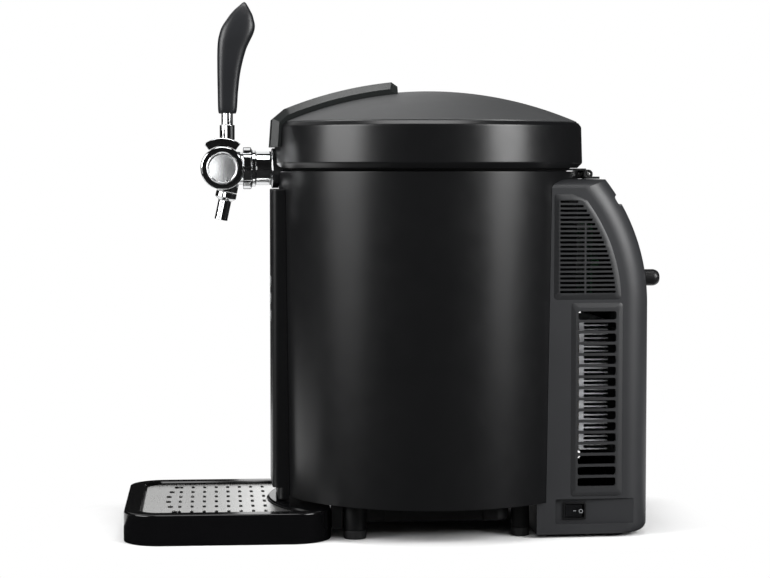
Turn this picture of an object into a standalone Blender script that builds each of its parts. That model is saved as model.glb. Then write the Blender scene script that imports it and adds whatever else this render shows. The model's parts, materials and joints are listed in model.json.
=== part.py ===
"""Mini keg beer dispenser: an insulated drum for a five litre keg, with a cooler behind and a tap in front.

Lengths are in metres and angles in degrees. X runs from the tap to the back of the appliance, Y runs
across it and Z is up. Right means the side at -Y, which is the right hand of someone who faces the tap.
Every place in this file is measured from the drum's axis at floor level, and the empty dispenser_origin
then puts the middle of the whole footprint on the world's origin.
"""

import math

import bmesh
import bpy
from mathutils import Matrix, Vector

# Clearances and facets
SEAT_GAP = 0.0003
RUN_GAP = 0.0006
CUT_OVERRUN = 0.004
MERGE_DISTANCE = 0.000002
SHARP_EDGE_ANGLE = 32.0
DRUM_FACETS = 36
ROUND_FACETS = 20
SMALL_FACETS = 12
PIN_FACETS = 8
ARC_STEPS = 4
CORNER_STEPS = 2
SHOULDER_STEPS = 5
FLAT_ANGLE = 0.02

# Aluminium keg liner, the foam round it and the drum outside
LINER_INNER_RADIUS = 0.0875
LINER_WALL = 0.0015
LINER_OUTER_RADIUS = LINER_INNER_RADIUS + LINER_WALL
DRUM_INSULATION = 0.0337
DRUM_TOP_RADIUS = LINER_OUTER_RADIUS + DRUM_INSULATION
DRUM_TAPER = 0.0027
DRUM_BOTTOM_RADIUS = DRUM_TOP_RADIUS - DRUM_TAPER
DRUM_BOTTOM_Z = 0.0285
DRUM_HEIGHT = 0.2623
DRUM_TOP_Z = DRUM_BOTTOM_Z + DRUM_HEIGHT
DRUM_WALL = 0.0025
DRUM_EDGE_CHAMFER = 0.0012
LINER_FLOOR_RISE = 0.0125
LINER_FLOOR_Z = DRUM_BOTTOM_Z + LINER_FLOOR_RISE
LINER_FLOOR_CHAMFER = 0.0060
TOP_RING_HEIGHT = 0.0140
TOP_RING_LEAD_IN = 0.0015

# Base plate under the drum, its legs and the dock for the drip tray
BASE_RECESS = 0.0010
BASE_THICKNESS = 0.0025
PAN_FRONT_INSET = 0.0550
PAN_FRONT_X = PAN_FRONT_INSET - DRUM_BOTTOM_RADIUS
PAN_LENGTH = 0.1240
PAN_REAR_X = PAN_FRONT_X + PAN_LENGTH
PAN_SIDE_INSET = 0.0450
PAN_HALF_WIDTH = DRUM_BOTTOM_RADIUS - PAN_SIDE_INSET
PAN_CORNER_RADIUS = 0.0150
PAN_DEPTH = 0.0168
PAN_BOTTOM_Z = DRUM_BOTTOM_Z + BASE_RECESS - PAN_DEPTH
PAN_WALL = 0.0030
# Where the two ribs stand, as shares of the pan's length from its front
PAN_RIB_SHARES = (0.2339, 0.8710)
PAN_RIB_WIDTH = 0.0110
PAN_RIB_PROUD = 0.0012
FOOT_FRONT_INSET = 0.0550
FOOT_FRONT_X = FOOT_FRONT_INSET - DRUM_BOTTOM_RADIUS
FOOT_FRONT_SIDE_INSET = 0.0500
FOOT_FRONT_Y = DRUM_BOTTOM_RADIUS - FOOT_FRONT_SIDE_INSET
FOOT_FRONT_RADIUS = 0.0090
FOOT_REAR_INSET = 0.0522
FOOT_REAR_X = DRUM_BOTTOM_RADIUS - FOOT_REAR_INSET
FOOT_REAR_SIDE_INSET = 0.0540
FOOT_REAR_Y = DRUM_BOTTOM_RADIUS - FOOT_REAR_SIDE_INSET
FOOT_REAR_RADIUS = 0.0072
FOOT_PAD_HEIGHT = 0.0070
FOOT_PAD_CHAMFER = 0.0012
DOCK_THICKNESS = 0.0085
DOCK_SIDE_INSET = 0.0440
DOCK_WIDTH = 0.0180
DOCK_OUTER_Y = DRUM_BOTTOM_RADIUS - DOCK_SIDE_INSET
DOCK_INNER_Y = DOCK_OUTER_Y - DOCK_WIDTH
DOCK_DEPTH = 0.0210
DOCK_BOTTOM_Z = DRUM_BOTTOM_Z + BASE_RECESS - DOCK_DEPTH

# Front control panel
PANEL_PROUD = 0.0065
PANEL_FACE_X = -DRUM_TOP_RADIUS - PANEL_PROUD
PANEL_HALF_WIDTH = 0.0330
PANEL_CORNER_RADIUS = 0.0050
PANEL_WALL = 0.0025
PANEL_TOP_DROP = 0.0143
PANEL_TOP_Z = DRUM_TOP_Z - PANEL_TOP_DROP
PANEL_FACE_RISE = 0.0068
PANEL_FACE_BOTTOM_Z = DRUM_BOTTOM_Z + PANEL_FACE_RISE
PANEL_STRIP_SETBACK = 0.0044
PANEL_STRIP_DROP = 0.0030
PANEL_STRIP_BOTTOM_Z = DRUM_BOTTOM_Z - PANEL_STRIP_DROP
PANEL_POCKET_BOTTOM_MARGIN = 0.0147
PANEL_POCKET_BOTTOM_Z = PANEL_FACE_BOTTOM_Z + PANEL_POCKET_BOTTOM_MARGIN
PANEL_POCKET_TOP_MARGIN = 0.0080
WINDOW_CENTRE_DROP = 0.0475
WINDOW_CENTRE_Z = PANEL_TOP_Z - WINDOW_CENTRE_DROP
WINDOW_WIDTH = 0.0380
WINDOW_HEIGHT = 0.0300
WINDOW_THICKNESS = 0.0013
WINDOW_LEDGE = 0.0025
WINDOW_CHAMFER = 0.0004
BOARD_THICKNESS = 0.0014
BOARD_SETBACK = 0.0060
BOARD_BACK_X = PANEL_FACE_X + BOARD_SETBACK
BOARD_TOP_MARGIN = 0.0145
BOARD_HEIGHT = 0.1020
BOARD_TOP_Z = PANEL_TOP_Z - BOARD_TOP_MARGIN
BOARD_BOTTOM_Z = BOARD_TOP_Z - BOARD_HEIGHT
BUTTON_NAMES = ("button_power", "button_down", "button_up")
BUTTON_DROP = 0.0280
BUTTON_TOP_Z = WINDOW_CENTRE_Z - BUTTON_DROP
BUTTON_PITCH = 0.0140
BUTTON_RADIUS = 0.0045
BUTTON_PROUD = 0.0008
BUTTON_FLANGE = 0.0010
BUTTON_FLANGE_THICKNESS = 0.0007
BUTTON_EDGE_CHAMFER = 0.0004

# Rear housing with the cooling machinery
HOUSING_LAP = 0.0415
HOUSING_FRONT_X = DRUM_BOTTOM_RADIUS - HOUSING_LAP
HOUSING_DEPTH = 0.0921
HOUSING_REAR_X = HOUSING_FRONT_X + HOUSING_DEPTH
HOUSING_BOTTOM_Z = 0.0030
HOUSING_TOP_DROP = 0.0063
HOUSING_TOP_Z = DRUM_TOP_Z - HOUSING_TOP_DROP
HOUSING_SIDE_INSET = 0.0355
HOUSING_FRONT_HALF_WIDTH = DRUM_BOTTOM_RADIUS - HOUSING_SIDE_INSET
HOUSING_SIDE_TAPER = 0.0045
HOUSING_REAR_HALF_WIDTH = HOUSING_FRONT_HALF_WIDTH - HOUSING_SIDE_TAPER
HOUSING_WALL = 0.0025
HOUSING_EDGE_RADIUS = 0.0200
# How far the top edges round off downwards, as a share of how far they round off sideways
HOUSING_TOP_ROUND_SHARE = 0.35
HOUSING_FOOT_RADIUS = 0.0070
HOUSING_CURVE_RADIUS = 0.1600
HOUSING_CURVE_RISE = 0.0995
HOUSING_CURVE_START_Z = HOUSING_TOP_Z - HOUSING_CURVE_RISE
HOUSING_CURVE_STEPS = 8
GRIP_SLOT_ANGLE = 31.5
GRIP_SLOT_LENGTH = 0.0090
GRIP_SLOT_COUNT = 5
GRIP_SLOT_SPAN = 0.1460
GRIP_SLOT_RIB = 0.0050
GRIP_CUT_DEPTH = 0.0100

# Louvred panels in the housing's sides, let into the wall and raised in the middle
SIDE_PANEL_DEPTH = 0.0016
SIDE_PANEL_PROUD = 0.0016
SIDE_PANEL_SLOPE = 0.0036
SIDE_PANEL_CORNER_REACH = 0.0030
SQUARE_CORNER_LIMIT = 110.0
DRUM_EXIT_X = math.sqrt(DRUM_TOP_RADIUS**2 - (HOUSING_FRONT_HALF_WIDTH - SIDE_PANEL_DEPTH) ** 2)
UPPER_DRUM_MARGIN = 0.0012
UPPER_LEFT_X = DRUM_EXIT_X + UPPER_DRUM_MARGIN
UPPER_BOTTOM_RISE = 0.0046
UPPER_BOTTOM_Z = HOUSING_CURVE_START_Z + UPPER_BOTTOM_RISE
UPPER_TOP_MARGIN = 0.0115
UPPER_TOP_Z = HOUSING_TOP_Z - UPPER_TOP_MARGIN
UPPER_TOP_RUN = 0.0143
UPPER_SHOULDER_DROP = 0.0050
UPPER_SHOULDER_Z = UPPER_TOP_Z - UPPER_SHOULDER_DROP
UPPER_CURVE_INSET = 0.0245
UPPER_SLOT_COUNT = 21
UPPER_SLOT_PITCH = 0.00356
UPPER_SLOT_HEIGHT = 0.00200
UPPER_SLOT_START_MARGIN = 0.0043
UPPER_SLOT_START_X = UPPER_LEFT_X + UPPER_SLOT_START_MARGIN
UPPER_SLOT_TOP_MARGIN = 0.0050
UPPER_SLOT_TOP_Z = UPPER_TOP_Z - UPPER_SLOT_TOP_MARGIN
UPPER_SLOT_END_MARGIN = 0.0045
UPPER_RIB_SETBACK = 0.0248
UPPER_RIB_X = UPPER_LEFT_X + UPPER_RIB_SETBACK
UPPER_RIB_WIDTH = 0.0014
UPPER_RIB_FIRST_SLOT = 5
VENT_FRONT_MARGIN = 0.0271
VENT_WIDTH = 0.0417
VENT_TOP_GAP = 0.0026
VENT_BOTTOM_RISE = 0.0300
VENT_FRONT_X = HOUSING_FRONT_X + VENT_FRONT_MARGIN
VENT_REAR_X = VENT_FRONT_X + VENT_WIDTH
VENT_TOP_Z = UPPER_BOTTOM_Z - VENT_TOP_GAP
VENT_BOTTOM_Z = HOUSING_BOTTOM_Z + VENT_BOTTOM_RISE
VENT_SLOT_FRONT_MARGIN = 0.0054
VENT_SLOT_FRONT_X = VENT_FRONT_X + VENT_SLOT_FRONT_MARGIN
VENT_SLOT_REAR_MARGIN = 0.0055
VENT_SLOT_REAR_X = VENT_REAR_X - VENT_SLOT_REAR_MARGIN
VENT_SLOT_COUNT = 16
VENT_BAR_HEIGHT = 0.00200
VENT_SLOT_TOP_MARGIN = 0.0066
VENT_SLOT_BOTTOM_MARGIN = 0.0081
VENT_SLOT_TOP_Z = VENT_TOP_Z - VENT_SLOT_TOP_MARGIN
VENT_SLOT_BOTTOM_Z = VENT_BOTTOM_Z + VENT_SLOT_BOTTOM_MARGIN
VENT_SLOT_PITCH = (VENT_SLOT_TOP_Z - VENT_SLOT_BOTTOM_Z + VENT_BAR_HEIGHT) / VENT_SLOT_COUNT
VENT_SLOT_HEIGHT = VENT_SLOT_PITCH - VENT_BAR_HEIGHT

# Fan, its grille in the housing's back, heat sink and cooling module
GRILLE_DEPTH = 0.0032
COOLER_RISE = 0.0770
COOLER_Z = LINER_FLOOR_Z + COOLER_RISE
HEAT_SINK_SETBACK = 0.0295
HEAT_SINK_BASE_X = LINER_OUTER_RADIUS + HEAT_SINK_SETBACK
HEAT_SINK_BASE_THICKNESS = 0.0040
HEAT_SINK_HALF_WIDTH = 0.0450
HEAT_SINK_HEIGHT = 0.1050
HEAT_SINK_WINDOW_MARGIN = 0.0020
FIN_COUNT = 31
FIN_THICKNESS = 0.0011
MODULE_SIDE = 0.0400
MODULE_THICKNESS = 0.0039
FAN_SIDE = 0.0920
FAN_DEPTH = 0.0245
FAN_CORNER_RADIUS = 0.0060
FAN_DUCT_RADIUS = 0.0440
FAN_SCREW_SPACING = 0.0825
FAN_SCREW_RADIUS = 0.0021
FAN_HUB_RADIUS = 0.0180
FAN_MOTOR_THICKNESS = 0.0040
FAN_STRUT_WIDTH = 0.0050
FAN_BLADE_COUNT = 7
FAN_BLADE_RADIUS = 0.0425
FAN_BLADE_THICKNESS = 0.0014
FAN_BLADE_SWEEP = 30.0
FAN_ROTOR_LENGTH = 0.0180
REAR_GRILLE_HALF_SIDE = 0.0500
REAR_GRILLE_CORNER_RADIUS = 0.0060
REAR_SLOT_COUNT = 11
REAR_SLOT_HEIGHT = 0.0048
REAR_SLOT_MARGIN = 0.0060
REAR_RIB_WIDTH = 0.0040

# Power board and mains inlet
POWER_BOARD_SETBACK = 0.0080
POWER_BOARD_X = HEAT_SINK_BASE_X + POWER_BOARD_SETBACK
POWER_BOARD_THICKNESS = 0.0016
POWER_BOARD_HALF_WIDTH = 0.0500
POWER_BOARD_RISE = 0.0175
POWER_BOARD_BOTTOM_Z = COOLER_Z + HEAT_SINK_HEIGHT / 2 + POWER_BOARD_RISE
POWER_BOARD_TOP_MARGIN = 0.0365
POWER_BOARD_TOP_Z = HOUSING_TOP_Z - POWER_BOARD_TOP_MARGIN
STANDOFF_RADIUS = 0.0030
STANDOFF_Y = 0.0060
STANDOFF_MARGIN = 0.0080
TRANSFORMER_SIDE = 0.0220
TRANSFORMER_DEPTH = 0.0060
CAPACITOR_RADIUS = 0.0050
CAPACITOR_LENGTH = 0.0065
# Where the capacitors stand, as shares of the board's half width
CAPACITOR_SHARES = (-0.76, -0.48, 0.52)
INLET_SIDE_INSET = 0.0380
INLET_CENTRE_Y = HOUSING_REAR_HALF_WIDTH - INLET_SIDE_INSET
INLET_RISE = 0.0260
INLET_CENTRE_Z = HOUSING_BOTTOM_Z + INLET_RISE
INLET_HALF_WIDTH = 0.0135
INLET_HALF_HEIGHT = 0.0100
INLET_WALL = 0.0015
INLET_DEPTH = 0.0180
INLET_FLANGE = 0.0030
INLET_FLANGE_THICKNESS = 0.0015
INLET_CORNER_RADIUS = 0.0030
INLET_PIN_WIDTH = 0.0020
INLET_PIN_HEIGHT = 0.0040
INLET_PIN_SETBACK = 0.0060
# Where the blades stand across and up the socket, as shares of the inlet's half width and half height
INLET_PIN_SHARES = ((-0.52, -0.15), (0.0, 0.20), (0.52, -0.15))

# Rocker switch in the housing's right side
SWITCH_POCKET_FRONT_MARGIN = 0.0150
SWITCH_POCKET_FRONT_X = HOUSING_FRONT_X + SWITCH_POCKET_FRONT_MARGIN
SWITCH_POCKET_REAR_MARGIN = 0.0136
SWITCH_POCKET_REAR_X = HOUSING_REAR_X - SWITCH_POCKET_REAR_MARGIN
SWITCH_POCKET_RISE = 0.0080
SWITCH_POCKET_BOTTOM_Z = HOUSING_BOTTOM_Z + SWITCH_POCKET_RISE
SWITCH_POCKET_HEIGHT = 0.0200
SWITCH_POCKET_TOP_Z = SWITCH_POCKET_BOTTOM_Z + SWITCH_POCKET_HEIGHT
SWITCH_POCKET_DEPTH = 0.0012
SWITCH_BACKING_LAP = 0.0006
SWITCH_BACKING_THICKNESS = 0.0018
SWITCH_SETBACK = 0.0159
SWITCH_X = SWITCH_POCKET_FRONT_X + SWITCH_SETBACK
SWITCH_RISE = 0.0102
SWITCH_Z = SWITCH_POCKET_BOTTOM_Z + SWITCH_RISE
SWITCH_HALF_LENGTH = 0.0092
SWITCH_HALF_HEIGHT = 0.0068
SWITCH_BODY_INSET = 0.0012
SWITCH_DEPTH = 0.0170
SWITCH_FLANGE_THICKNESS = 0.0012
SWITCH_WELL_HALF_LENGTH = 0.0076
SWITCH_WELL_HALF_HEIGHT = 0.0054
SWITCH_WELL_DEPTH = 0.0100
ROCKER_HALF_LENGTH = 0.0066
ROCKER_HALF_HEIGHT = 0.0048
ROCKER_PIVOT_DEPTH = 0.0052
ROCKER_CORNER_HEIGHT = 0.0062
ROCKER_MIDDLE_HEIGHT = 0.0050
ROCKER_KEEL_HALF_LENGTH = 0.0030
ROCKER_KEEL_DEPTH = 0.0030
ROCKER_TILT = 8.0

# Rubber bumpers on the housing's back
BUMPER_SIDE_INSET = 0.0215
BUMPER_Y = HOUSING_REAR_HALF_WIDTH - BUMPER_SIDE_INSET
BUMPER_RISE = 0.0208
BUMPER_Z = HOUSING_CURVE_START_Z + BUMPER_RISE
BUMPER_RADIUS = 0.0066
BUMPER_PROUD = 0.0106
BUMPER_TIP_X = HOUSING_REAR_X + BUMPER_PROUD
BUMPER_DOME = 0.0035
BUMPER_DOME_STEPS = 3

# Lid with its hinge
LID_GAP = 0.0027
LID_BOTTOM_Z = DRUM_TOP_Z + LID_GAP
LID_OVERHANG = 0.0035
LID_BOTTOM_RADIUS = DRUM_TOP_RADIUS + LID_OVERHANG
LID_BOTTOM_CHAMFER = 0.0040
LID_SIDE_TAPER = 0.0009
LID_SHOULDER_RADIUS = LID_BOTTOM_RADIUS - LID_SIDE_TAPER
LID_SIDE_HEIGHT = 0.0333
LID_SHOULDER_Z = LID_BOTTOM_Z + LID_SIDE_HEIGHT
LID_RIM_INSET = 0.0037
LID_RIM_RADIUS = LID_SHOULDER_RADIUS - LID_RIM_INSET
LID_RIM_RISE = 0.0042
LID_RIM_Z = LID_SHOULDER_Z + LID_RIM_RISE
LID_DOME_RISE = 0.0252
LID_APEX_Z = LID_RIM_Z + LID_DOME_RISE
LID_WALL = 0.0025
LID_DOME_STEPS = 4
LID_INNER_DOME_STEPS = 3
LID_LINER_MARGIN = 0.0075
LID_LINER_RADIUS = LINER_INNER_RADIUS + LID_LINER_MARGIN
LID_LINER_RISE = 0.0050
LID_LINER_TOP_Z = LID_RIM_Z + LID_LINER_RISE
LID_LINER_WALL = 0.0015
LID_FLANGE_INSET = 0.0072
LID_FLANGE_RADIUS = LID_BOTTOM_RADIUS - LID_FLANGE_INSET
LID_FLANGE_THICKNESS = 0.0020
GASKET_INNER_MARGIN = 0.0040
GASKET_INNER_RADIUS = LID_LINER_RADIUS + GASKET_INNER_MARGIN
GASKET_OUTER_MARGIN = 0.0025
GASKET_OUTER_RADIUS = LID_FLANGE_RADIUS - GASKET_OUTER_MARGIN
GASKET_LIP = 0.0030
HINGE_SETBACK = 0.0017
HINGE_X = LID_BOTTOM_RADIUS + HINGE_SETBACK
HINGE_RISE = 0.0041
HINGE_Z = HOUSING_TOP_Z + HINGE_RISE
HINGE_KNUCKLE_RADIUS = 0.0037
HINGE_PIN_RADIUS = 0.0016
HINGE_ARM_HALF_WIDTH = 0.0200
HINGE_KNUCKLE_LENGTH = 0.0100
HINGE_EAR_HALF_WIDTH = 0.0400
HINGE_PLATE_THICKNESS = 0.0018
HINGE_PLATE_REACH = 0.0075
HINGE_PLATE_REAR_X = HINGE_X + HINGE_PLATE_REACH
HINGE_ARM_REACH = 0.0103
HINGE_ARM_FRONT_X = HINGE_X - HINGE_ARM_REACH

# Raised band over the lid
BAND_THICKNESS = 0.0080
BAND_HALF_WIDTH = 0.0340
BAND_CHAMFER = 0.0055
BAND_PROUD = 0.0038
BAND_FACE_BOTTOM_X = -LID_BOTTOM_RADIUS - BAND_PROUD
BAND_FACE_LEAN = 0.0016
BAND_FACE_TOP_X = BAND_FACE_BOTTOM_X + BAND_FACE_LEAN
BAND_FACE_RISE = 0.0170
BAND_BOTTOM_Z = LID_BOTTOM_Z + BAND_FACE_RISE
BAND_BROW_RISE = 0.0020
BAND_FACE_TOP_Z = LID_RIM_Z + BAND_BROW_RISE
BAND_BROW_RUN = 0.0091
BAND_BROW_X = BAND_FACE_TOP_X + BAND_BROW_RUN
BAND_LENGTH = 0.0867
BAND_CROWN_REAR_X = BAND_BROW_X + BAND_LENGTH
BAND_REAR_RUN = 0.0050
BAND_REAR_X = BAND_CROWN_REAR_X + BAND_REAR_RUN
BAND_REAR_DROP = 0.0035
BAND_CROWN_STEPS = 8

# Tap
TAP_REACH = 0.0458
TAP_X = -DRUM_TOP_RADIUS - TAP_REACH
TAP_RISE = 0.0026
TAP_Z = DRUM_TOP_Z + TAP_RISE
BARREL_RADIUS = 0.0177
BARREL_HALF_WIDTH = 0.0160
BARREL_CHAMFER = 0.0022
CAP_INSET = 0.0047
CAP_RADIUS = BARREL_RADIUS - CAP_INSET
CAP_THICKNESS = 0.0030
CAP_CHAMFER = 0.0008
CAP_SPIGOT_LENGTH = 0.0020
BARREL_WALL = 0.0084
PLUG_BORE_RADIUS = BARREL_RADIUS - BARREL_WALL
PLUG_CLEARANCE = 0.0005
PLUG_RADIUS = PLUG_BORE_RADIUS - PLUG_CLEARANCE
PLUG_HALF_LENGTH = BARREL_HALF_WIDTH - CAP_SPIGOT_LENGTH - RUN_GAP
PLUG_CUT_HALF_WIDTH = 0.0050
NECK_RADIUS = 0.0040
NECK_SLOT_MARGIN = 0.0008
LEVER_TRAVEL = 45.0
LEVER_SLOT_STEPS = 2
NUT_LAP = 0.0008
NUT_FRONT_X = TAP_X + BARREL_RADIUS - NUT_LAP
NUT_GRIP_LENGTH = 0.0070
NUT_CHAMFER_X = NUT_FRONT_X + NUT_GRIP_LENGTH
NUT_TAIL_LENGTH = 0.0031
NUT_REAR_X = NUT_CHAMFER_X + NUT_TAIL_LENGTH
NUT_RADIUS = 0.0171
NUT_TAIL_RADIUS = 0.0149
NUT_FLUTES = 9
NUT_FLUTE_RADIUS = 0.0016
BODY_NECK_RADIUS = 0.0135
SHANK_RADIUS = 0.01365
SHANK_NOSE_RADIUS = 0.0110
SHANK_BORE_RADIUS = 0.0045
SHANK_TAIL_RADIUS = 0.0090
SHANK_SEAT_DEPTH = 0.0147
SHANK_SHOULDER_X = SHANK_SEAT_DEPTH - DRUM_TOP_RADIUS
SHANK_TAIL_LENGTH = 0.0120
SHANK_TAIL_X = SHANK_SHOULDER_X + SHANK_TAIL_LENGTH
COLLAR_RADIUS = 0.0162
COLLAR_PROUD = 0.0058
COLLAR_FRONT_X = -DRUM_TOP_RADIUS - COLLAR_PROUD
COLLAR_CHAMFER = 0.0010
BACKNUT_RADIUS = 0.0160
BACKNUT_LENGTH = 0.0080
BARB_RADIUS = 0.0042
BARB_FLANGE_RADIUS = 0.0070
BARB_LENGTH = 0.0075
BARB_END_X = SHANK_TAIL_X + BARB_LENGTH
BARB_BORE_RADIUS = 0.0025
SPOUT_TILT = 12.0
SPOUT_SETBACK = 0.0074
SPOUT_SEAT_DROP = 0.0002
SPOUT_COLLAR_RADIUS = 0.0085
SPOUT_COLLAR_LENGTH = 0.0056
SPOUT_RADIUS = 0.0053
SPOUT_BORE_RADIUS = 0.0043
SPOUT_LENGTH = 0.0233
SPOUT_CHAMFER = 0.0010

# Tap lever and handle
SADDLE_CLEARANCE = 0.0005
SADDLE_THICKNESS = 0.0064
SADDLE_INNER_RADIUS = BARREL_RADIUS + SADDLE_CLEARANCE
SADDLE_OUTER_RADIUS = SADDLE_INNER_RADIUS + SADDLE_THICKNESS
SADDLE_HALF_ANGLE = 37.0
SADDLE_HALF_WIDTH = 0.0105
SADDLE_ARC_STEPS = 8
SADDLE_CORNER_INSET = 0.0020
STEM_SETBACK = 0.0041
STEM_X = TAP_X + STEM_SETBACK
FERRULE_RADIUS = 0.0061
FERRULE_LENGTH = 0.0105
FERRULE_TOP_Z = TAP_Z + SADDLE_OUTER_RADIUS + FERRULE_LENGTH
FERRULE_CHAMFER = 0.0010
ROD_RADIUS = 0.0047
ROD_INSERT = 0.0120
ROD_LENGTH = 0.0094
HANDLE_BOTTOM_Z = FERRULE_TOP_Z + ROD_LENGTH
HANDLE_LENGTH = 0.0904
HANDLE_REACH = 0.0308
HANDLE_OVERHANG = 0.0080
HANDLE_FRONT_X = STEM_X - HANDLE_OVERHANG
HANDLE_THICKNESS = 0.0200
HANDLE_SOCKET_DEPTH = 0.0125
HANDLE_RING_POINTS = 12
HANDLE_SECTION_POWER = 0.75
# Height up the handle, front and rear edge across its reach, and thickness, each as a share of the full size
HANDLE_OUTLINE_SHARES = (
    (0.0, 0.030, 0.500, 0.80),
    (0.050, 0.018, 0.522, 0.84),
    (0.210, 0.010, 0.555, 0.86),
    (0.390, 0.003, 0.625, 0.92),
    (0.570, 0.006, 0.762, 0.98),
    (0.660, 0.026, 0.880, 1.0),
    (0.705, 0.056, 0.945, 0.99),
    (0.750, 0.095, 0.990, 0.96),
    (0.795, 0.160, 1.000, 0.91),
    (0.840, 0.250, 0.972, 0.84),
    (0.885, 0.345, 0.935, 0.74),
    (0.930, 0.462, 0.868, 0.60),
    (0.972, 0.605, 0.800, 0.42),
    (1.0, 0.690, 0.750, 0.18),
)

# Drip tray and its perforated plate
TRAY_LAP = 0.0360
TRAY_LENGTH = 0.1636
TRAY_SIDE_INSET = 0.0230
TRAY_REAR_X = TRAY_LAP - DRUM_BOTTOM_RADIUS
TRAY_FRONT_X = TRAY_REAR_X - TRAY_LENGTH
TRAY_HALF_WIDTH = DRUM_BOTTOM_RADIUS - TRAY_SIDE_INSET
TRAY_HEIGHT = 0.0244
TRAY_FRONT_RADIUS = 0.0300
TRAY_REAR_RADIUS = 0.0320
TRAY_FLOOR = 0.0025
TRAY_RIM = 0.0138
TRAY_CORNER_STEPS = 5
BASIN_REAR_GAP = 0.0122
BASIN_REAR_RADIUS = DRUM_BOTTOM_RADIUS + BASIN_REAR_GAP
PLATE_SINK = 0.0024
PLATE_TOP_Z = TRAY_HEIGHT - PLATE_SINK
PLATE_THICKNESS = 0.0012
PLATE_LEDGE = 0.0030
PLATE_CLEARANCE = 0.0008
HOLE_COLUMNS = 9
HOLE_ROWS = 6
HOLE_WIDTH = 0.0026
HOLE_LENGTH = 0.0120
HOLE_PITCH_X = 0.00977
HOLE_PITCH_Y = 0.0260
HOLE_FRONT_MARGIN = 0.0340
HOLE_FIRST_X = TRAY_FRONT_X + HOLE_FRONT_MARGIN
FIRST_HOLE_WIDTH = 0.0042
FIRST_COLUMN_BOW = 0.0060

# Derived places that several pieces share
BASE_BOTTOM_Z = DRUM_BOTTOM_Z + BASE_RECESS
BASE_TOP_Z = BASE_BOTTOM_Z + BASE_THICKNESS
TOP_RING_BOTTOM_Z = DRUM_TOP_Z - TOP_RING_HEIGHT
DOME_RADIUS = (LID_RIM_RADIUS**2 + (LID_APEX_Z - LID_RIM_Z) ** 2) / (2 * (LID_APEX_Z - LID_RIM_Z))
DOME_CENTRE_Z = LID_APEX_Z - DOME_RADIUS
FIN_END_X = HOUSING_REAR_X - GRILLE_DEPTH - 2 * SEAT_GAP - FAN_DEPTH - SEAT_GAP
FAN_FRONT_X = FIN_END_X + SEAT_GAP
HOUSING_CURVE_CENTRE_X = HOUSING_REAR_X - HOUSING_CURVE_RADIUS
HOUSING_CURVE_CENTRE = (HOUSING_CURVE_CENTRE_X, HOUSING_CURVE_START_Z)
FOOTPRINT_CENTRE_X = (TRAY_FRONT_X + BUMPER_TIP_X) / 2

SATIN_BLACK = (0.0110, 0.0115, 0.0125, 1.0)
CHARCOAL = (0.0240, 0.0248, 0.0265, 1.0)
DEEP_BLACK = (0.0060, 0.0060, 0.0065, 1.0)
CHROME = (0.7800, 0.7900, 0.8000, 1.0)
STEEL = (0.5600, 0.5600, 0.5500, 1.0)
ALUMINIUM = (0.6600, 0.6700, 0.6900, 1.0)
FOAM = (0.7200, 0.6600, 0.4600, 1.0)
RUBBER = (0.0130, 0.0130, 0.0135, 1.0)
BOARD_GREEN = (0.0200, 0.1100, 0.0500, 1.0)
CERAMIC = (0.8000, 0.8000, 0.7800, 1.0)
DOT_GREY = (0.2500, 0.2550, 0.2600, 1.0)


def clear_scene():
    """Empty the scene, with the meshes and materials that an earlier run left."""
    for old in list(bpy.data.objects):
        bpy.data.objects.remove(old, do_unlink=True)
    for old in list(bpy.data.meshes):
        bpy.data.meshes.remove(old)
    for old in list(bpy.data.materials):
        bpy.data.materials.remove(old)


def finish(name, colour, roughness, metallic):
    """One plain Principled material."""
    material = bpy.data.materials.new(name)
    material.use_nodes = True
    shader = material.node_tree.nodes["Principled BSDF"]
    shader.inputs["Base Color"].default_value = colour
    shader.inputs["Roughness"].default_value = roughness
    shader.inputs["Metallic"].default_value = metallic
    return material


def empty_at(name, place, parent=None):
    """An empty that carries a group of pieces; place is measured from the drum's axis at the floor."""
    holder = bpy.data.objects.new(name, None)
    bpy.context.scene.collection.objects.link(holder)
    holder.parent = parent
    if parent is not None:
        place = Vector(place) - Vector(parent["place"])
    holder.location = place
    holder["place"] = list(place if parent is None else Vector(place) + Vector(parent["place"]))
    return holder


def piece(name, mesh_builder, material, holder):
    """A named object from a bmesh in drum coordinates, with its origin on its holder's origin."""
    bmesh.ops.remove_doubles(mesh_builder, verts=mesh_builder.verts, dist=MERGE_DISTANCE)
    bmesh.ops.recalc_face_normals(mesh_builder, faces=mesh_builder.faces)
    bmesh.ops.translate(mesh_builder, verts=mesh_builder.verts, vec=-Vector(holder["place"]))
    mesh = bpy.data.meshes.new(name)
    mesh_builder.to_mesh(mesh)
    mesh_builder.free()
    mesh.materials.append(material)
    mesh.shade_smooth()
    mesh.set_sharp_from_angle(angle=math.radians(SHARP_EDGE_ANGLE))
    made = bpy.data.objects.new(name, mesh)
    bpy.context.scene.collection.objects.link(made)
    made.parent = holder
    return made


def tool_shape(target, mesh_builder, operation):
    """Add or take away a shape with an exact Boolean; the shape itself is only a guide."""
    count = len(target.modifiers)
    guide = piece(f"guide_{target.name}_{count}", mesh_builder, target.active_material, target.parent)
    guide.hide_render = True
    guide.display_type = "WIRE"
    boolean = target.modifiers.new(f"{operation.lower()}_{count}", "BOOLEAN")
    boolean.operation = operation
    boolean.object = guide
    boolean.solver = "EXACT"


def cut(target, mesh_builder):
    tool_shape(target, mesh_builder, "DIFFERENCE")


def join(target, mesh_builder):
    tool_shape(target, mesh_builder, "UNION")


def keep_inside(target, mesh_builder):
    tool_shape(target, mesh_builder, "INTERSECT")


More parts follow.
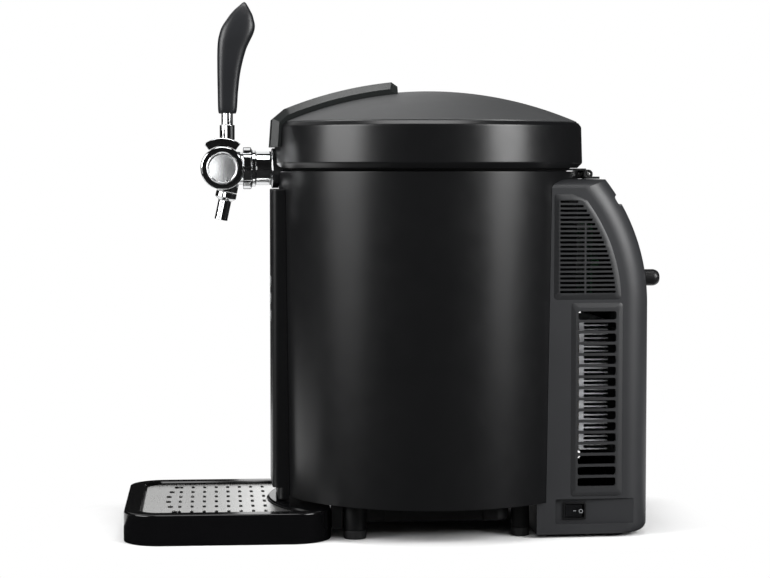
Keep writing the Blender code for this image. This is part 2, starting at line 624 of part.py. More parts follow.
def turned(profile, facets, centre=(0, 0, 0), axis="Z"):
    """Spin a profile of (radius, height) points about an axis; an open profile starts and ends on the axis."""
    shape = bmesh.new()
    corners = [shape.verts.new((radius, 0, height)) for radius, height in profile]
    edges = [shape.edges.new(pair) for pair in zip(corners, corners[1:])]
    if min(radius for radius, _ in profile) > 0:
        edges.append(shape.edges.new((corners[-1], corners[0])))
    bmesh.ops.spin(shape, geom=corners + edges, cent=(0, 0, 0), axis=(0, 0, 1), angle=math.tau,
                   steps=facets, use_merge=True)
    bmesh.ops.remove_doubles(shape, verts=shape.verts, dist=MERGE_DISTANCE)
    flat_centres = [
        corner for corner in shape.verts
        if math.hypot(corner.co.x, corner.co.y) < MERGE_DISTANCE
        and all(abs(edge.other_vert(corner).co.z - corner.co.z) < MERGE_DISTANCE for edge in corner.link_edges)
    ]
    bmesh.ops.dissolve_verts(shape, verts=flat_centres)
    if axis == "X":
        bmesh.ops.rotate(shape, verts=shape.verts, matrix=Matrix.Rotation(math.pi / 2, 3, "Y"))
    if axis == "Y":
        bmesh.ops.rotate(shape, verts=shape.verts, matrix=Matrix.Rotation(-math.pi / 2, 3, "X"))
    bmesh.ops.translate(shape, verts=shape.verts, vec=centre)
    return shape


def rod(radius, low, high, facets, centre=(0, 0, 0), axis="Z"):
    """A plain cylinder along an axis, from low to high along it."""
    return turned([(0, low), (radius, low), (radius, high), (0, high)], facets, centre, axis)


def prism(outline, low, high, axis="Z"):
    """Extrude a flat outline along an axis. The outline's points are (Y, Z), (X, Z) or (X, Y)."""
    places = {
        "X": lambda a, b: (low, a, b),
        "Y": lambda a, b: (a, low, b),
        "Z": lambda a, b: (a, b, low),
    }
    directions = {"X": Vector((1, 0, 0)), "Y": Vector((0, 1, 0)), "Z": Vector((0, 0, 1))}
    shape = bmesh.new()
    face = shape.faces.new([shape.verts.new(places[axis](a, b)) for a, b in outline])
    raised = bmesh.ops.extrude_face_region(shape, geom=[face])
    moved = [item for item in raised["geom"] if isinstance(item, bmesh.types.BMVert)]
    bmesh.ops.translate(shape, verts=moved, vec=directions[axis] * (high - low))
    return shape


def block(low, high):
    """A box between two corners."""
    (x0, y0, z0), (x1, y1, z1) = low, high
    return prism([(x0, y0), (x1, y0), (x1, y1), (x0, y1)], z0, z1)


def skin_over(shape, rings):
    """Join rings of corners in turn and close both ends."""
    count = len(rings[0])
    for lower, upper in zip(rings, rings[1:]):
        for index in range(count):
            after = (index + 1) % count
            shape.faces.new((lower[index], lower[after], upper[after], upper[index]))
    shape.faces.new(rings[0])
    shape.faces.new(rings[-1])
    bmesh.ops.recalc_face_normals(shape, faces=shape.faces)


def merged(shapes):
    """Several separate shapes as one guide."""
    whole = bmesh.new()
    for shape in shapes:
        held = bpy.data.meshes.new("held")
        shape.to_mesh(held)
        whole.from_mesh(held)
        bpy.data.meshes.remove(held)
        shape.free()
    return whole


def arc(centre, radius, start, end, steps):
    """Points on an arc, angles in degrees from the first axis of its plane."""
    points = []
    for step in range(steps + 1):
        angle = math.radians(start + (end - start) * step / steps)
        points.append((centre[0] + radius * math.cos(angle), centre[1] + radius * math.sin(angle)))
    return points


def rounded_rectangle(x0, x1, y0, y1, radii, steps=ARC_STEPS):
    """Outline with a radius for each corner: low-low, high-low, high-high, low-high."""
    a, b, c, d = radii
    return (
        arc((x0 + a, y0 + a), a, 180, 270, steps)
        + arc((x1 - b, y0 + b), b, 270, 360, steps)
        + arc((x1 - c, y1 - c), c, 0, 90, steps)
        + arc((x0 + d, y1 - d), d, 90, 180, steps)
    )


def drum_radius(height):
    share = (height - DRUM_BOTTOM_Z) / (DRUM_TOP_Z - DRUM_BOTTOM_Z)
    return DRUM_BOTTOM_RADIUS + (DRUM_TOP_RADIUS - DRUM_BOTTOM_RADIUS) * share


def drum_envelope(low, high):
    """The space that the drum takes, with a seating gap, between two heights."""
    return turned(
        [(0, low), (drum_radius(low) + SEAT_GAP, low), (drum_radius(high) + SEAT_GAP, high), (0, high)],
        DRUM_FACETS,
    )


def dome_height(radius, offset=0.0):
    """Height of the lid's dome, or of a surface a given offset above it, at a radius."""
    return DOME_CENTRE_Z + math.sqrt((DOME_RADIUS + offset) ** 2 - radius**2)


def dome_points(outer_radius, offset, steps):
    """Profile points from a radius on the dome in to the axis."""
    points = []
    for step in range(steps + 1):
        radius = outer_radius * (1 - step / steps)
        points.append((radius, dome_height(radius, offset)))
    return points


def build_drum(holder, paint, metal, foam):
    """Outer shell, keg liner, foam and the ring that closes the wall at the top."""
    shell = piece(
        "drum_shell",
        turned(
            [
                (DRUM_BOTTOM_RADIUS - DRUM_EDGE_CHAMFER, DRUM_BOTTOM_Z),
                (drum_radius(DRUM_BOTTOM_Z + DRUM_EDGE_CHAMFER), DRUM_BOTTOM_Z + DRUM_EDGE_CHAMFER),
                (DRUM_TOP_RADIUS, DRUM_TOP_Z - DRUM_EDGE_CHAMFER / 2),
                (DRUM_TOP_RADIUS - DRUM_EDGE_CHAMFER / 2, DRUM_TOP_Z),
                (DRUM_TOP_RADIUS - DRUM_WALL, DRUM_TOP_Z),
                (DRUM_BOTTOM_RADIUS - DRUM_WALL, DRUM_BOTTOM_Z),
            ],
            DRUM_FACETS,
        ),
        paint,
        holder,
    )
    window_half_width = HEAT_SINK_HALF_WIDTH + HEAT_SINK_WINDOW_MARGIN
    window_half_height = HEAT_SINK_HEIGHT / 2 + HEAT_SINK_WINDOW_MARGIN
    shank_notch_radius = SHANK_RADIUS + SEAT_GAP
    cut(shell, block(
        (LINER_OUTER_RADIUS, -window_half_width, COOLER_Z - window_half_height),
        (DRUM_TOP_RADIUS + CUT_OVERRUN, window_half_width, COOLER_Z + window_half_height),
    ))
    cut(shell, rod(shank_notch_radius, -DRUM_TOP_RADIUS - CUT_OVERRUN, SHANK_SHOULDER_X, ROUND_FACETS,
                   (0, 0, TAP_Z), "X"))

    piece(
        "keg_liner",
        turned(
            [
                (0, LINER_FLOOR_Z - LINER_WALL),
                (LINER_OUTER_RADIUS - LINER_FLOOR_CHAMFER, LINER_FLOOR_Z - LINER_WALL),
                (LINER_OUTER_RADIUS, LINER_FLOOR_Z - LINER_WALL + LINER_FLOOR_CHAMFER),
                (LINER_OUTER_RADIUS, TOP_RING_BOTTOM_Z - SEAT_GAP),
                (LINER_INNER_RADIUS, TOP_RING_BOTTOM_Z - SEAT_GAP),
                (LINER_INNER_RADIUS, LINER_FLOOR_Z + LINER_FLOOR_CHAMFER),
                (LINER_INNER_RADIUS - LINER_FLOOR_CHAMFER, LINER_FLOOR_Z),
                (0, LINER_FLOOR_Z),
            ],
            DRUM_FACETS,
        ),
        metal,
        holder,
    )

    foam_low = BASE_TOP_Z + SEAT_GAP
    foam_high = TOP_RING_BOTTOM_Z - SEAT_GAP
    shell_clearance = DRUM_WALL + SEAT_GAP
    liner_clearance = LINER_OUTER_RADIUS + SEAT_GAP
    insulation = piece(
        "insulation_foam",
        turned(
            [
                (0, foam_low),
                (drum_radius(foam_low) - shell_clearance, foam_low),
                (drum_radius(foam_high) - shell_clearance, foam_high),
                (liner_clearance, foam_high),
                (liner_clearance, LINER_FLOOR_Z - LINER_WALL - SEAT_GAP),
                (0, LINER_FLOOR_Z - LINER_WALL - SEAT_GAP),
            ],
            DRUM_FACETS,
        ),
        foam,
        holder,
    )
    module_half = MODULE_SIDE / 2 + SEAT_GAP
    module_front_x = HEAT_SINK_BASE_X - SEAT_GAP - MODULE_THICKNESS
    cut(insulation, block(
        (0, -module_half, COOLER_Z - module_half),
        (module_front_x + CUT_OVERRUN + MODULE_THICKNESS, module_half, COOLER_Z + module_half),
    ))
    cut(insulation, block(
        (HEAT_SINK_BASE_X - SEAT_GAP, -window_half_width, COOLER_Z - window_half_height),
        (DRUM_TOP_RADIUS + CUT_OVERRUN, window_half_width, COOLER_Z + window_half_height),
    ))

    ring_outer = drum_radius(TOP_RING_BOTTOM_Z) - shell_clearance
    ring = piece(
        "top_ring",
        turned(
            [
                (ring_outer, TOP_RING_BOTTOM_Z),
                (ring_outer, DRUM_TOP_Z),
                (LINER_INNER_RADIUS + TOP_RING_LEAD_IN, DRUM_TOP_Z),
                (LINER_INNER_RADIUS, DRUM_TOP_Z - TOP_RING_LEAD_IN),
                (LINER_INNER_RADIUS, TOP_RING_BOTTOM_Z),
            ],
            DRUM_FACETS,
        ),
        paint,
        holder,
    )
    cut(ring, rod(shank_notch_radius, -DRUM_TOP_RADIUS - CUT_OVERRUN, SHANK_SHOULDER_X + CUT_OVERRUN,
                  ROUND_FACETS, (0, 0, TAP_Z), "X"))
    cut(ring, rod(BACKNUT_RADIUS + RUN_GAP, SHANK_SHOULDER_X, -LINER_INNER_RADIUS + CUT_OVERRUN, ROUND_FACETS,
                  (0, 0, TAP_Z), "X"))


def build_base(holder, paint, rubber):
    """The plate that closes the drum's foot, with its pan, legs and tray dock, and the rubber pads under it."""
    plate_radius = DRUM_BOTTOM_RADIUS - DRUM_WALL - SEAT_GAP
    plate = piece("base_plate", rod(plate_radius, BASE_BOTTOM_Z, BASE_TOP_Z, DRUM_FACETS), paint, holder)
    fuse_z = (BASE_BOTTOM_Z + BASE_TOP_Z) / 2
    join(plate, prism(
        rounded_rectangle(PAN_FRONT_X, PAN_REAR_X, -PAN_HALF_WIDTH, PAN_HALF_WIDTH, [PAN_CORNER_RADIUS] * 4),
        PAN_BOTTOM_Z, fuse_z,
    ))
    rib_edges = []
    for share in PAN_RIB_SHARES:
        place = PAN_FRONT_X + PAN_LENGTH * share
        rib_edges += [place - PAN_RIB_WIDTH / 2, place + PAN_RIB_WIDTH / 2]
        join(plate, block(
            (place - PAN_RIB_WIDTH / 2, -PAN_HALF_WIDTH - PAN_RIB_PROUD, PAN_BOTTOM_Z + PAN_RIB_PROUD),
            (place + PAN_RIB_WIDTH / 2, PAN_HALF_WIDTH + PAN_RIB_PROUD, fuse_z),
        ))
    bay_edges = [PAN_FRONT_X + PAN_WALL] + rib_edges + [PAN_REAR_X - PAN_WALL]
    bays = []
    for start, end in zip(bay_edges[::2], bay_edges[1::2]):
        bays.append(block(
            (start, PAN_CORNER_RADIUS - PAN_HALF_WIDTH, PAN_BOTTOM_Z - CUT_OVERRUN),
            (end, PAN_HALF_WIDTH - PAN_CORNER_RADIUS, BASE_BOTTOM_Z),
        ))
    cut(plate, merged(bays))

    feet = (
        ("foot_front", FOOT_FRONT_X, FOOT_FRONT_Y, FOOT_FRONT_RADIUS),
        ("foot_rear", FOOT_REAR_X, FOOT_REAR_Y, FOOT_REAR_RADIUS),
    )
    for name, x, y, radius in feet:
        for side, sign in (("right", -1), ("left", 1)):
            join(plate, rod(radius, FOOT_PAD_HEIGHT + SEAT_GAP, fuse_z, SMALL_FACETS, (x, sign * y, 0)))
            pad = turned(
                [
                    (0, 0),
                    (radius - FOOT_PAD_CHAMFER, 0),
                    (radius, FOOT_PAD_CHAMFER),
                    (radius, FOOT_PAD_HEIGHT),
                    (0, FOOT_PAD_HEIGHT),
                ],
                SMALL_FACETS,
                (x, sign * y, 0),
            )
            piece(f"{name}_{side}", pad, rubber, holder)

    dock_front_x = TRAY_REAR_X + SEAT_GAP
    for sign in (-1, 1):
        near, far = sorted((sign * DOCK_INNER_Y, sign * DOCK_OUTER_Y))
        join(plate, block((dock_front_x, near, DOCK_BOTTOM_Z), (dock_front_x + DOCK_THICKNESS, far, fuse_z)))


def panel_outline(face_x, inner_x):
    """Plan of the front panel: a flat face with round corners and sides that run back into the drum."""
    corner = PANEL_CORNER_RADIUS
    return (
        [(inner_x, -PANEL_HALF_WIDTH)]
        + arc((face_x + corner, corner - PANEL_HALF_WIDTH), corner, 270, 180, ARC_STEPS)
        + arc((face_x + corner, PANEL_HALF_WIDTH - corner), corner, 180, 90, ARC_STEPS)
        + [(inner_x, PANEL_HALF_WIDTH)]
    )


def build_front_panel(holder, paint, lens, board, button_bodies):
    """The panel on the drum's front: its moulded shell, display lens, circuit board and three buttons."""
    inner_x = -LINER_OUTER_RADIUS
    strip_face_x = PANEL_FACE_X + PANEL_STRIP_SETBACK
    panel = piece(
        "front_panel", prism(panel_outline(PANEL_FACE_X, inner_x), PANEL_FACE_BOTTOM_Z, PANEL_TOP_Z), paint, holder
    )
    join(panel, prism(
        panel_outline(strip_face_x, inner_x), PANEL_STRIP_BOTTOM_Z, PANEL_FACE_BOTTOM_Z + PANEL_WALL,
    ))
    cut(panel, drum_envelope(PANEL_STRIP_BOTTOM_Z - CUT_OVERRUN, PANEL_TOP_Z + CUT_OVERRUN))
    pocket_half_width = PANEL_HALF_WIDTH - PANEL_WALL - SEAT_GAP
    cut(panel, block(
        (PANEL_FACE_X + PANEL_WALL, -pocket_half_width, PANEL_POCKET_BOTTOM_Z),
        (inner_x + CUT_OVERRUN, pocket_half_width, PANEL_TOP_Z - PANEL_POCKET_TOP_MARGIN),
    ))
    cut(panel, block(
        (PANEL_FACE_X - CUT_OVERRUN, -WINDOW_WIDTH / 2 - SEAT_GAP, WINDOW_CENTRE_Z - WINDOW_HEIGHT / 2 - SEAT_GAP),
        (PANEL_FACE_X + WINDOW_THICKNESS + SEAT_GAP, WINDOW_WIDTH / 2 + SEAT_GAP,
         WINDOW_CENTRE_Z + WINDOW_HEIGHT / 2 + SEAT_GAP),
    ))
    cut(panel, block(
        (PANEL_FACE_X, WINDOW_LEDGE - WINDOW_WIDTH / 2, WINDOW_CENTRE_Z - WINDOW_HEIGHT / 2 + WINDOW_LEDGE),
        (PANEL_FACE_X + PANEL_WALL + CUT_OVERRUN / 2, WINDOW_WIDTH / 2 - WINDOW_LEDGE,
         WINDOW_CENTRE_Z + WINDOW_HEIGHT / 2 - WINDOW_LEDGE),
    ))
    glass = block(
        (PANEL_FACE_X, -WINDOW_WIDTH / 2, WINDOW_CENTRE_Z - WINDOW_HEIGHT / 2),
        (PANEL_FACE_X + WINDOW_THICKNESS, WINDOW_WIDTH / 2, WINDOW_CENTRE_Z + WINDOW_HEIGHT / 2),
    )
    front_edges = [
        edge for edge in glass.edges
        if all(abs(corner.co.x - PANEL_FACE_X) < MERGE_DISTANCE for corner in edge.verts)
    ]
    bmesh.ops.bevel(glass, geom=front_edges, offset=WINDOW_CHAMFER, segments=1, affect="EDGES")
    piece("display_window", glass, lens, holder)

    board_half_width = pocket_half_width - SEAT_GAP
    piece("display_board", block(
        (BOARD_BACK_X - BOARD_THICKNESS, -board_half_width, BOARD_BOTTOM_Z),
        (BOARD_BACK_X, board_half_width, BOARD_TOP_Z),
    ), board, holder)

    holes = []
    for index, name in enumerate(BUTTON_NAMES):
        height = BUTTON_TOP_Z - index * BUTTON_PITCH
        holes.append(rod(BUTTON_RADIUS + SEAT_GAP, PANEL_FACE_X - CUT_OVERRUN,
                         PANEL_FACE_X + PANEL_WALL + CUT_OVERRUN / 2, SMALL_FACETS, (0, 0, height), "X"))
        flange_x = PANEL_FACE_X + PANEL_WALL + SEAT_GAP
        cap = turned(
            [
                (0, PANEL_FACE_X - BUTTON_PROUD),
                (BUTTON_RADIUS - BUTTON_EDGE_CHAMFER, PANEL_FACE_X - BUTTON_PROUD),
                (BUTTON_RADIUS, PANEL_FACE_X - BUTTON_PROUD + BUTTON_EDGE_CHAMFER),
                (BUTTON_RADIUS, flange_x),
                (BUTTON_RADIUS + BUTTON_FLANGE, flange_x),
                (BUTTON_RADIUS + BUTTON_FLANGE, flange_x + BUTTON_FLANGE_THICKNESS),
                (0, flange_x + BUTTON_FLANGE_THICKNESS),
            ],
            SMALL_FACETS,
            (0, 0, height),
            "X",
        )
        slider = empty_at(f"{name}_slide", (PANEL_FACE_X, 0, height), holder)
        piece(name, cap, button_bodies, slider)
    cut(panel, merged(holes))


def side_wall_y(x):
    """Half width of the housing at a place along it."""
    share = (x - HOUSING_FRONT_X) / (HOUSING_REAR_X - HOUSING_FRONT_X)
    return HOUSING_FRONT_HALF_WIDTH + (HOUSING_REAR_HALF_WIDTH - HOUSING_FRONT_HALF_WIDTH) * share


def housing_outline(inset, rounding):
    """Side view of the rear housing: flat top, long back curve, upright back and foot.

    The inset draws all of it in; the rounding draws in the back and, less far, the top.
    """
    drawn_in = inset + rounding
    top_z = HOUSING_TOP_Z - inset - rounding * HOUSING_TOP_ROUND_SHARE
    curve_radius = HOUSING_CURVE_RADIUS - drawn_in
    start_angle = math.degrees(math.asin((top_z - HOUSING_CURVE_START_Z) / curve_radius))
    bottom_z = HOUSING_BOTTOM_Z + inset
    foot = HOUSING_FOOT_RADIUS
    foot_x = HOUSING_REAR_X - drawn_in - foot
    return (
        [(HOUSING_FRONT_X + inset, bottom_z), (HOUSING_FRONT_X + inset, top_z)]
        + arc(HOUSING_CURVE_CENTRE, curve_radius, start_angle, 0, HOUSING_CURVE_STEPS)
        + arc((foot_x, bottom_z + foot), foot, 0, -90, ARC_STEPS // 2)
    )


def housing_solid(inset):
    """The housing as a solid, drawn in by an inset: tapered towards the back, with round shoulders."""
    radius = HOUSING_EDGE_RADIUS - inset
    layers = []
    for step in range(SHOULDER_STEPS + 1):
        angle = math.radians(90 * step / SHOULDER_STEPS)
        layers.append((radius * (1 - math.sin(angle)), radius * (1 - math.cos(angle))))
    solid = bmesh.new()
    rings = []
    for sign, order in ((-1, layers), (1, layers[::-1])):
        for rounding, drop in order:
            rings.append([
                solid.verts.new((x, sign * (side_wall_y(x) - inset - drop), z))
                for x, z in housing_outline(inset, rounding)
            ])
    skin_over(solid, rings)
    bmesh.ops.connect_verts_nonplanar(solid, angle_limit=math.radians(FLAT_ANGLE), faces=solid.faces)
    return solid


def soft_corners(outline):
    """Round the square corners of a panel's outline and leave its shallow ones alone."""
    softened = []
    for index, corner in enumerate(outline):
        here = Vector(corner)
        back = Vector(outline[index - 1]) - here
        ahead = Vector(outline[(index + 1) % len(outline)]) - here
        if math.degrees(back.angle(ahead)) > SQUARE_CORNER_LIMIT:
            softened.append(corner)
            continue
        start = here + back.normalized() * SIDE_PANEL_CORNER_REACH
        end = here + ahead.normalized() * SIDE_PANEL_CORNER_REACH
        for step in range(CORNER_STEPS + 1):
            share = step / CORNER_STEPS
            softened.append(tuple(start.lerp(here, share).lerp(here.lerp(end, share), share)))
    return softened


def upper_grille_outline(grow):
    """Side view of the upper grille panel: its back edge follows the housing's curve."""
    radius = HOUSING_CURVE_RADIUS - UPPER_CURVE_INSET + grow
    start = math.degrees(math.asin((UPPER_SHOULDER_Z - HOUSING_CURVE_START_Z) / radius))
    end = math.degrees(math.asin((UPPER_BOTTOM_Z - grow - HOUSING_CURVE_START_Z) / radius))
    left_x, right_x = UPPER_LEFT_X - grow, UPPER_LEFT_X + UPPER_TOP_RUN + grow / 2
    return soft_corners(
        [(left_x, UPPER_BOTTOM_Z - grow), (left_x, UPPER_TOP_Z + grow), (right_x, UPPER_TOP_Z + grow)]
        + arc(HOUSING_CURVE_CENTRE, radius, start, end, ARC_STEPS)
    )


def vent_outline(grow):
    """Side view of the lower vent panel."""
    low_x, high_x = VENT_FRONT_X - grow, VENT_REAR_X + grow
    low_z, high_z = VENT_BOTTOM_Z - grow, VENT_TOP_Z + grow
    return soft_corners([(low_x, low_z), (high_x, low_z), (high_x, high_z), (low_x, high_z)])


def raised_panel(outline_at, sign):
    """A panel whose edge lies flush with the housing's side and slopes up to a raised field."""
    shape = bmesh.new()
    rings = []
    for grow, proud in ((0, -SIDE_PANEL_DEPTH), (0, 0), (-SIDE_PANEL_SLOPE, SIDE_PANEL_PROUD)):
        rings.append([shape.verts.new((x, sign * (side_wall_y(x) + proud), z)) for x, z in outline_at(grow)])
    skin_over(shape, rings)
    bmesh.ops.connect_verts_nonplanar(shape, angle_limit=math.radians(FLAT_ANGLE), faces=shape.faces)
    return shape


def side_range(sign):
    """Span in Y that takes in one side wall of the housing."""
    return sorted((sign * HOUSING_FRONT_HALF_WIDTH / 2, sign * (HOUSING_FRONT_HALF_WIDTH + CUT_OVERRUN)))


def upper_slots(sign):
    """The upper grille's slots, each ending on a curve inside the panel's edge."""
    low_y, high_y = side_range(sign)
    end_radius = HOUSING_CURVE_RADIUS - UPPER_CURVE_INSET - UPPER_SLOT_END_MARGIN
    slots = []
    for index in range(UPPER_SLOT_COUNT):
        top_z = UPPER_SLOT_TOP_Z - index * UPPER_SLOT_PITCH
        rise = top_z - HOUSING_CURVE_START_Z
        end_x = HOUSING_CURVE_CENTRE_X + math.sqrt(end_radius**2 - rise**2)
        if index == 0:
            end_x = UPPER_LEFT_X + UPPER_TOP_RUN + UPPER_SLOT_END_MARGIN
        spans = [(UPPER_SLOT_START_X, end_x)]
        if index >= UPPER_RIB_FIRST_SLOT:
            spans = [
                (UPPER_SLOT_START_X, UPPER_RIB_X - UPPER_RIB_WIDTH / 2),
                (UPPER_RIB_X + UPPER_RIB_WIDTH / 2, end_x),
            ]
        for start, end in spans:
            slots.append(block((start, low_y, top_z - UPPER_SLOT_HEIGHT), (end, high_y, top_z)))
    return merged(slots)


def vent_slots(sign):
    """The lower vent's level slots."""
    low_y, high_y = side_range(sign)
    slots = []
    for index in range(VENT_SLOT_COUNT):
        top_z = VENT_SLOT_TOP_Z - index * VENT_SLOT_PITCH
        bottom_z = top_z - VENT_SLOT_HEIGHT
        slots.append(block((VENT_SLOT_FRONT_X, low_y, bottom_z), (VENT_SLOT_REAR_X, high_y, top_z)))
    return merged(slots)


def rear_grille_outline(grow):
    half = REAR_GRILLE_HALF_SIDE + grow
    corners = [REAR_GRILLE_CORNER_RADIUS] * 4
    return rounded_rectangle(-half, half, COOLER_Z - half, COOLER_Z + half, corners, CORNER_STEPS)


def rear_slots():
    """Two columns of level slots in front of the fan."""
    low_x, high_x = HOUSING_REAR_X - GRILLE_DEPTH - CUT_OVERRUN, HOUSING_REAR_X + CUT_OVERRUN
    reach = REAR_GRILLE_HALF_SIDE - REAR_SLOT_MARGIN
    pitch = (2 * reach - REAR_SLOT_HEIGHT) / (REAR_SLOT_COUNT - 1)
    slots = []
    for index in range(REAR_SLOT_COUNT):
        bottom_z = COOLER_Z - reach + index * pitch
        for start, end in ((-reach, -REAR_RIB_WIDTH / 2), (REAR_RIB_WIDTH / 2, reach)):
            slots.append(block((low_x, start, bottom_z), (high_x, end, bottom_z + REAR_SLOT_HEIGHT)))
    return merged(slots)


def build_housing(holder, paint, dark):
    """The moulded rear housing with its louvred panels, open towards the drum."""
    housing = piece("rear_housing", housing_solid(0.0), paint, holder)
    cut(housing, housing_solid(HOUSING_WALL))
    cut(housing, drum_envelope(DRUM_BOTTOM_Z - SEAT_GAP, HOUSING_TOP_Z + CUT_OVERRUN))
    side_panels = (("upper_grille", upper_grille_outline, upper_slots), ("side_vent", vent_outline, vent_slots))
    for side, sign in (("right", -1), ("left", 1)):
        for name, outline_at, slots in side_panels:
            cut(housing, prism(outline_at(SEAT_GAP), *side_range(sign), "Y"))
            panel = piece(f"{name}_{side}", raised_panel(outline_at, sign), dark, holder)
            cut(panel, slots(sign))
    low_x, high_x = HOUSING_REAR_X - HOUSING_EDGE_RADIUS, HOUSING_REAR_X + CUT_OVERRUN
    cut(housing, prism(rear_grille_outline(SEAT_GAP), low_x, high_x, "X"))
    back = piece("rear_grille", prism(rear_grille_outline(0.0), low_x, high_x, "X"), dark, holder)
    keep_inside(back, housing_solid(0.0))
    cut(back, housing_solid(GRILLE_DEPTH))
    cut(back, rear_slots())

    grips = []
    width = (GRIP_SLOT_SPAN - GRIP_SLOT_RIB * (GRIP_SLOT_COUNT - 1)) / GRIP_SLOT_COUNT
    for index in range(GRIP_SLOT_COUNT):
        start = -GRIP_SLOT_SPAN / 2 + index * (width + GRIP_SLOT_RIB)
        grip = block(
            (HOUSING_CURVE_RADIUS - GRIP_CUT_DEPTH, start, -GRIP_SLOT_LENGTH / 2),
            (HOUSING_CURVE_RADIUS + CUT_OVERRUN, start + width, GRIP_SLOT_LENGTH / 2),
        )
        lean = Matrix.Rotation(-math.radians(GRIP_SLOT_ANGLE), 3, "Y")
        bmesh.ops.rotate(grip, verts=grip.verts, matrix=lean)
        bmesh.ops.translate(grip, verts=grip.verts, vec=(HOUSING_CURVE_CENTRE_X, 0, HOUSING_CURVE_START_Z))
        grips.append(grip)
    cut(housing, merged(grips))
    return housing


def build_switch(holder, housing, plastic, rocker_material):
    """The power switch: a sunk field in the housing's right side, the switch body and its rocker."""
    floor_y = -side_wall_y(SWITCH_POCKET_REAR_X) + SWITCH_POCKET_DEPTH
    backing_y = floor_y + SWITCH_BACKING_THICKNESS
    lapped = HOUSING_WALL - SWITCH_BACKING_LAP
    filler_front_x = SWITCH_POCKET_FRONT_X - HOUSING_WALL / 2
    filler_rear_x = SWITCH_POCKET_REAR_X + HOUSING_WALL / 2
    join(housing, prism(
        [
            (filler_front_x, lapped - side_wall_y(filler_front_x)),
            (filler_rear_x, lapped - side_wall_y(filler_rear_x)),
            (filler_rear_x, backing_y),
            (filler_front_x, backing_y),
        ],
        SWITCH_POCKET_BOTTOM_Z - HOUSING_WALL, SWITCH_POCKET_TOP_Z + HOUSING_WALL / 2,
    ))
    cut(housing, block(
        (SWITCH_POCKET_FRONT_X, -HOUSING_FRONT_HALF_WIDTH - CUT_OVERRUN, SWITCH_POCKET_BOTTOM_Z),
        (SWITCH_POCKET_REAR_X, floor_y, SWITCH_POCKET_TOP_Z),
    ))
    body_half_length = SWITCH_HALF_LENGTH - SWITCH_BODY_INSET
    body_half_height = SWITCH_HALF_HEIGHT - SWITCH_BODY_INSET / 2
    cut(housing, block(
        (SWITCH_X - body_half_length - SEAT_GAP, floor_y - CUT_OVERRUN, SWITCH_Z - body_half_height - SEAT_GAP),
        (SWITCH_X + body_half_length + SEAT_GAP, backing_y + CUT_OVERRUN, SWITCH_Z + body_half_height + SEAT_GAP),
    ))
    face_y = floor_y - SEAT_GAP - SWITCH_FLANGE_THICKNESS
    body = piece("switch_body", block(
        (SWITCH_X - SWITCH_HALF_LENGTH, face_y, SWITCH_Z - SWITCH_HALF_HEIGHT),
        (SWITCH_X + SWITCH_HALF_LENGTH, floor_y - SEAT_GAP, SWITCH_Z + SWITCH_HALF_HEIGHT),
    ), plastic, holder)
    join(body, block(
        (SWITCH_X - body_half_length, face_y + SWITCH_FLANGE_THICKNESS / 2, SWITCH_Z - body_half_height),
        (SWITCH_X + body_half_length, face_y + SWITCH_DEPTH, SWITCH_Z + body_half_height),
    ))
    cut(body, block(
        (SWITCH_X - SWITCH_WELL_HALF_LENGTH, face_y - CUT_OVERRUN, SWITCH_Z - SWITCH_WELL_HALF_HEIGHT),
        (SWITCH_X + SWITCH_WELL_HALF_LENGTH, face_y + SWITCH_WELL_DEPTH, SWITCH_Z + SWITCH_WELL_HALF_HEIGHT),
    ))
    pivot_y = face_y + ROCKER_PIVOT_DEPTH
    pivot = empty_at("switch_rocker_pivot", (SWITCH_X, pivot_y, SWITCH_Z), holder)
    outline = [
        (-ROCKER_HALF_LENGTH, -ROCKER_CORNER_HEIGHT),
        (0, -ROCKER_MIDDLE_HEIGHT),
        (ROCKER_HALF_LENGTH, -ROCKER_CORNER_HEIGHT),
        (ROCKER_HALF_LENGTH, 0),
        (ROCKER_KEEL_HALF_LENGTH, ROCKER_KEEL_DEPTH),
        (-ROCKER_KEEL_HALF_LENGTH, ROCKER_KEEL_DEPTH),
        (-ROCKER_HALF_LENGTH, 0),
    ]
    rocker = prism(outline, -ROCKER_HALF_HEIGHT, ROCKER_HALF_HEIGHT)
    bmesh.ops.rotate(rocker, verts=rocker.verts, matrix=Matrix.Rotation(-math.radians(ROCKER_TILT), 3, "Z"))
    bmesh.ops.translate(rocker, verts=rocker.verts, vec=(SWITCH_X, pivot_y, SWITCH_Z))
    piece("switch_rocker", rocker, rocker_material, pivot)


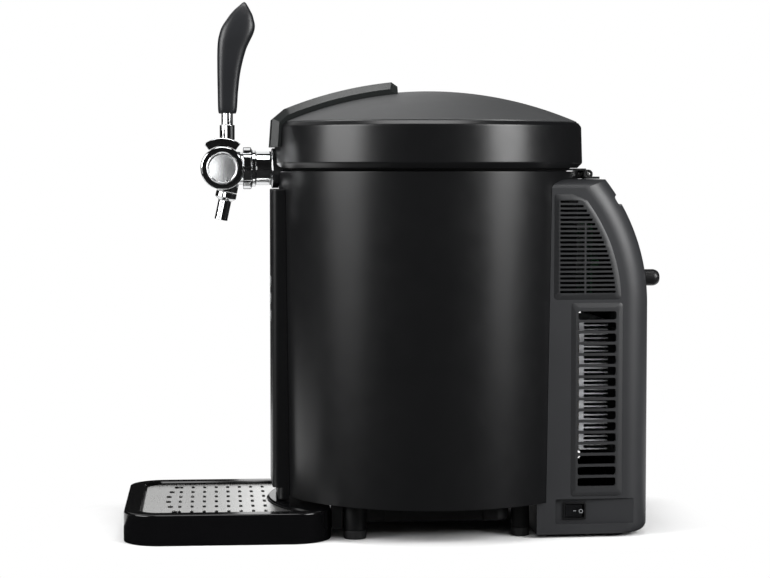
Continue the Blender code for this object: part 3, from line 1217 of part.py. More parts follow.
def build_inlet(holder, housing, plastic):
    """The mains inlet low in the housing's back: a flanged box with three blades in its socket."""
    y, z = INLET_CENTRE_Y, INLET_CENTRE_Z
    mouth_x = HOUSING_REAR_X + SEAT_GAP + INLET_FLANGE_THICKNESS
    body_corners = [INLET_CORNER_RADIUS] * 4

    def outline(grow):
        return rounded_rectangle(
            y - INLET_HALF_WIDTH - grow, y + INLET_HALF_WIDTH + grow,
            z - INLET_HALF_HEIGHT - grow, z + INLET_HALF_HEIGHT + grow, body_corners, CORNER_STEPS,
        )

    cut(housing, prism(outline(SEAT_GAP), HOUSING_REAR_X - 2 * HOUSING_WALL, HOUSING_REAR_X + CUT_OVERRUN, "X"))
    inlet = piece("power_inlet", prism(outline(INLET_FLANGE), HOUSING_REAR_X + SEAT_GAP, mouth_x, "X"), plastic, holder)
    join(inlet, prism(outline(0.0), mouth_x - INLET_DEPTH, mouth_x - INLET_FLANGE_THICKNESS / 2, "X"))
    cavity_floor_x = mouth_x - INLET_DEPTH + INLET_WALL
    cut(inlet, prism(outline(-INLET_WALL), cavity_floor_x, mouth_x + CUT_OVERRUN, "X"))
    for across_share, up_share in INLET_PIN_SHARES:
        pin_y = y + INLET_HALF_WIDTH * across_share
        pin_z = z + INLET_HALF_HEIGHT * up_share
        join(inlet, block(
            (cavity_floor_x - INLET_WALL / 2, pin_y - INLET_PIN_WIDTH / 2, pin_z - INLET_PIN_HEIGHT / 2),
            (mouth_x - INLET_PIN_SETBACK, pin_y + INLET_PIN_WIDTH / 2, pin_z + INLET_PIN_HEIGHT / 2),
        ))


def build_cooler(holder, metal, ceramic, plastic, fan_holder):
    """Cold block, cooling module, finned heat sink and fan, stacked from the liner to the rear grille."""
    module_half = MODULE_SIDE / 2
    module_rear_x = HEAT_SINK_BASE_X - SEAT_GAP
    module_front_x = module_rear_x - MODULE_THICKNESS
    cold = piece("cold_block", block(
        (LINER_INNER_RADIUS - MODULE_SIDE / 2, -module_half, COOLER_Z - module_half),
        (module_front_x - SEAT_GAP, module_half, COOLER_Z + module_half),
    ), metal, holder)
    cut(cold, rod(LINER_OUTER_RADIUS + SEAT_GAP, LINER_FLOOR_Z, TOP_RING_BOTTOM_Z, DRUM_FACETS))
    piece("tec_module", block(
        (module_front_x, -module_half, COOLER_Z - module_half),
        (module_rear_x, module_half, COOLER_Z + module_half),
    ), ceramic, holder)

    base_rear_x = HEAT_SINK_BASE_X + HEAT_SINK_BASE_THICKNESS
    bottom_z = COOLER_Z - HEAT_SINK_HEIGHT / 2
    top_z = COOLER_Z + HEAT_SINK_HEIGHT / 2
    pitch = (HEAT_SINK_HEIGHT - FIN_THICKNESS) / (FIN_COUNT - 1)
    comb = [(HEAT_SINK_BASE_X, top_z), (HEAT_SINK_BASE_X, bottom_z)]
    for index in range(FIN_COUNT):
        fin_z = bottom_z + index * pitch
        comb += [(FIN_END_X, fin_z), (FIN_END_X, fin_z + FIN_THICKNESS)]
        if index < FIN_COUNT - 1:
            comb += [(base_rear_x, fin_z + FIN_THICKNESS), (base_rear_x, fin_z + pitch)]
    piece("heat_sink", prism(comb, -HEAT_SINK_HALF_WIDTH, HEAT_SINK_HALF_WIDTH, "Y"), metal, holder)

    half = FAN_SIDE / 2
    fan_rear_x = FAN_FRONT_X + FAN_DEPTH
    frame = piece("fan_frame", prism(
        rounded_rectangle(-half, half, COOLER_Z - half, COOLER_Z + half, [FAN_CORNER_RADIUS] * 4, CORNER_STEPS),
        FAN_FRONT_X, fan_rear_x, "X",
    ), plastic, holder)
    bores = [rod(FAN_DUCT_RADIUS, FAN_FRONT_X - CUT_OVERRUN, fan_rear_x + CUT_OVERRUN, ROUND_FACETS,
                 (0, 0, COOLER_Z), "X")]
    for y_sign in (-1, 1):
        for z_sign in (-1, 1):
            place = (0, y_sign * FAN_SCREW_SPACING / 2, COOLER_Z + z_sign * FAN_SCREW_SPACING / 2)
            bores.append(rod(FAN_SCREW_RADIUS, FAN_FRONT_X - CUT_OVERRUN, fan_rear_x + CUT_OVERRUN, PIN_FACETS,
                             place, "X"))
    cut(frame, merged(bores))
    motor_x = fan_rear_x - FAN_MOTOR_THICKNESS
    reach = FAN_DUCT_RADIUS + FAN_STRUT_WIDTH / 4
    join(frame, block(
        (motor_x, -reach, COOLER_Z - FAN_STRUT_WIDTH / 2), (fan_rear_x - SEAT_GAP, reach, COOLER_Z + FAN_STRUT_WIDTH / 2)
    ))
    join(frame, block(
        (motor_x, -FAN_STRUT_WIDTH / 2, COOLER_Z - reach), (fan_rear_x - SEAT_GAP, FAN_STRUT_WIDTH / 2, COOLER_Z + reach)
    ))
    join(frame, rod(FAN_HUB_RADIUS, motor_x, fan_rear_x - SEAT_GAP, ROUND_FACETS, (0, 0, COOLER_Z), "X"))

    rotor_rear_x = motor_x - RUN_GAP
    rotor_front_x = rotor_rear_x - FAN_ROTOR_LENGTH
    rotor = piece("fan_rotor", turned(
        [
            (0, rotor_front_x),
            (FAN_HUB_RADIUS - RUN_GAP, rotor_front_x),
            (FAN_HUB_RADIUS, rotor_front_x + RUN_GAP),
            (FAN_HUB_RADIUS, rotor_rear_x),
            (0, rotor_rear_x),
        ],
        ROUND_FACETS, (0, 0, COOLER_Z), "X",
    ), plastic, fan_holder)
    for index in range(FAN_BLADE_COUNT):
        turn = Matrix.Rotation(math.tau * index / FAN_BLADE_COUNT, 3, "X")
        blade = bmesh.new()
        root_radius = FAN_HUB_RADIUS - 2 * RUN_GAP
        for radius in (root_radius, FAN_BLADE_RADIUS):
            for end, lean in ((rotor_front_x + 2 * RUN_GAP, -1), (rotor_rear_x - 2 * RUN_GAP, 1)):
                angle = math.radians(FAN_BLADE_SWEEP / 2) * lean * FAN_HUB_RADIUS / radius
                for offset in (-FAN_BLADE_THICKNESS / 2, FAN_BLADE_THICKNESS / 2):
                    centre = Vector((end, radius * math.sin(angle) + offset, radius * math.cos(angle)))
                    blade.verts.new(turn @ centre + Vector((0, 0, COOLER_Z)))
        bmesh.ops.convex_hull(blade, input=blade.verts)
        join(rotor, blade)


def build_power_board(holder, material):
    """The supply board above the heat sink, on four standoffs from the drum, with its larger components."""
    face_x = POWER_BOARD_X + POWER_BOARD_THICKNESS
    board = piece("power_board", block(
        (POWER_BOARD_X, -POWER_BOARD_HALF_WIDTH, POWER_BOARD_BOTTOM_Z),
        (face_x, POWER_BOARD_HALF_WIDTH, POWER_BOARD_TOP_Z),
    ), material, holder)
    legs = []
    for y in (-STANDOFF_Y, STANDOFF_Y):
        for z in (POWER_BOARD_BOTTOM_Z + STANDOFF_MARGIN, POWER_BOARD_TOP_Z - STANDOFF_MARGIN):
            legs.append(rod(STANDOFF_RADIUS, LINER_OUTER_RADIUS, POWER_BOARD_X + POWER_BOARD_THICKNESS / 2,
                            PIN_FACETS, (0, y, z), "X"))
    join(board, merged(legs))
    middle_z = (POWER_BOARD_BOTTOM_Z + POWER_BOARD_TOP_Z) / 2
    start_x = POWER_BOARD_X + POWER_BOARD_THICKNESS / 2
    join(board, block(
        (start_x, -TRANSFORMER_SIDE / 2, middle_z - TRANSFORMER_SIDE / 2),
        (face_x + TRANSFORMER_DEPTH, TRANSFORMER_SIDE / 2, middle_z + TRANSFORMER_SIDE / 2),
    ))
    cans = []
    for share in CAPACITOR_SHARES:
        place = (0, POWER_BOARD_HALF_WIDTH * share, middle_z)
        cans.append(rod(CAPACITOR_RADIUS, start_x, face_x + CAPACITOR_LENGTH, PIN_FACETS, place, "X"))
    join(board, merged(cans))
    cut(board, drum_envelope(POWER_BOARD_BOTTOM_Z - CUT_OVERRUN, POWER_BOARD_TOP_Z + CUT_OVERRUN))


def build_bumpers(holder, rubber):
    """Two round rubber bumpers that keep the back off a wall, each seated on the housing's curve."""
    root_x = HOUSING_REAR_X - HOUSING_EDGE_RADIUS
    dome = []
    for step in range(BUMPER_DOME_STEPS):
        angle = math.pi / 2 * step / BUMPER_DOME_STEPS
        dome.append((BUMPER_RADIUS * math.cos(angle), BUMPER_TIP_X - BUMPER_DOME * (1 - math.sin(angle))))
    for side, sign in (("right", -1), ("left", 1)):
        bumper = piece(f"bumper_{side}", turned(
            [(0, root_x), (BUMPER_RADIUS, root_x)] + dome + [(0, BUMPER_TIP_X)],
            SMALL_FACETS, (0, sign * BUMPER_Y, BUMPER_Z), "X",
        ), rubber, holder)
        cut(bumper, housing_solid(-SEAT_GAP))


def lid_profile(inset, dome_steps):
    """Outer profile of the lid drawn in by an inset, from its foot up to the axis."""
    foot_z = LID_BOTTOM_Z
    chamfer = LID_BOTTOM_CHAMFER
    return [
        (LID_BOTTOM_RADIUS - chamfer - inset, foot_z),
        (LID_BOTTOM_RADIUS - inset, foot_z + chamfer),
        (LID_SHOULDER_RADIUS - inset, LID_SHOULDER_Z - inset / 2),
    ] + dome_points(LID_RIM_RADIUS - inset, -inset, dome_steps)


def build_lid(holder, paint, liner_material, foam, rubber, band_material, hinge_material):
    """The lid on its hinge: domed shell, hollow liner, foam, gasket, raised band and hinge arm."""
    outer = lid_profile(0.0, LID_DOME_STEPS)
    inner = lid_profile(LID_WALL, LID_INNER_DOME_STEPS)
    shell = piece("lid_shell", turned(inner[::-1] + outer, DRUM_FACETS), paint, holder)
    arch_radius = COLLAR_RADIUS + RUN_GAP
    cut(shell, rod(arch_radius, -LID_BOTTOM_RADIUS - CUT_OVERRUN, -LINER_OUTER_RADIUS, ROUND_FACETS,
                   (0, 0, TAP_Z), "X"))

    def shank_channel():
        return rod(BACKNUT_RADIUS + 2 * RUN_GAP, -LID_BOTTOM_RADIUS - CUT_OVERRUN, -LINER_INNER_RADIUS + CUT_OVERRUN,
                   ROUND_FACETS, (0, 0, TAP_Z), "X")

    flange_z = LID_BOTTOM_Z + SEAT_GAP
    flange_top_z = flange_z + LID_FLANGE_THICKNESS
    liner_outer = LID_LINER_RADIUS + LID_LINER_WALL
    liner = piece("lid_liner", turned(
        [
            (0, LID_LINER_TOP_Z - LID_LINER_WALL),
            (LID_LINER_RADIUS, LID_LINER_TOP_Z - LID_LINER_WALL),
            (LID_LINER_RADIUS, flange_z),
            (LID_FLANGE_RADIUS, flange_z),
            (LID_FLANGE_RADIUS, flange_top_z),
            (liner_outer, flange_top_z),
            (liner_outer, LID_LINER_TOP_Z),
            (0, LID_LINER_TOP_Z),
        ],
        DRUM_FACETS,
    ), liner_material, holder)
    cut(liner, shank_channel())

    foam_inset = LID_WALL + SEAT_GAP
    foam_foot_z = flange_top_z + SEAT_GAP
    filling = piece("lid_foam", turned(
        [
            (0, LID_LINER_TOP_Z + SEAT_GAP),
            (liner_outer + SEAT_GAP, LID_LINER_TOP_Z + SEAT_GAP),
            (liner_outer + SEAT_GAP, foam_foot_z),
            (LID_FLANGE_RADIUS, foam_foot_z),
        ] + lid_profile(foam_inset, LID_INNER_DOME_STEPS)[1:],
        DRUM_FACETS,
    ), foam, holder)
    cut(filling, shank_channel())

    seal_low = DRUM_TOP_Z + SEAT_GAP
    seal_high = LID_BOTTOM_Z
    gasket = piece("lid_gasket", turned(
        [
            (GASKET_INNER_RADIUS, seal_high),
            (GASKET_INNER_RADIUS + GASKET_LIP, seal_low),
            (GASKET_OUTER_RADIUS - GASKET_LIP, seal_low),
            (GASKET_OUTER_RADIUS, seal_high),
        ],
        DRUM_FACETS,
    ), rubber, holder)
    cut(gasket, shank_channel())

    crown = []
    for step in range(BAND_CROWN_STEPS + 1):
        x = BAND_BROW_X + (BAND_CROWN_REAR_X - BAND_BROW_X) * step / BAND_CROWN_STEPS
        crown.append((x, dome_height(abs(x), BAND_THICKNESS)))
    tail_z = crown[-1][1] - BAND_REAR_DROP
    outline = (
        [(BAND_FACE_BOTTOM_X, BAND_BOTTOM_Z), (BAND_FACE_TOP_X, BAND_FACE_TOP_Z)]
        + crown
        + [(BAND_REAR_X, tail_z), (BAND_REAR_X, LID_LINER_TOP_Z), (-LID_LINER_RADIUS, LID_SHOULDER_Z),
           (-LID_LINER_RADIUS, BAND_BOTTOM_Z)]
    )
    strip = prism(outline, -BAND_HALF_WIDTH, BAND_HALF_WIDTH, "Y")
    shoulders = []
    for edge in strip.edges:
        first, second = (corner.co for corner in edge.verts)
        same_side = first.y * second.y > 0
        on_face = max(first.x, second.x) < BAND_FACE_TOP_X + MERGE_DISTANCE
        on_crown = min(first.z, second.z) > BAND_FACE_TOP_Z - MERGE_DISTANCE and max(first.x, second.x) < BAND_REAR_X
        at_tail = min(first.z, second.z) > tail_z - MERGE_DISTANCE
        if same_side and (on_face or on_crown or at_tail):
            shoulders.append(edge)
    bmesh.ops.bevel(strip, geom=shoulders, offset=BAND_CHAMFER, segments=1, affect="EDGES", clamp_overlap=True)
    band = piece("lid_band", strip, band_material, holder)
    cut(band, turned(
        [(0, BAND_BOTTOM_Z - CUT_OVERRUN), (LID_BOTTOM_RADIUS + SEAT_GAP, BAND_BOTTOM_Z - CUT_OVERRUN)]
        + lid_profile(-SEAT_GAP, LID_DOME_STEPS)[2:],
        DRUM_FACETS,
    ))

    arm = piece("lid_hinge_arm", rod(
        HINGE_KNUCKLE_RADIUS, -HINGE_ARM_HALF_WIDTH, HINGE_ARM_HALF_WIDTH, SMALL_FACETS, (HINGE_X, 0, HINGE_Z), "Y"
    ), hinge_material, holder)
    join(arm, block(
        (HINGE_ARM_FRONT_X, -HINGE_ARM_HALF_WIDTH, DRUM_TOP_Z + RUN_GAP),
        (HINGE_X, HINGE_ARM_HALF_WIDTH, LID_BOTTOM_Z - SEAT_GAP),
    ))
    cut(arm, rod(HINGE_PIN_RADIUS + SEAT_GAP, -HINGE_ARM_HALF_WIDTH - CUT_OVERRUN, HINGE_ARM_HALF_WIDTH + CUT_OVERRUN,
                 PIN_FACETS, (HINGE_X, 0, HINGE_Z), "Y"))


def build_hinge(holder, material, pin_material):
    """The bracket on the housing's top, with two knuckles, and the pin through it."""
    plate_z = HOUSING_TOP_Z + SEAT_GAP
    plate_top_z = plate_z + HINGE_PLATE_THICKNESS
    inner_y = HINGE_ARM_HALF_WIDTH + SEAT_GAP
    back_bar_x = HINGE_X + HINGE_KNUCKLE_RADIUS + RUN_GAP
    bracket = piece("hinge_bracket", block(
        (back_bar_x, -HINGE_EAR_HALF_WIDTH, plate_z), (HINGE_PLATE_REAR_X, HINGE_EAR_HALF_WIDTH, plate_top_z)
    ), material, holder)
    for sign in (-1, 1):
        near, far = sorted((sign * inner_y, sign * HINGE_EAR_HALF_WIDTH))
        join(bracket, block((HINGE_X - HINGE_KNUCKLE_RADIUS, near, plate_z), (HINGE_PLATE_REAR_X, far, plate_top_z)))
        low_y, high_y = sorted((sign * inner_y, sign * (inner_y + HINGE_KNUCKLE_LENGTH)))
        join(bracket, rod(HINGE_KNUCKLE_RADIUS, low_y, high_y, SMALL_FACETS, (HINGE_X, 0, HINGE_Z), "Y"))
    pin_reach = inner_y + HINGE_KNUCKLE_LENGTH
    cut(bracket, rod(HINGE_PIN_RADIUS + SEAT_GAP, -pin_reach - CUT_OVERRUN, pin_reach + CUT_OVERRUN, PIN_FACETS,
                     (HINGE_X, 0, HINGE_Z), "Y"))
    piece("hinge_pin", rod(HINGE_PIN_RADIUS, -pin_reach, pin_reach, PIN_FACETS, (HINGE_X, 0, HINGE_Z), "Y"),
          pin_material, holder)


def on_spout_axis(shape):
    """Set a shape that was turned about Z on the spout's axis, with its zero height at the spout's seat."""
    seat_drop = BARREL_RADIUS + SPOUT_SEAT_DROP
    bmesh.ops.translate(shape, verts=shape.verts, vec=(SPOUT_SETBACK, 0, -seat_drop))
    bmesh.ops.rotate(shape, verts=shape.verts, matrix=Matrix.Rotation(math.radians(SPOUT_TILT), 3, "Y"))
    bmesh.ops.translate(shape, verts=shape.verts, vec=(TAP_X, 0, TAP_Z))
    return shape


def build_tap(holder, chrome, steel):
    """Shank through the drum's rim, coupling nut, valve body with its two caps, and spout."""
    axis = (0, 0, TAP_Z)
    shank = piece("tap_shank", turned(
        [
            (SHANK_BORE_RADIUS, NUT_FRONT_X - SEAT_GAP + RUN_GAP),
            (SHANK_NOSE_RADIUS, NUT_FRONT_X - SEAT_GAP + RUN_GAP),
            (SHANK_NOSE_RADIUS, NUT_REAR_X + SEAT_GAP),
            (SHANK_RADIUS, NUT_REAR_X + SEAT_GAP),
            (SHANK_RADIUS, SHANK_SHOULDER_X - SEAT_GAP),
            (SHANK_TAIL_RADIUS, SHANK_SHOULDER_X - SEAT_GAP),
            (SHANK_TAIL_RADIUS, SHANK_TAIL_X),
            (SHANK_BORE_RADIUS, SHANK_TAIL_X),
        ],
        ROUND_FACETS, axis, "X",
    ), chrome, holder)

    nut = piece("coupling_nut", turned(
        [
            (SHANK_NOSE_RADIUS + SEAT_GAP, NUT_FRONT_X),
            (NUT_RADIUS - CAP_CHAMFER, NUT_FRONT_X),
            (NUT_RADIUS, NUT_FRONT_X + CAP_CHAMFER),
            (NUT_RADIUS, NUT_CHAMFER_X - CAP_CHAMFER),
            (NUT_TAIL_RADIUS, NUT_CHAMFER_X),
            (NUT_TAIL_RADIUS, NUT_REAR_X),
            (SHANK_NOSE_RADIUS + SEAT_GAP, NUT_REAR_X),
        ],
        ROUND_FACETS, axis, "X",
    ), chrome, holder)
    flutes = []
    for index in range(NUT_FLUTES):
        angle = math.tau * (index + 0.5) / NUT_FLUTES
        place = (0, NUT_RADIUS * math.cos(angle), TAP_Z + NUT_RADIUS * math.sin(angle))
        flutes.append(rod(NUT_FLUTE_RADIUS, NUT_FRONT_X - CUT_OVERRUN, NUT_CHAMFER_X, PIN_FACETS // 2 + 1, place, "X"))
    cut(nut, merged(flutes))

    collar = piece("shank_collar", turned(
        [
            (SHANK_RADIUS + SEAT_GAP, COLLAR_FRONT_X),
            (COLLAR_RADIUS - COLLAR_CHAMFER, COLLAR_FRONT_X),
            (COLLAR_RADIUS, COLLAR_FRONT_X + COLLAR_CHAMFER),
            (COLLAR_RADIUS, -LINER_OUTER_RADIUS),
            (SHANK_RADIUS + SEAT_GAP, -LINER_OUTER_RADIUS),
        ],
        ROUND_FACETS, axis, "X",
    ), chrome, holder)
    cut(collar, rod(DRUM_TOP_RADIUS + SEAT_GAP, TAP_Z - 2 * COLLAR_RADIUS, TAP_Z + 2 * COLLAR_RADIUS, DRUM_FACETS))

    backnut = piece("shank_backnut", prism(
        arc((0, TAP_Z), BACKNUT_RADIUS, 0, 360, 6)[:-1], SHANK_SHOULDER_X, SHANK_SHOULDER_X + BACKNUT_LENGTH, "X"
    ), steel, holder)
    cut(backnut, rod(SHANK_TAIL_RADIUS + SEAT_GAP, SHANK_SHOULDER_X - CUT_OVERRUN, SHANK_TAIL_X, ROUND_FACETS,
                     axis, "X"))
    barb_x = SHANK_TAIL_X + SEAT_GAP
    piece("hose_barb", turned(
        [
            (BARB_BORE_RADIUS, barb_x),
            (BARB_FLANGE_RADIUS, barb_x),
            (BARB_FLANGE_RADIUS, barb_x + BARB_BORE_RADIUS / 2),
            (BARB_RADIUS - 2 * RUN_GAP, barb_x + BARB_BORE_RADIUS / 2),
            (BARB_RADIUS, (barb_x + BARB_END_X) / 2),
            (BARB_RADIUS - 2 * RUN_GAP, (barb_x + BARB_END_X) / 2),
            (BARB_RADIUS - RUN_GAP, BARB_END_X - RUN_GAP),
            (BARB_RADIUS - 2 * RUN_GAP, BARB_END_X),
            (BARB_BORE_RADIUS, BARB_END_X),
        ],
        SMALL_FACETS, axis, "X",
    ), steel, holder)

    centre = (TAP_X, 0, TAP_Z)
    body = piece("faucet_body", turned(
        [
            (0, -BARREL_HALF_WIDTH),
            (BARREL_RADIUS - BARREL_CHAMFER, -BARREL_HALF_WIDTH),
            (BARREL_RADIUS, BARREL_CHAMFER - BARREL_HALF_WIDTH),
            (BARREL_RADIUS, BARREL_HALF_WIDTH - BARREL_CHAMFER),
            (BARREL_RADIUS - BARREL_CHAMFER, BARREL_HALF_WIDTH),
            (0, BARREL_HALF_WIDTH),
        ],
        ROUND_FACETS, centre, "Y",
    ), chrome, holder)
    neck_end_x = NUT_FRONT_X - SEAT_GAP
    join(body, rod(BODY_NECK_RADIUS, TAP_X, neck_end_x + CUT_OVERRUN, ROUND_FACETS, axis, "X"))
    join(body, on_spout_axis(rod(SPOUT_COLLAR_RADIUS, 0, BARREL_RADIUS / 2, SMALL_FACETS)))
    cut(body, block(
        (neck_end_x, -2 * BARREL_RADIUS, TAP_Z - 2 * BARREL_RADIUS),
        (neck_end_x + 2 * BARREL_RADIUS, 2 * BARREL_RADIUS, TAP_Z + 2 * BARREL_RADIUS),
    ))
    cut(body, rod(PLUG_BORE_RADIUS, -BARREL_HALF_WIDTH - CUT_OVERRUN, BARREL_HALF_WIDTH + CUT_OVERRUN, SMALL_FACETS,
                  centre, "Y"))
    cut(body, rod(SHANK_BORE_RADIUS, TAP_X, neck_end_x + CUT_OVERRUN, SMALL_FACETS, axis, "X"))
    cut(body, on_spout_axis(rod(SPOUT_BORE_RADIUS, -CUT_OVERRUN, BARREL_RADIUS / 2, SMALL_FACETS)))
    slot_half = NECK_RADIUS + NECK_SLOT_MARGIN
    slot_reach = BARREL_RADIUS + CUT_OVERRUN
    spread = math.degrees(math.asin(slot_half / slot_reach))
    cut(body, prism(
        [(TAP_X + slot_half, TAP_Z)]
        + arc((TAP_X, TAP_Z), slot_reach, 90 - spread, 90 + LEVER_TRAVEL + spread, LEVER_SLOT_STEPS + 2)
        + arc((TAP_X, TAP_Z), slot_half, 180 + LEVER_TRAVEL, 270, 1)[:1],
        -slot_half, slot_half, "Y",
    ))

    for side, sign in (("right", -1), ("left", 1)):
        face = sign * (BARREL_HALF_WIDTH + SEAT_GAP)
        piece(f"faucet_cap_{side}", turned(
            [
                (0, sign * (BARREL_HALF_WIDTH - CAP_SPIGOT_LENGTH)),
                (PLUG_BORE_RADIUS - SEAT_GAP, sign * (BARREL_HALF_WIDTH - CAP_SPIGOT_LENGTH)),
                (PLUG_BORE_RADIUS - SEAT_GAP, face),
                (CAP_RADIUS, face),
                (CAP_RADIUS, face + sign * (CAP_THICKNESS - CAP_CHAMFER)),
                (CAP_RADIUS - CAP_CHAMFER, face + sign * CAP_THICKNESS),
                (0, face + sign * (CAP_THICKNESS + CAP_CHAMFER / 4)),
            ],
            ROUND_FACETS, centre, "Y",
        ), chrome, holder)

    seat = -SEAT_GAP
    piece("spout", on_spout_axis(turned(
        [
            (SPOUT_BORE_RADIUS, seat),
            (SPOUT_COLLAR_RADIUS, seat),
            (SPOUT_COLLAR_RADIUS, seat - SPOUT_COLLAR_LENGTH + SPOUT_CHAMFER),
            (SPOUT_COLLAR_RADIUS - 2 * SPOUT_CHAMFER, seat - SPOUT_COLLAR_LENGTH),
            (SPOUT_RADIUS, seat - SPOUT_COLLAR_LENGTH - SPOUT_CHAMFER),
            (SPOUT_RADIUS, seat - SPOUT_LENGTH),
            (SPOUT_BORE_RADIUS, seat - SPOUT_LENGTH),
        ],
        SMALL_FACETS,
    )), chrome, holder)


def build_lever(holder, chrome, grip):
    """The lever: valve plug inside the body, saddle over it, stem and handle. It turns about the body's axis."""
    centre = (TAP_X, 0, TAP_Z)
    plug = piece("valve_plug", rod(PLUG_RADIUS, -PLUG_HALF_LENGTH, PLUG_HALF_LENGTH, SMALL_FACETS, centre, "Y"),
                 chrome, holder)
    cut(plug, block(
        (TAP_X - PLUG_CUT_HALF_WIDTH, -PLUG_CUT_HALF_WIDTH, TAP_Z - 2 * PLUG_RADIUS),
        (TAP_X + PLUG_CUT_HALF_WIDTH, PLUG_CUT_HALF_WIDTH, TAP_Z),
    ))

    top = 90
    inner = arc((TAP_X, TAP_Z), SADDLE_INNER_RADIUS, top - SADDLE_HALF_ANGLE, top + SADDLE_HALF_ANGLE, SADDLE_ARC_STEPS)
    corner_angle = math.degrees(SADDLE_CORNER_INSET / SADDLE_OUTER_RADIUS)
    outer = arc((TAP_X, TAP_Z), SADDLE_OUTER_RADIUS, top + SADDLE_HALF_ANGLE - corner_angle,
                top - SADDLE_HALF_ANGLE + corner_angle, SADDLE_ARC_STEPS)
    shoulder_radius = SADDLE_OUTER_RADIUS - SADDLE_CORNER_INSET
    left_shoulder = arc((TAP_X, TAP_Z), shoulder_radius, top + SADDLE_HALF_ANGLE, top, 1)[:1]
    right_shoulder = arc((TAP_X, TAP_Z), shoulder_radius, top - SADDLE_HALF_ANGLE, top, 1)[:1]
    saddle = piece("lever_saddle", prism(
        inner + left_shoulder + outer + right_shoulder, -SADDLE_HALF_WIDTH, SADDLE_HALF_WIDTH, "Y"
    ), chrome, holder)
    join(saddle, rod(NECK_RADIUS, PLUG_RADIUS + SEAT_GAP, (SADDLE_INNER_RADIUS + SADDLE_OUTER_RADIUS) / 2,
                     PIN_FACETS, centre))

    seat_z = TAP_Z + SADDLE_OUTER_RADIUS + SEAT_GAP
    piece("lever_stem", turned(
        [
            (0, seat_z),
            (FERRULE_RADIUS, seat_z),
            (FERRULE_RADIUS, FERRULE_TOP_Z - FERRULE_CHAMFER),
            (FERRULE_RADIUS - FERRULE_CHAMFER, FERRULE_TOP_Z),
            (ROD_RADIUS, FERRULE_TOP_Z),
            (ROD_RADIUS, HANDLE_BOTTOM_Z + ROD_INSERT),
            (0, HANDLE_BOTTOM_Z + ROD_INSERT),
        ],
        SMALL_FACETS, (STEM_X, 0, 0),
    ), chrome, holder)

    handle = bmesh.new()
    rings = []
    for height_share, front_share, rear_share, thickness_share in HANDLE_OUTLINE_SHARES:
        front_x = HANDLE_FRONT_X + HANDLE_REACH * front_share
        rear_x = HANDLE_FRONT_X + HANDLE_REACH * rear_share
        middle_x, half_reach = (front_x + rear_x) / 2, (rear_x - front_x) / 2
        half_thickness = HANDLE_THICKNESS * thickness_share / 2
        height = HANDLE_BOTTOM_Z + HANDLE_LENGTH * height_share
        ring = []
        for index in range(HANDLE_RING_POINTS):
            angle = math.tau * (index + 0.5) / HANDLE_RING_POINTS
            across, along = math.sin(angle), math.cos(angle)
            ring.append(handle.verts.new((
                middle_x + half_reach * math.copysign(abs(along) ** HANDLE_SECTION_POWER, along),
                half_thickness * math.copysign(abs(across) ** HANDLE_SECTION_POWER, across),
                height,
            )))
        rings.append(ring)
    skin_over(handle, rings)
    bmesh.ops.connect_verts_nonplanar(handle, angle_limit=math.radians(FLAT_ANGLE), faces=handle.faces)
    paddle = piece("tap_handle", handle, grip, holder)
    cut(paddle, rod(ROD_RADIUS + SEAT_GAP, HANDLE_BOTTOM_Z - CUT_OVERRUN, HANDLE_BOTTOM_Z + HANDLE_SOCKET_DEPTH,
                    SMALL_FACETS, (STEM_X, 0, 0)))


def basin_outline(inset):
    """Plan of the tray's basin: round front corners, and a rear edge that follows the drum's front."""
    front_x = TRAY_FRONT_X + TRAY_RIM + inset
    half = TRAY_HALF_WIDTH - TRAY_RIM - inset
    corner = TRAY_FRONT_RADIUS - TRAY_RIM
    rear_radius = BASIN_REAR_RADIUS + inset
    end_angle = 180 - math.degrees(math.asin(half / rear_radius))
    sweep = arc((0, 0), rear_radius, 360 - end_angle, end_angle, 2 * TRAY_CORNER_STEPS)
    return (
        arc((front_x + corner, corner - half), corner, 180, 270, TRAY_CORNER_STEPS)
        + sweep
        + arc((front_x + corner, half - corner), corner, 90, 180, TRAY_CORNER_STEPS)
    )


def build_tray(tray_holder, plate_holder, plastic, steel):
    """The drip tray, a hollow moulding with a deep basin, and the perforated plate that lifts out of it."""
    outline = rounded_rectangle(
        TRAY_FRONT_X, TRAY_REAR_X, -TRAY_HALF_WIDTH, TRAY_HALF_WIDTH,
        [TRAY_FRONT_RADIUS, TRAY_REAR_RADIUS, TRAY_REAR_RADIUS, TRAY_FRONT_RADIUS], TRAY_CORNER_STEPS,
    )
    tray = piece("drip_tray", prism(outline, 0, TRAY_HEIGHT), plastic, tray_holder)
    ledge_z = PLATE_TOP_Z - PLATE_THICKNESS - SEAT_GAP
    cut(tray, prism(basin_outline(0.0), ledge_z, TRAY_HEIGHT + CUT_OVERRUN))
    cut(tray, prism(basin_outline(PLATE_LEDGE), TRAY_FLOOR, ledge_z + CUT_OVERRUN / 4))

    plate = piece(
        "drip_plate", prism(basin_outline(PLATE_CLEARANCE), PLATE_TOP_Z - PLATE_THICKNESS, PLATE_TOP_Z), steel,
        plate_holder,
    )
    holes = []
    for column in range(HOLE_COLUMNS):
        for row in range(HOLE_ROWS):
            y = (row - (HOLE_ROWS - 1) / 2) * HOLE_PITCH_Y
            x = HOLE_FIRST_X + column * HOLE_PITCH_X
            half_width = HOLE_WIDTH / 2
            if column == 0:
                half_width = FIRST_HOLE_WIDTH / 2
                x += FIRST_COLUMN_BOW * (2 * y / ((HOLE_ROWS - 1) * HOLE_PITCH_Y)) ** 2
            holes.append(block(
                (x - half_width, y - HOLE_LENGTH / 2, PLATE_TOP_Z - 2 * PLATE_THICKNESS),
                (x + half_width, y + HOLE_LENGTH / 2, PLATE_TOP_Z + PLATE_THICKNESS),
            ))
    cut(plate, merged(holes))


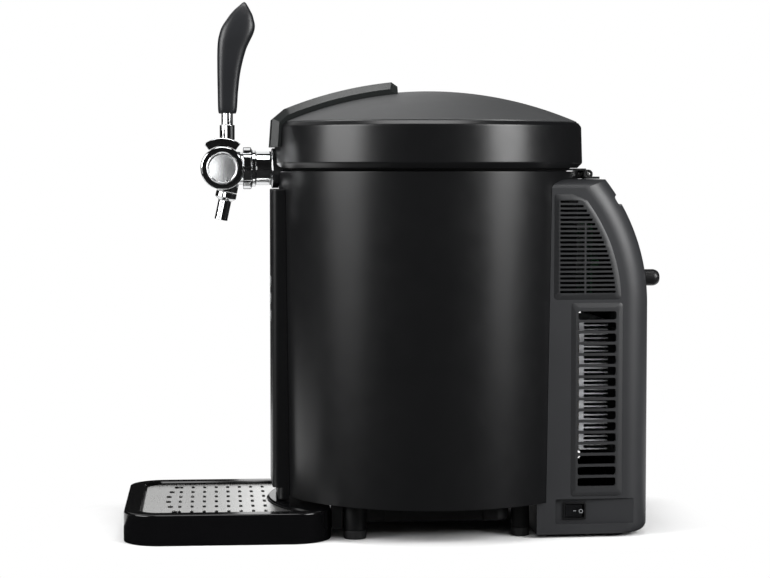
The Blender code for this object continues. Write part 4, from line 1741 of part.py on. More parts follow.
def build():
    clear_scene()
    satin = finish("satin_black_plastic", SATIN_BLACK, 0.42, 0.0)
    charcoal = finish("charcoal_plastic", CHARCOAL, 0.50, 0.0)
    dark = finish("dark_plastic", DEEP_BLACK, 0.55, 0.0)
    gloss = finish("gloss_black_plastic", DEEP_BLACK, 0.18, 0.0)
    grip = finish("handle_plastic", RUBBER, 0.45, 0.0)
    chrome = finish("chrome", CHROME, 0.08, 1.0)
    steel = finish("brushed_steel", STEEL, 0.35, 1.0)
    aluminium = finish("aluminium", ALUMINIUM, 0.38, 1.0)
    foam = finish("insulation", FOAM, 0.90, 0.0)
    rubber = finish("rubber", RUBBER, 0.80, 0.0)
    board = finish("circuit_board", BOARD_GREEN, 0.55, 0.0)
    ceramic = finish("ceramic", CERAMIC, 0.45, 0.0)
    button = finish("button_grey", DOT_GREY, 0.45, 0.0)

    origin = empty_at("dispenser_origin", (0, 0, 0))
    origin.location = (-FOOTPRINT_CENTRE_X, 0, 0)
    lid = empty_at("lid_hinge", (HINGE_X, 0, HINGE_Z), origin)
    lever = empty_at("tap_lever", (TAP_X, 0, TAP_Z), origin)
    tray = empty_at("drip_tray_slide", (TRAY_FRONT_X, 0, 0), origin)
    plate = empty_at("drip_plate_lift", (TRAY_FRONT_X + TRAY_RIM, 0, PLATE_TOP_Z), tray)
    fan = empty_at("fan_spin", (FAN_FRONT_X, 0, COOLER_Z), origin)

    build_drum(origin, satin, aluminium, foam)
    build_base(origin, satin, rubber)
    build_front_panel(origin, satin, gloss, board, button)
    housing = build_housing(origin, charcoal, dark)
    build_switch(origin, housing, dark, gloss)
    build_inlet(origin, housing, dark)
    build_cooler(origin, aluminium, ceramic, dark, fan)
    build_power_board(origin, board)
    build_bumpers(origin, rubber)
    build_hinge(origin, charcoal, steel)
    build_lid(lid, satin, charcoal, foam, rubber, charcoal, charcoal)
    build_tap(origin, chrome, steel)
    build_lever(lever, chrome, grip)
    build_tray(tray, plate, gloss, steel)


build()
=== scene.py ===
import json
import math

import bmesh
import bpy
from mathutils import Matrix, Vector

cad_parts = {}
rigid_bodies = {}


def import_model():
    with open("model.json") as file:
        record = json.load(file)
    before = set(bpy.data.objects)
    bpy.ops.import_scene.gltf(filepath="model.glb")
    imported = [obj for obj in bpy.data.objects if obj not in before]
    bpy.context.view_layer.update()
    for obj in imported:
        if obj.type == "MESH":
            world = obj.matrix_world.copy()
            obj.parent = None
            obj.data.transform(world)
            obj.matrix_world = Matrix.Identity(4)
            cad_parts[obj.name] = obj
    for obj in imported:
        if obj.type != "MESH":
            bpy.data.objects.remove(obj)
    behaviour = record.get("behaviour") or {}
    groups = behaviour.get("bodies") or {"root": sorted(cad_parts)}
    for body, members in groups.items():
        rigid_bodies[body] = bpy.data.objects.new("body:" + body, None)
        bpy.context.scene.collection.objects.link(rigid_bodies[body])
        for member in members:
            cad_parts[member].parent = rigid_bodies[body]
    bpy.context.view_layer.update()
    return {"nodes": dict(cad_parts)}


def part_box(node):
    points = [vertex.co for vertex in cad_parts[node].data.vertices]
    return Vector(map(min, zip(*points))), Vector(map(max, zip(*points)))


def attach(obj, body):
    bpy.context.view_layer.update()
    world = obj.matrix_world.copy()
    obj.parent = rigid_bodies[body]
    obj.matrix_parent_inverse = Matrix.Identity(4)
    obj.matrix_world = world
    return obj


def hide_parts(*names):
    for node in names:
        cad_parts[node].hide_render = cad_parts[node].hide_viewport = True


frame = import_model()

# The drum: an injection moulded shell of satin black polypropylene, drafted so that it leaves its mould,
# with a ring of the same plastic that closes the insulated wall at the top. Each piece is drawn round the
# drum's axis, and its mesh is then moved to where that axis stands in the frame.
liner_low, liner_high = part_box("keg_liner")
drum_axis_x = (liner_low.x + liner_high.x) / 2
seat_gap = 0.0003
running_gap = 0.0006
weld_distance = 0.000002
overrun = 0.004
round_steps = 192
drum_top_radius = 0.1227
drum_bottom_radius = 0.1200
drum_bottom_z = 0.0285
drum_top_z = 0.2908
drum_wall = 0.0025
satin_black = (0.0038, 0.0039, 0.0043, 1.0)


class Field:
    """A value in a material's node tree. Sums written with it become Math nodes."""

    def __init__(self, surface, socket):
        self.surface = surface
        self.socket = socket

    def __add__(self, other):
        return self.surface.maths("ADD", self, other)

    def __radd__(self, other):
        return self.surface.maths("ADD", other, self)

    def __sub__(self, other):
        return self.surface.maths("SUBTRACT", self, other)

    def __mul__(self, other):
        return self.surface.maths("MULTIPLY", self, other)


class Surface:
    """A material in the making: short ways to add nodes to it and to set its shader."""

    def __init__(self, name, colour, roughness, metallic=0.0, specular=0.5):
        self.material = bpy.data.materials.new(name)
        self.material.use_nodes = True
        self.tree = self.material.node_tree
        self.shader = self.tree.nodes["Principled BSDF"]
        self.set("Base Color", colour)
        self.set("Roughness", roughness)
        self.set("Metallic", metallic)
        self.set("Specular IOR Level", specular)
        self.place = self.node("ShaderNodeTexCoord", output="Object")

    def feed(self, socket, value):
        if isinstance(value, Field):
            self.tree.links.new(value.socket, socket)
        else:
            socket.default_value = value

    def set(self, name, value):
        self.feed(self.shader.inputs[name], value)

    def node(self, kind, settings=None, sockets=None, output=0):
        made = self.tree.nodes.new(kind)
        for name, value in (settings or {}).items():
            setattr(made, name, value)
        for name, value in (sockets or {}).items():
            self.feed(made.inputs[name], value)
        return Field(self, made.outputs[output])

    def maths(self, operation, *terms):
        return self.node("ShaderNodeMath", {"operation": operation}, dict(enumerate(terms)))

    def axis(self, letter, vector=None):
        """One coordinate of a place on the surface."""
        return self.node("ShaderNodeSeparateXYZ", None, {0: vector or self.place}, output=letter)

    def stretched(self, x, y, z):
        """The place, with each coordinate multiplied, for a pattern that runs one way."""
        return self.node("ShaderNodeVectorMath", {"operation": "MULTIPLY"}, {0: self.place, 1: (x, y, z)})

    def noise(self, size, detail=2.0, place=None):
        """Soft random variation about as large as the given size, from 0 to 1."""
        sockets = {"Vector": place or self.place, "Scale": 1 / size, "Detail": detail, "Roughness": 0.55}
        return self.node("ShaderNodeTexNoise", None, sockets)

    def ramp(self, value, start, end, low=0.0, high=1.0):
        """Low up to start, high from end, and an even slope between them."""
        sockets = {"Value": value, "From Min": start, "From Max": end, "To Min": low, "To Max": high}
        return self.node("ShaderNodeMapRange", None, sockets)

    def mix(self, share, first, second):
        """From the first colour to the second."""
        return self.node("ShaderNodeMix", {"data_type": "RGBA"}, {0: share, 6: first, 7: second}, output=2)

    def relief(self, height, depth):
        """Bump the surface by a height field that spans the given depth."""
        bump = self.node("ShaderNodeBump", None, {"Strength": 1.0, "Distance": depth, "Height": height})
        self.set("Normal", bump)

    def vary(self, pattern, low, high, roughness, spread, depth):
        """Let one pattern run through the colour, the gloss and the relief."""
        self.set("Base Color", self.mix(pattern, low, high))
        self.set("Roughness", roughness + pattern * spread)
        self.relief(pattern, depth)


def shade(colour, amount):
    """A colour made lighter or darker."""
    return tuple(channel * amount for channel in colour[:3]) + (1.0,)


def moulded_plastic(name, colour, roughness, grain=0.00045, depth=0.00001, specular=0.5, contrast=0.10):
    """Moulded plastic: fine grain from the spark eroded tool, flow marks and a gloss varied by handling."""
    surface = Surface(name, colour, roughness, specular=specular)
    flow = surface.noise(0.060, 3.0)
    handling = surface.noise(0.014, 4.0)
    surface.set("Base Color", surface.mix(flow, shade(colour, 1 - contrast), shade(colour, 1 + contrast)))
    surface.set("Roughness", roughness + (handling - 0.5) * 0.08 + (flow - 0.5) * 0.04)
    surface.relief(surface.noise(grain, 1.0), depth)
    return surface.material


def eased(points, radius, closed=False, steps=4):
    """Round off the corners in a flat line of points, as a tool leaves them."""
    made = []
    for index, corner in enumerate(points):
        here = Vector(corner)
        back = Vector(points[index - 1]) - here
        onward = Vector(points[(index + 1) % len(points)]) - here
        at_end = not closed and index in (0, len(points) - 1)
        if at_end or back.angle(onward) > math.radians(165):
            made.append(tuple(here))
            continue
        reach = min(radius, back.length * 0.46, onward.length * 0.46)
        start, end = here + back.normalized() * reach, here + onward.normalized() * reach
        for step in range(steps + 1):
            share = step / steps
            made.append(tuple(start * (1 - share) ** 2 + here * 2 * share * (1 - share) + end * share**2))
    return made


def turned(profile, steps=round_steps, centre=(0, 0, 0), axis="Z"):
    """Spin a profile of (radius, height) points about an axis; an open profile begins and ends on it."""
    shape = bmesh.new()
    corners = [shape.verts.new((radius, 0, height)) for radius, height in profile]
    edges = [shape.edges.new(pair) for pair in zip(corners, corners[1:])]
    if min(radius for radius, _ in profile) > 0:
        edges.append(shape.edges.new((corners[-1], corners[0])))
    bmesh.ops.spin(shape, geom=corners + edges, cent=(0, 0, 0), axis=(0, 0, 1), angle=math.tau,
                   steps=steps, use_merge=True)
    bmesh.ops.remove_doubles(shape, verts=shape.verts, dist=weld_distance)
    bmesh.ops.recalc_face_normals(shape, faces=shape.faces)
    if axis == "X":
        bmesh.ops.rotate(shape, verts=shape.verts, matrix=Matrix.Rotation(math.pi / 2, 3, "Y"))
    if axis == "Y":
        bmesh.ops.rotate(shape, verts=shape.verts, matrix=Matrix.Rotation(-math.pi / 2, 3, "X"))
    bmesh.ops.translate(shape, verts=shape.verts, vec=centre)
    return shape


def rod(radius, low, high, steps=48, centre=(0, 0, 0), axis="Z"):
    """A round bar between two places on its axis."""
    return turned([(0, low), (radius, low), (radius, high), (0, high)], steps, centre, axis)


def prism(outline, low, high, axis="Z"):
    """Extrude a flat outline along an axis. The outline's points are (Y, Z), (X, Z) or (X, Y)."""
    places = {
        "X": lambda a, b, along: (along, a, b),
        "Y": lambda a, b, along: (a, along, b),
        "Z": lambda a, b, along: (a, b, along),
    }
    shape = bmesh.new()
    rings = [[shape.verts.new(places[axis](a, b, along)) for a, b in outline] for along in (low, high)]
    return skinned(shape, rings)


def skinned(shape, rings):
    """Join rings of corners in turn and close both ends."""
    count = len(rings[0])
    for lower, upper in zip(rings, rings[1:]):
        for index in range(count):
            after = (index + 1) % count
            shape.faces.new((lower[index], lower[after], upper[after], upper[index]))
    shape.faces.new(rings[0])
    shape.faces.new(rings[-1])
    bmesh.ops.recalc_face_normals(shape, faces=shape.faces)
    return shape


def block(low, high):
    """A box between two corners, for cuts and joins."""
    (x0, y0, z0), (x1, y1, z1) = low, high
    return prism([(x0, y0), (x1, y0), (x1, y1), (x0, y1)], z0, z1)


def held(shape):
    """A shape as an object for a while, so that modifiers can work on it."""
    mesh = bpy.data.meshes.new("held")
    shape.to_mesh(mesh)
    shape.free()
    guide = bpy.data.objects.new("held", mesh)
    bpy.context.scene.collection.objects.link(guide)
    return guide


def settled(guide):
    """The mesh that an object's modifiers make."""
    bpy.context.view_layer.update()
    return bpy.data.meshes.new_from_object(guide.evaluated_get(bpy.context.evaluated_depsgraph_get()))


def dropped(guide):
    mesh = guide.data
    bpy.data.objects.remove(guide)
    bpy.data.meshes.remove(mesh)


def worked(shape, tools, operation="DIFFERENCE"):
    """Take tool shapes away from a shape, or add or keep them, with exact Booleans; gives a new shape."""
    base = held(shape)
    guides = [held(tool) for tool in tools]
    for guide in guides:
        step = base.modifiers.new("step", "BOOLEAN")
        step.operation = operation
        step.solver = "EXACT"
        step.object = guide
    mesh = settled(base)
    made = bmesh.new()
    made.from_mesh(mesh)
    bpy.data.meshes.remove(mesh)
    for guide in guides + [base]:
        dropped(guide)
    return made


def finished(name, shape, material, body="cabinet", replaced=(), edge=0.0, sharp=32.0,
             edge_steps=2):
    """A piece in its place: moved to the drum's axis, edges broken, shaded, and handed to its body."""
    bmesh.ops.remove_doubles(shape, verts=shape.verts, dist=weld_distance)
    bmesh.ops.recalc_face_normals(shape, faces=shape.faces)
    bmesh.ops.translate(shape, verts=shape.verts, vec=(drum_axis_x, 0, 0))
    guide = held(shape)
    if edge:
        broken = guide.modifiers.new("edge", "BEVEL")
        broken.width = edge
        broken.segments = edge_steps
        broken.limit_method = "ANGLE"
        broken.angle_limit = math.radians(sharp)
    mesh = settled(guide)
    dropped(guide)
    mesh.shade_smooth()
    mesh.set_sharp_from_angle(angle=math.radians(sharp))
    mesh.name = name
    made = bpy.data.objects.new(name, mesh)
    bpy.context.scene.collection.objects.link(made)
    weighted = made.modifiers.new("flats", "WEIGHTED_NORMAL")
    weighted.keep_sharp = True
    flat_shaded = settled(made)
    made.modifiers.clear()
    made.data = flat_shaded
    bpy.data.meshes.remove(mesh)
    made.data.materials.clear()
    made.data.materials.append(material)
    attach(made, body)
    if replaced:
        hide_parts(*replaced)
    return made


def drum_radius(height):
    share = (height - drum_bottom_z) / (drum_top_z - drum_bottom_z)
    return drum_bottom_radius + (drum_top_radius - drum_bottom_radius) * share


cooler_z = 0.1180
heat_sink_half_width = 0.0450
heat_sink_height = 0.1050
liner_outer_radius = 0.0890
tap_z = 0.2934
shank_radius = 0.01365
shell_hole_end_x = -0.1080
window_half_width = heat_sink_half_width + 0.002
window_half_height = heat_sink_height / 2 + 0.002
shell_profile = eased(
    [
        (drum_bottom_radius - drum_wall, drum_bottom_z),
        (drum_bottom_radius, drum_bottom_z),
        (drum_top_radius, drum_top_z),
        (drum_top_radius - drum_wall, drum_top_z),
    ],
    0.0005, closed=True,
)
drum_plastic = moulded_plastic("satin black plastic", satin_black, 0.30, depth=0.000003, contrast=0.05)
finished(
    "drum_shell_moulding",
    worked(turned(shell_profile), [
        block(
            (liner_outer_radius, -window_half_width, cooler_z - window_half_height),
            (drum_top_radius + overrun, window_half_width, cooler_z + window_half_height),
        ),
        rod(shank_radius + seat_gap, -drum_top_radius - overrun, shell_hole_end_x, 64, (0, 0, tap_z), "X"),
    ]),
    drum_plastic, replaced=["drum_shell"],
)

ring_bottom_z = 0.2768
ring_inner_radius = 0.0875
backnut_radius = 0.0160
ring_hole_end_x = -0.1040
ring_outer_radius = drum_radius(ring_bottom_z) - drum_wall - seat_gap
ring_profile = eased(
    [
        (ring_outer_radius, ring_bottom_z),
        (ring_outer_radius, drum_top_z),
        (ring_inner_radius, drum_top_z),
        (ring_inner_radius, ring_bottom_z),
    ],
    0.0016, closed=True,
)
finished(
    "top_ring_moulding",
    worked(turned(ring_profile), [
        rod(shank_radius + seat_gap, -drum_top_radius - overrun, ring_hole_end_x, 64, (0, 0, tap_z), "X"),
        rod(backnut_radius + running_gap, shell_hole_end_x, overrun - ring_inner_radius, 64, (0, 0, tap_z),
            "X"),
    ]),
    drum_plastic, replaced=["top_ring"],
)

# The keg chamber: a cup of drawn aluminium with a wide radius round its floor, in a body of polyurethane
# foam that was poured between it and the drum.
liner_inner_radius = 0.0875
liner_wall = 0.0015
liner_floor_z = 0.0410
liner_floor_radius = 0.0070
liner_foot_radius = 0.0060
aluminium = (0.66, 0.67, 0.69, 1.0)
foam_cream = (0.72, 0.66, 0.46, 1.0)


def drawn_metal(name, colour, roughness):
    """Sheet metal drawn over a punch: rings from the tool round the wall, and faint scuffs."""
    surface = Surface(name, colour, roughness, metallic=1.0)
    rings = surface.noise(0.0016, 2.0, surface.stretched(0.04, 0.04, 1.0))
    scuffs = surface.noise(0.010, 4.0)
    surface.set("Base Color", surface.mix(scuffs, shade(colour, 0.90), shade(colour, 1.06)))
    surface.set("Roughness", roughness + (rings - 0.5) * 0.18 + (scuffs - 0.5) * 0.10)
    surface.relief(rings, 0.000012)
    return surface.material


cup_profile = [
    (0, liner_floor_z - liner_wall),
    (liner_inner_radius + liner_wall - liner_foot_radius, liner_floor_z - liner_wall),
    (liner_inner_radius + liner_wall, liner_floor_z - liner_wall + liner_foot_radius),
    (liner_inner_radius + liner_wall, ring_bottom_z - seat_gap),
    (liner_inner_radius, ring_bottom_z - seat_gap),
    (liner_inner_radius, liner_floor_z + liner_floor_radius),
    (liner_inner_radius - liner_floor_radius, liner_floor_z),
    (0, liner_floor_z),
]
liner_metal = drawn_metal("drawn aluminium", aluminium, 0.34)
finished("keg_liner_cup", turned(eased(cup_profile, 0.0030)), liner_metal, replaced=["keg_liner"],
         sharp=40.0)

foam = Surface("polyurethane foam", foam_cream, 0.9)
cells = foam.node("ShaderNodeTexVoronoi", None, {"Vector": foam.place, "Scale": 900.0}, output="Distance")
clouds = foam.noise(0.02, 3.0)
foam.set("Base Color", foam.mix(clouds, shade(foam_cream, 0.86), shade(foam_cream, 1.04)))
foam.set("Roughness", 0.82 + clouds * 0.12)
foam.relief(cells, 0.0002)


def coated(nodes, material):
    """Give the CAD meshes of some nodes a material, and keep their shapes."""
    for node in nodes:
        mesh = frame["nodes"][node].data
        mesh.materials.clear()
        mesh.materials.append(material)


coated(("insulation_foam", "lid_foam"), foam.material)

# The foot of the drum: a moulded plate with a ribbed pan, four legs on rubber pads, and the two dock blocks
# that the drip tray butts against.
plate_bottom_z = 0.0295
plate_top_z = 0.0320
pan_front_x = -0.0650
pan_rear_x = 0.0590
pan_half_width = 0.0750
pan_corner = 0.0150
pan_bottom_z = 0.0127
pan_wall = 0.0030
pan_ribs = (-0.0360, 0.0430)
pan_rib_width = 0.0110
pan_rib_proud = 0.0012
pad_height = 0.0070
tread_rise = 0.0008
feet = (("foot_front", -0.0650, 0.0700, 0.0090), ("foot_rear", 0.0678, 0.0660, 0.0072))
dock_front_x = -0.0837
dock_thickness = 0.0085
dock_inner_y = 0.0580
dock_outer_y = 0.0760
dock_bottom_z = 0.0085
rubber_black = (0.0130, 0.0130, 0.0135, 1.0)


def arc(centre, radius, start, end, steps):
    """Points on an arc, angles in degrees from the first axis of its plane."""
    points = []
    for step in range(steps + 1):
        angle = math.radians(start + (end - start) * step / steps)
        points.append((centre[0] + radius * math.cos(angle), centre[1] + radius * math.sin(angle)))
    return points


def rounded_rectangle(x0, x1, y0, y1, radii, steps=10):
    """Outline with a radius for each corner: low-low, high-low, high-high, low-high."""
    a, b, c, d = radii
    return (
        arc((x0 + a, y0 + a), a, 180, 270, steps)
        + arc((x1 - b, y0 + b), b, 270, 360, steps)
        + arc((x1 - c, y1 - c), c, 0, 90, steps)
        + arc((x0 + d, y1 - d), d, 90, 180, steps)
    )


def centred(x, y, half_x, half_y, corner, steps=10):
    """Outline of a rectangle about its middle, with one radius at all its corners."""
    return rounded_rectangle(x - half_x, x + half_x, y - half_y, y + half_y, [corner] * 4, steps)


def rounded_slab(outline_at, low, high, round_low, round_high, axis="Z", steps=5):
    """A prism whose ends are rounded over. outline_at gives the outline drawn in by an inset."""
    layers = []
    for step in range(steps + 1):
        angle = math.pi / 2 * step / steps
        layers.append((round_low * (1 - math.sin(angle)), low + round_low * (1 - math.cos(angle))))
    for step in range(steps + 1):
        angle = math.pi / 2 * step / steps
        layers.append((round_high * (1 - math.cos(angle)), high - round_high * (1 - math.sin(angle))))
    places = {"X": lambda a, b, z: (z, a, b), "Y": lambda a, b, z: (a, z, b), "Z": lambda a, b, z: (a, b, z)}
    shape = bmesh.new()
    rings = [
        [shape.verts.new(places[axis](a, b, along)) for a, b in outline_at(inset)] for inset, along in layers
    ]
    return skinned(shape, rings)


def rubber(name, colour, roughness=0.62):
    """Moulded rubber: matt, with a faint bloom and a fine skin."""
    surface = Surface(name, colour, roughness, specular=0.35)
    bloom = surface.noise(0.006, 4.0)
    surface.set("Base Color", surface.mix(bloom, shade(colour, 0.8), shade(colour, 1.45)))
    surface.set("Roughness", roughness + (bloom - 0.5) * 0.16)
    surface.relief(surface.noise(0.0004, 2.0), 0.00003)
    return surface.material


def pan_outline(inset):
    corner = pan_corner - inset
    return rounded_rectangle(pan_front_x + inset, pan_rear_x - inset, inset - pan_half_width,
                             pan_half_width - inset, [corner] * 4)


fuse_z = (plate_bottom_z + plate_top_z) / 2
base_parts = [rounded_slab(pan_outline, pan_bottom_z, fuse_z, 0.0022, 0.0)]
bays = []
bay_edges = [pan_front_x + pan_wall]
for rib_x in pan_ribs:
    start, end = rib_x - pan_rib_width / 2, rib_x + pan_rib_width / 2
    base_parts.append(block(
        (start, -pan_half_width - pan_rib_proud, pan_bottom_z + pan_rib_proud),
        (end, pan_half_width + pan_rib_proud, fuse_z),
    ))
    bay_edges += [start, end]
bay_edges.append(pan_rear_x - pan_wall)
for start, end in zip(bay_edges[::2], bay_edges[1::2]):
    bays.append(block((start, pan_corner - pan_half_width, pan_bottom_z - overrun),
                      (end, pan_half_width - pan_corner, plate_bottom_z)))
for name, x, y, radius in feet:
    for sign in (-1, 1):
        base_parts.append(rod(radius, pad_height + seat_gap, fuse_z, 48, (x, sign * y, 0)))
for sign in (-1, 1):
    near, far = sorted((sign * dock_inner_y, sign * dock_outer_y))
    base_parts.append(block((dock_front_x, near, dock_bottom_z),
                            (dock_front_x + dock_thickness, far, fuse_z)))
base_disc = rod(drum_bottom_radius - drum_wall - seat_gap, plate_bottom_z, plate_top_z, round_steps)
base_plastic = moulded_plastic("base plate plastic", satin_black, 0.46)
finished(
    "base_plate_moulding", worked(worked(base_disc, base_parts, "UNION"), bays), base_plastic,
    replaced=["base_plate"], edge=0.0005,
)
foot_rubber = rubber("foot rubber", rubber_black)
for name, x, y, radius in feet:
    for side, sign in (("right", -1), ("left", 1)):
        tread = [(0, tread_rise), (radius * 0.45, tread_rise), (radius * 0.5, 0), (radius, 0),
                 (radius, pad_height), (0, pad_height)]
        finished(f"{name}_{side}_pad", turned(eased(tread, 0.0011), 64, (x, sign * y, 0)), foot_rubber,
                 replaced=[f"{name}_{side}"])

# The control panel on the drum's front: a satin black moulding with round vertical edges, a gloss lens over
# the display and three buttons with printed signs, and the circuit board behind them.
panel_face_x = -0.1292
panel_half_width = 0.0330
panel_corner = 0.0050
panel_wall = 0.0025
panel_bottom_z = 0.0353
panel_top_z = 0.2765
strip_face_x = -0.1248
strip_bottom_z = 0.0255
lens_z = 0.2290
lens_width = 0.0380
lens_height = 0.0300
lens_thickness = 0.0013
lens_ledge = 0.0025
button_heights = (("button_power", 0.2010), ("button_down", 0.1870), ("button_up", 0.1730))
button_radius = 0.0045
button_proud = 0.0008
flange_reach = 0.0010
flange_thickness = 0.0007
gloss_black = (0.0042, 0.0043, 0.0047, 1.0)
button_grey = (0.25, 0.255, 0.26, 1.0)
print_white = (0.62, 0.63, 0.64, 1.0)
print_proud = 0.00004
print_root = 0.00012
sign_outer, sign_inner = 0.0021, 0.0016
sign_bar_half = 0.00025


def panel_plan(face_x, inset=0.0):
    """Plan of the panel: a flat face with round corners, and sides that run back into the drum."""
    half = panel_half_width - inset
    corner = panel_corner - inset / 2
    return (
        [(-liner_outer_radius, -half)]
        + arc((face_x + inset + corner, corner - half), corner, 270, 180, 10)
        + arc((face_x + inset + corner, half - corner), corner, 180, 90, 10)
        + [(-liner_outer_radius, half)]
    )


def drum_envelope(low, high, gap=seat_gap):
    """The space that the drum takes between two heights."""
    return turned([(0, low), (drum_radius(low) + gap, low), (drum_radius(high) + gap, high), (0, high)])


def lens_outline(grow, corner):
    return centred(0, lens_z, lens_width / 2 + grow, lens_height / 2 + grow, corner)


panel_shape = rounded_slab(lambda inset: panel_plan(panel_face_x, inset), panel_bottom_z, panel_top_z,
                           0.0008, 0.0012)
panel_shape = worked(panel_shape, [
    rounded_slab(lambda inset: panel_plan(strip_face_x, inset), strip_bottom_z, panel_bottom_z + panel_wall,
                 0.0008, 0.0),
], "UNION")
pocket_half_width = panel_half_width - panel_wall - seat_gap
pocket_bottom_z = 0.0500
pocket_top_z = panel_top_z - 0.0080
panel_cuts = [
    drum_envelope(strip_bottom_z - overrun, panel_top_z + overrun),
    block((panel_face_x + panel_wall, -pocket_half_width, pocket_bottom_z),
          (-liner_outer_radius + overrun, pocket_half_width, pocket_top_z)),
    prism(lens_outline(seat_gap, 0.0015), panel_face_x - overrun, panel_face_x + lens_thickness + seat_gap,
          "X"),
    prism(lens_outline(-lens_ledge, 0.0010), panel_face_x, panel_face_x + panel_wall + overrun / 2, "X"),
]
for name, height in button_heights:
    panel_cuts.append(rod(
        button_radius + seat_gap, panel_face_x - overrun, panel_face_x + panel_wall + overrun / 2, 64,
        (0, 0, height), "X",
    ))
finished("front_panel_moulding", worked(panel_shape, panel_cuts),
         moulded_plastic("panel plastic", satin_black, 0.38, specular=0.3),
         replaced=["front_panel"])

lens_surface = Surface("tinted lens", gloss_black, 0.07, specular=0.6)
lens_haze = lens_surface.noise(0.012, 3.0)
lens_surface.vary(lens_haze, shade(gloss_black, 0.9), shade(gloss_black, 1.3), 0.045, 0.05, 0.000003)
lens_surface.set("Coat Weight", 0.6)
lens_shape = rounded_slab(lambda inset: lens_outline(-inset, 0.0013), panel_face_x,
                          panel_face_x + lens_thickness, 0.0004, 0.0001, "X")
finished("display_lens", lens_shape, lens_surface.material, replaced=["display_window"])

button_plastic = moulded_plastic("button plastic", button_grey, 0.42, contrast=0.05)
ink = moulded_plastic("printed ink", print_white, 0.55, depth=0.000004, contrast=0.05)
for name, height in button_heights:
    body = {"button_power": "power_button", "button_down": "down_button", "button_up": "up_button"}[name]
    flange_x = panel_face_x + panel_wall + seat_gap
    cap_profile = [
        (0, panel_face_x - button_proud + 0.0001),
        (button_radius * 0.6, panel_face_x - button_proud),
        (button_radius, panel_face_x - button_proud),
        (button_radius, flange_x),
        (button_radius + flange_reach, flange_x),
        (button_radius + flange_reach, flange_x + flange_thickness),
        (0, flange_x + flange_thickness),
    ]
    finished(f"{name}_cap", turned(eased(cap_profile, 0.0005), 64, (0, 0, height), "X"), button_plastic,
             body, replaced=[name])
    low, high = panel_face_x - button_proud - print_proud, panel_face_x - button_proud + print_root
    if name == "button_power":
        open_ring = (arc((0, height), sign_outer, 125, 415, 24)
                     + arc((0, height), sign_inner, 415, 125, 24))
        sign_shape = prism(open_ring, low, high, "X")
        bar = [(-sign_bar_half, height + 0.0006), (sign_bar_half, height + 0.0006),
               (sign_bar_half, height + 0.0026), (-sign_bar_half, height + 0.0026)]
        sign_shape = worked(sign_shape, [prism(bar, low, high, "X")], "UNION")
    else:
        turn = 90 if name == "button_up" else 270
        sign_shape = prism(arc((0, height), 0.0020, turn, turn + 240, 2), low, high, "X")
    finished(f"{name}_sign", sign_shape, ink, body)


def circuit_board(name, colour):
    """Green lacquer on a glass fibre board, with copper runs that show through it."""
    surface = Surface(name, colour, 0.35)
    run_across = surface.axis("Y") * 700.0
    run_up = surface.axis("Z") * 500.0
    runs = surface.maths("GREATER_THAN", surface.maths("SINE", run_across), 0.55)
    gaps = surface.maths("GREATER_THAN", surface.maths("SINE", run_up + surface.noise(0.012) * 9.0), -0.2)
    copper = runs * gaps
    surface.set("Base Color", surface.mix(copper, colour, (0.05, 0.20, 0.07, 1.0)))
    surface.set("Roughness", 0.32 + surface.noise(0.004) * 0.12)
    surface.relief(copper, 0.00004)
    return surface.material


board_lacquer = circuit_board("circuit board", (0.02, 0.11, 0.05, 1.0))
coated(("display_board", "power_board"), board_lacquer)

# The rear housing: one deep moulding of charcoal plastic round the cooling machinery, drafted towards the
# back, with round shoulders and a long curve from its top to its back. Grip slots are cut through the curve.
# Each side has two louvred panels of darker plastic in raised, sloping frames, and the fan has its grille in
# the back.
housing_front_x = 0.0785
housing_rear_x = 0.1706
housing_bottom_z = 0.0030
housing_top_z = 0.2845
housing_front_half = 0.0845
housing_rear_half = 0.0800
housing_wall = 0.0025
shoulder_radius = 0.0200
shoulder_fall = 0.35
foot_radius = 0.0070
curve_radius = 0.1600
curve_z = 0.1850
curve_x = housing_rear_x - curve_radius
grille_depth = 0.0032
panel_depth = 0.0016
frame_proud = 0.0016
charcoal = (0.0200, 0.0207, 0.0226, 1.0)
louvre_grey = (0.0185, 0.0190, 0.0204, 1.0)


def side_wall_y(x):
    """Half width of the housing at a place along it."""
    share = (x - housing_front_x) / (housing_rear_x - housing_front_x)
    return housing_front_half + (housing_rear_half - housing_front_half) * share


def housing_outline(inset, rounding):
    """Side view of the housing: flat top, long back curve, upright back and foot."""
    drawn_in = inset + rounding
    top_z = housing_top_z - inset - rounding * shoulder_fall
    radius = curve_radius - drawn_in
    start_angle = math.degrees(math.asin((top_z - curve_z) / radius))
    bottom_z = housing_bottom_z + inset
    foot_x = housing_rear_x - drawn_in - foot_radius
    return (
        [(housing_front_x + inset, bottom_z), (housing_front_x + inset, top_z)]
        + arc((curve_x, curve_z), radius, start_angle, 0, 40)
        + arc((foot_x, bottom_z + foot_radius), foot_radius, 0, -90, 6)
    )


def housing_solid(inset, steps=14):
    """The housing as a solid, drawn in by an inset, with its round shoulders."""
    radius = shoulder_radius - inset
    layers = []
    for step in range(steps + 1):
        angle = math.radians(90 * step / steps)
        layers.append((radius * (1 - math.sin(angle)), radius * (1 - math.cos(angle))))
    solid = bmesh.new()
    rings = []
    for sign, order in ((-1, layers), (1, layers[::-1])):
        for rounding, drop in order:
            rings.append([
                solid.verts.new((x, sign * (side_wall_y(x) - inset - drop), z))
                for x, z in housing_outline(inset, rounding)
            ])
    return skinned(solid, rings)


def side_prism(outline, sign, inner=0.5, outer=1.1):
    """An outline in the housing's side, extruded through that side wall."""
    low, high = sorted((sign * housing_front_half * inner, sign * housing_front_half * outer))
    return prism(outline, low, high, "Y")


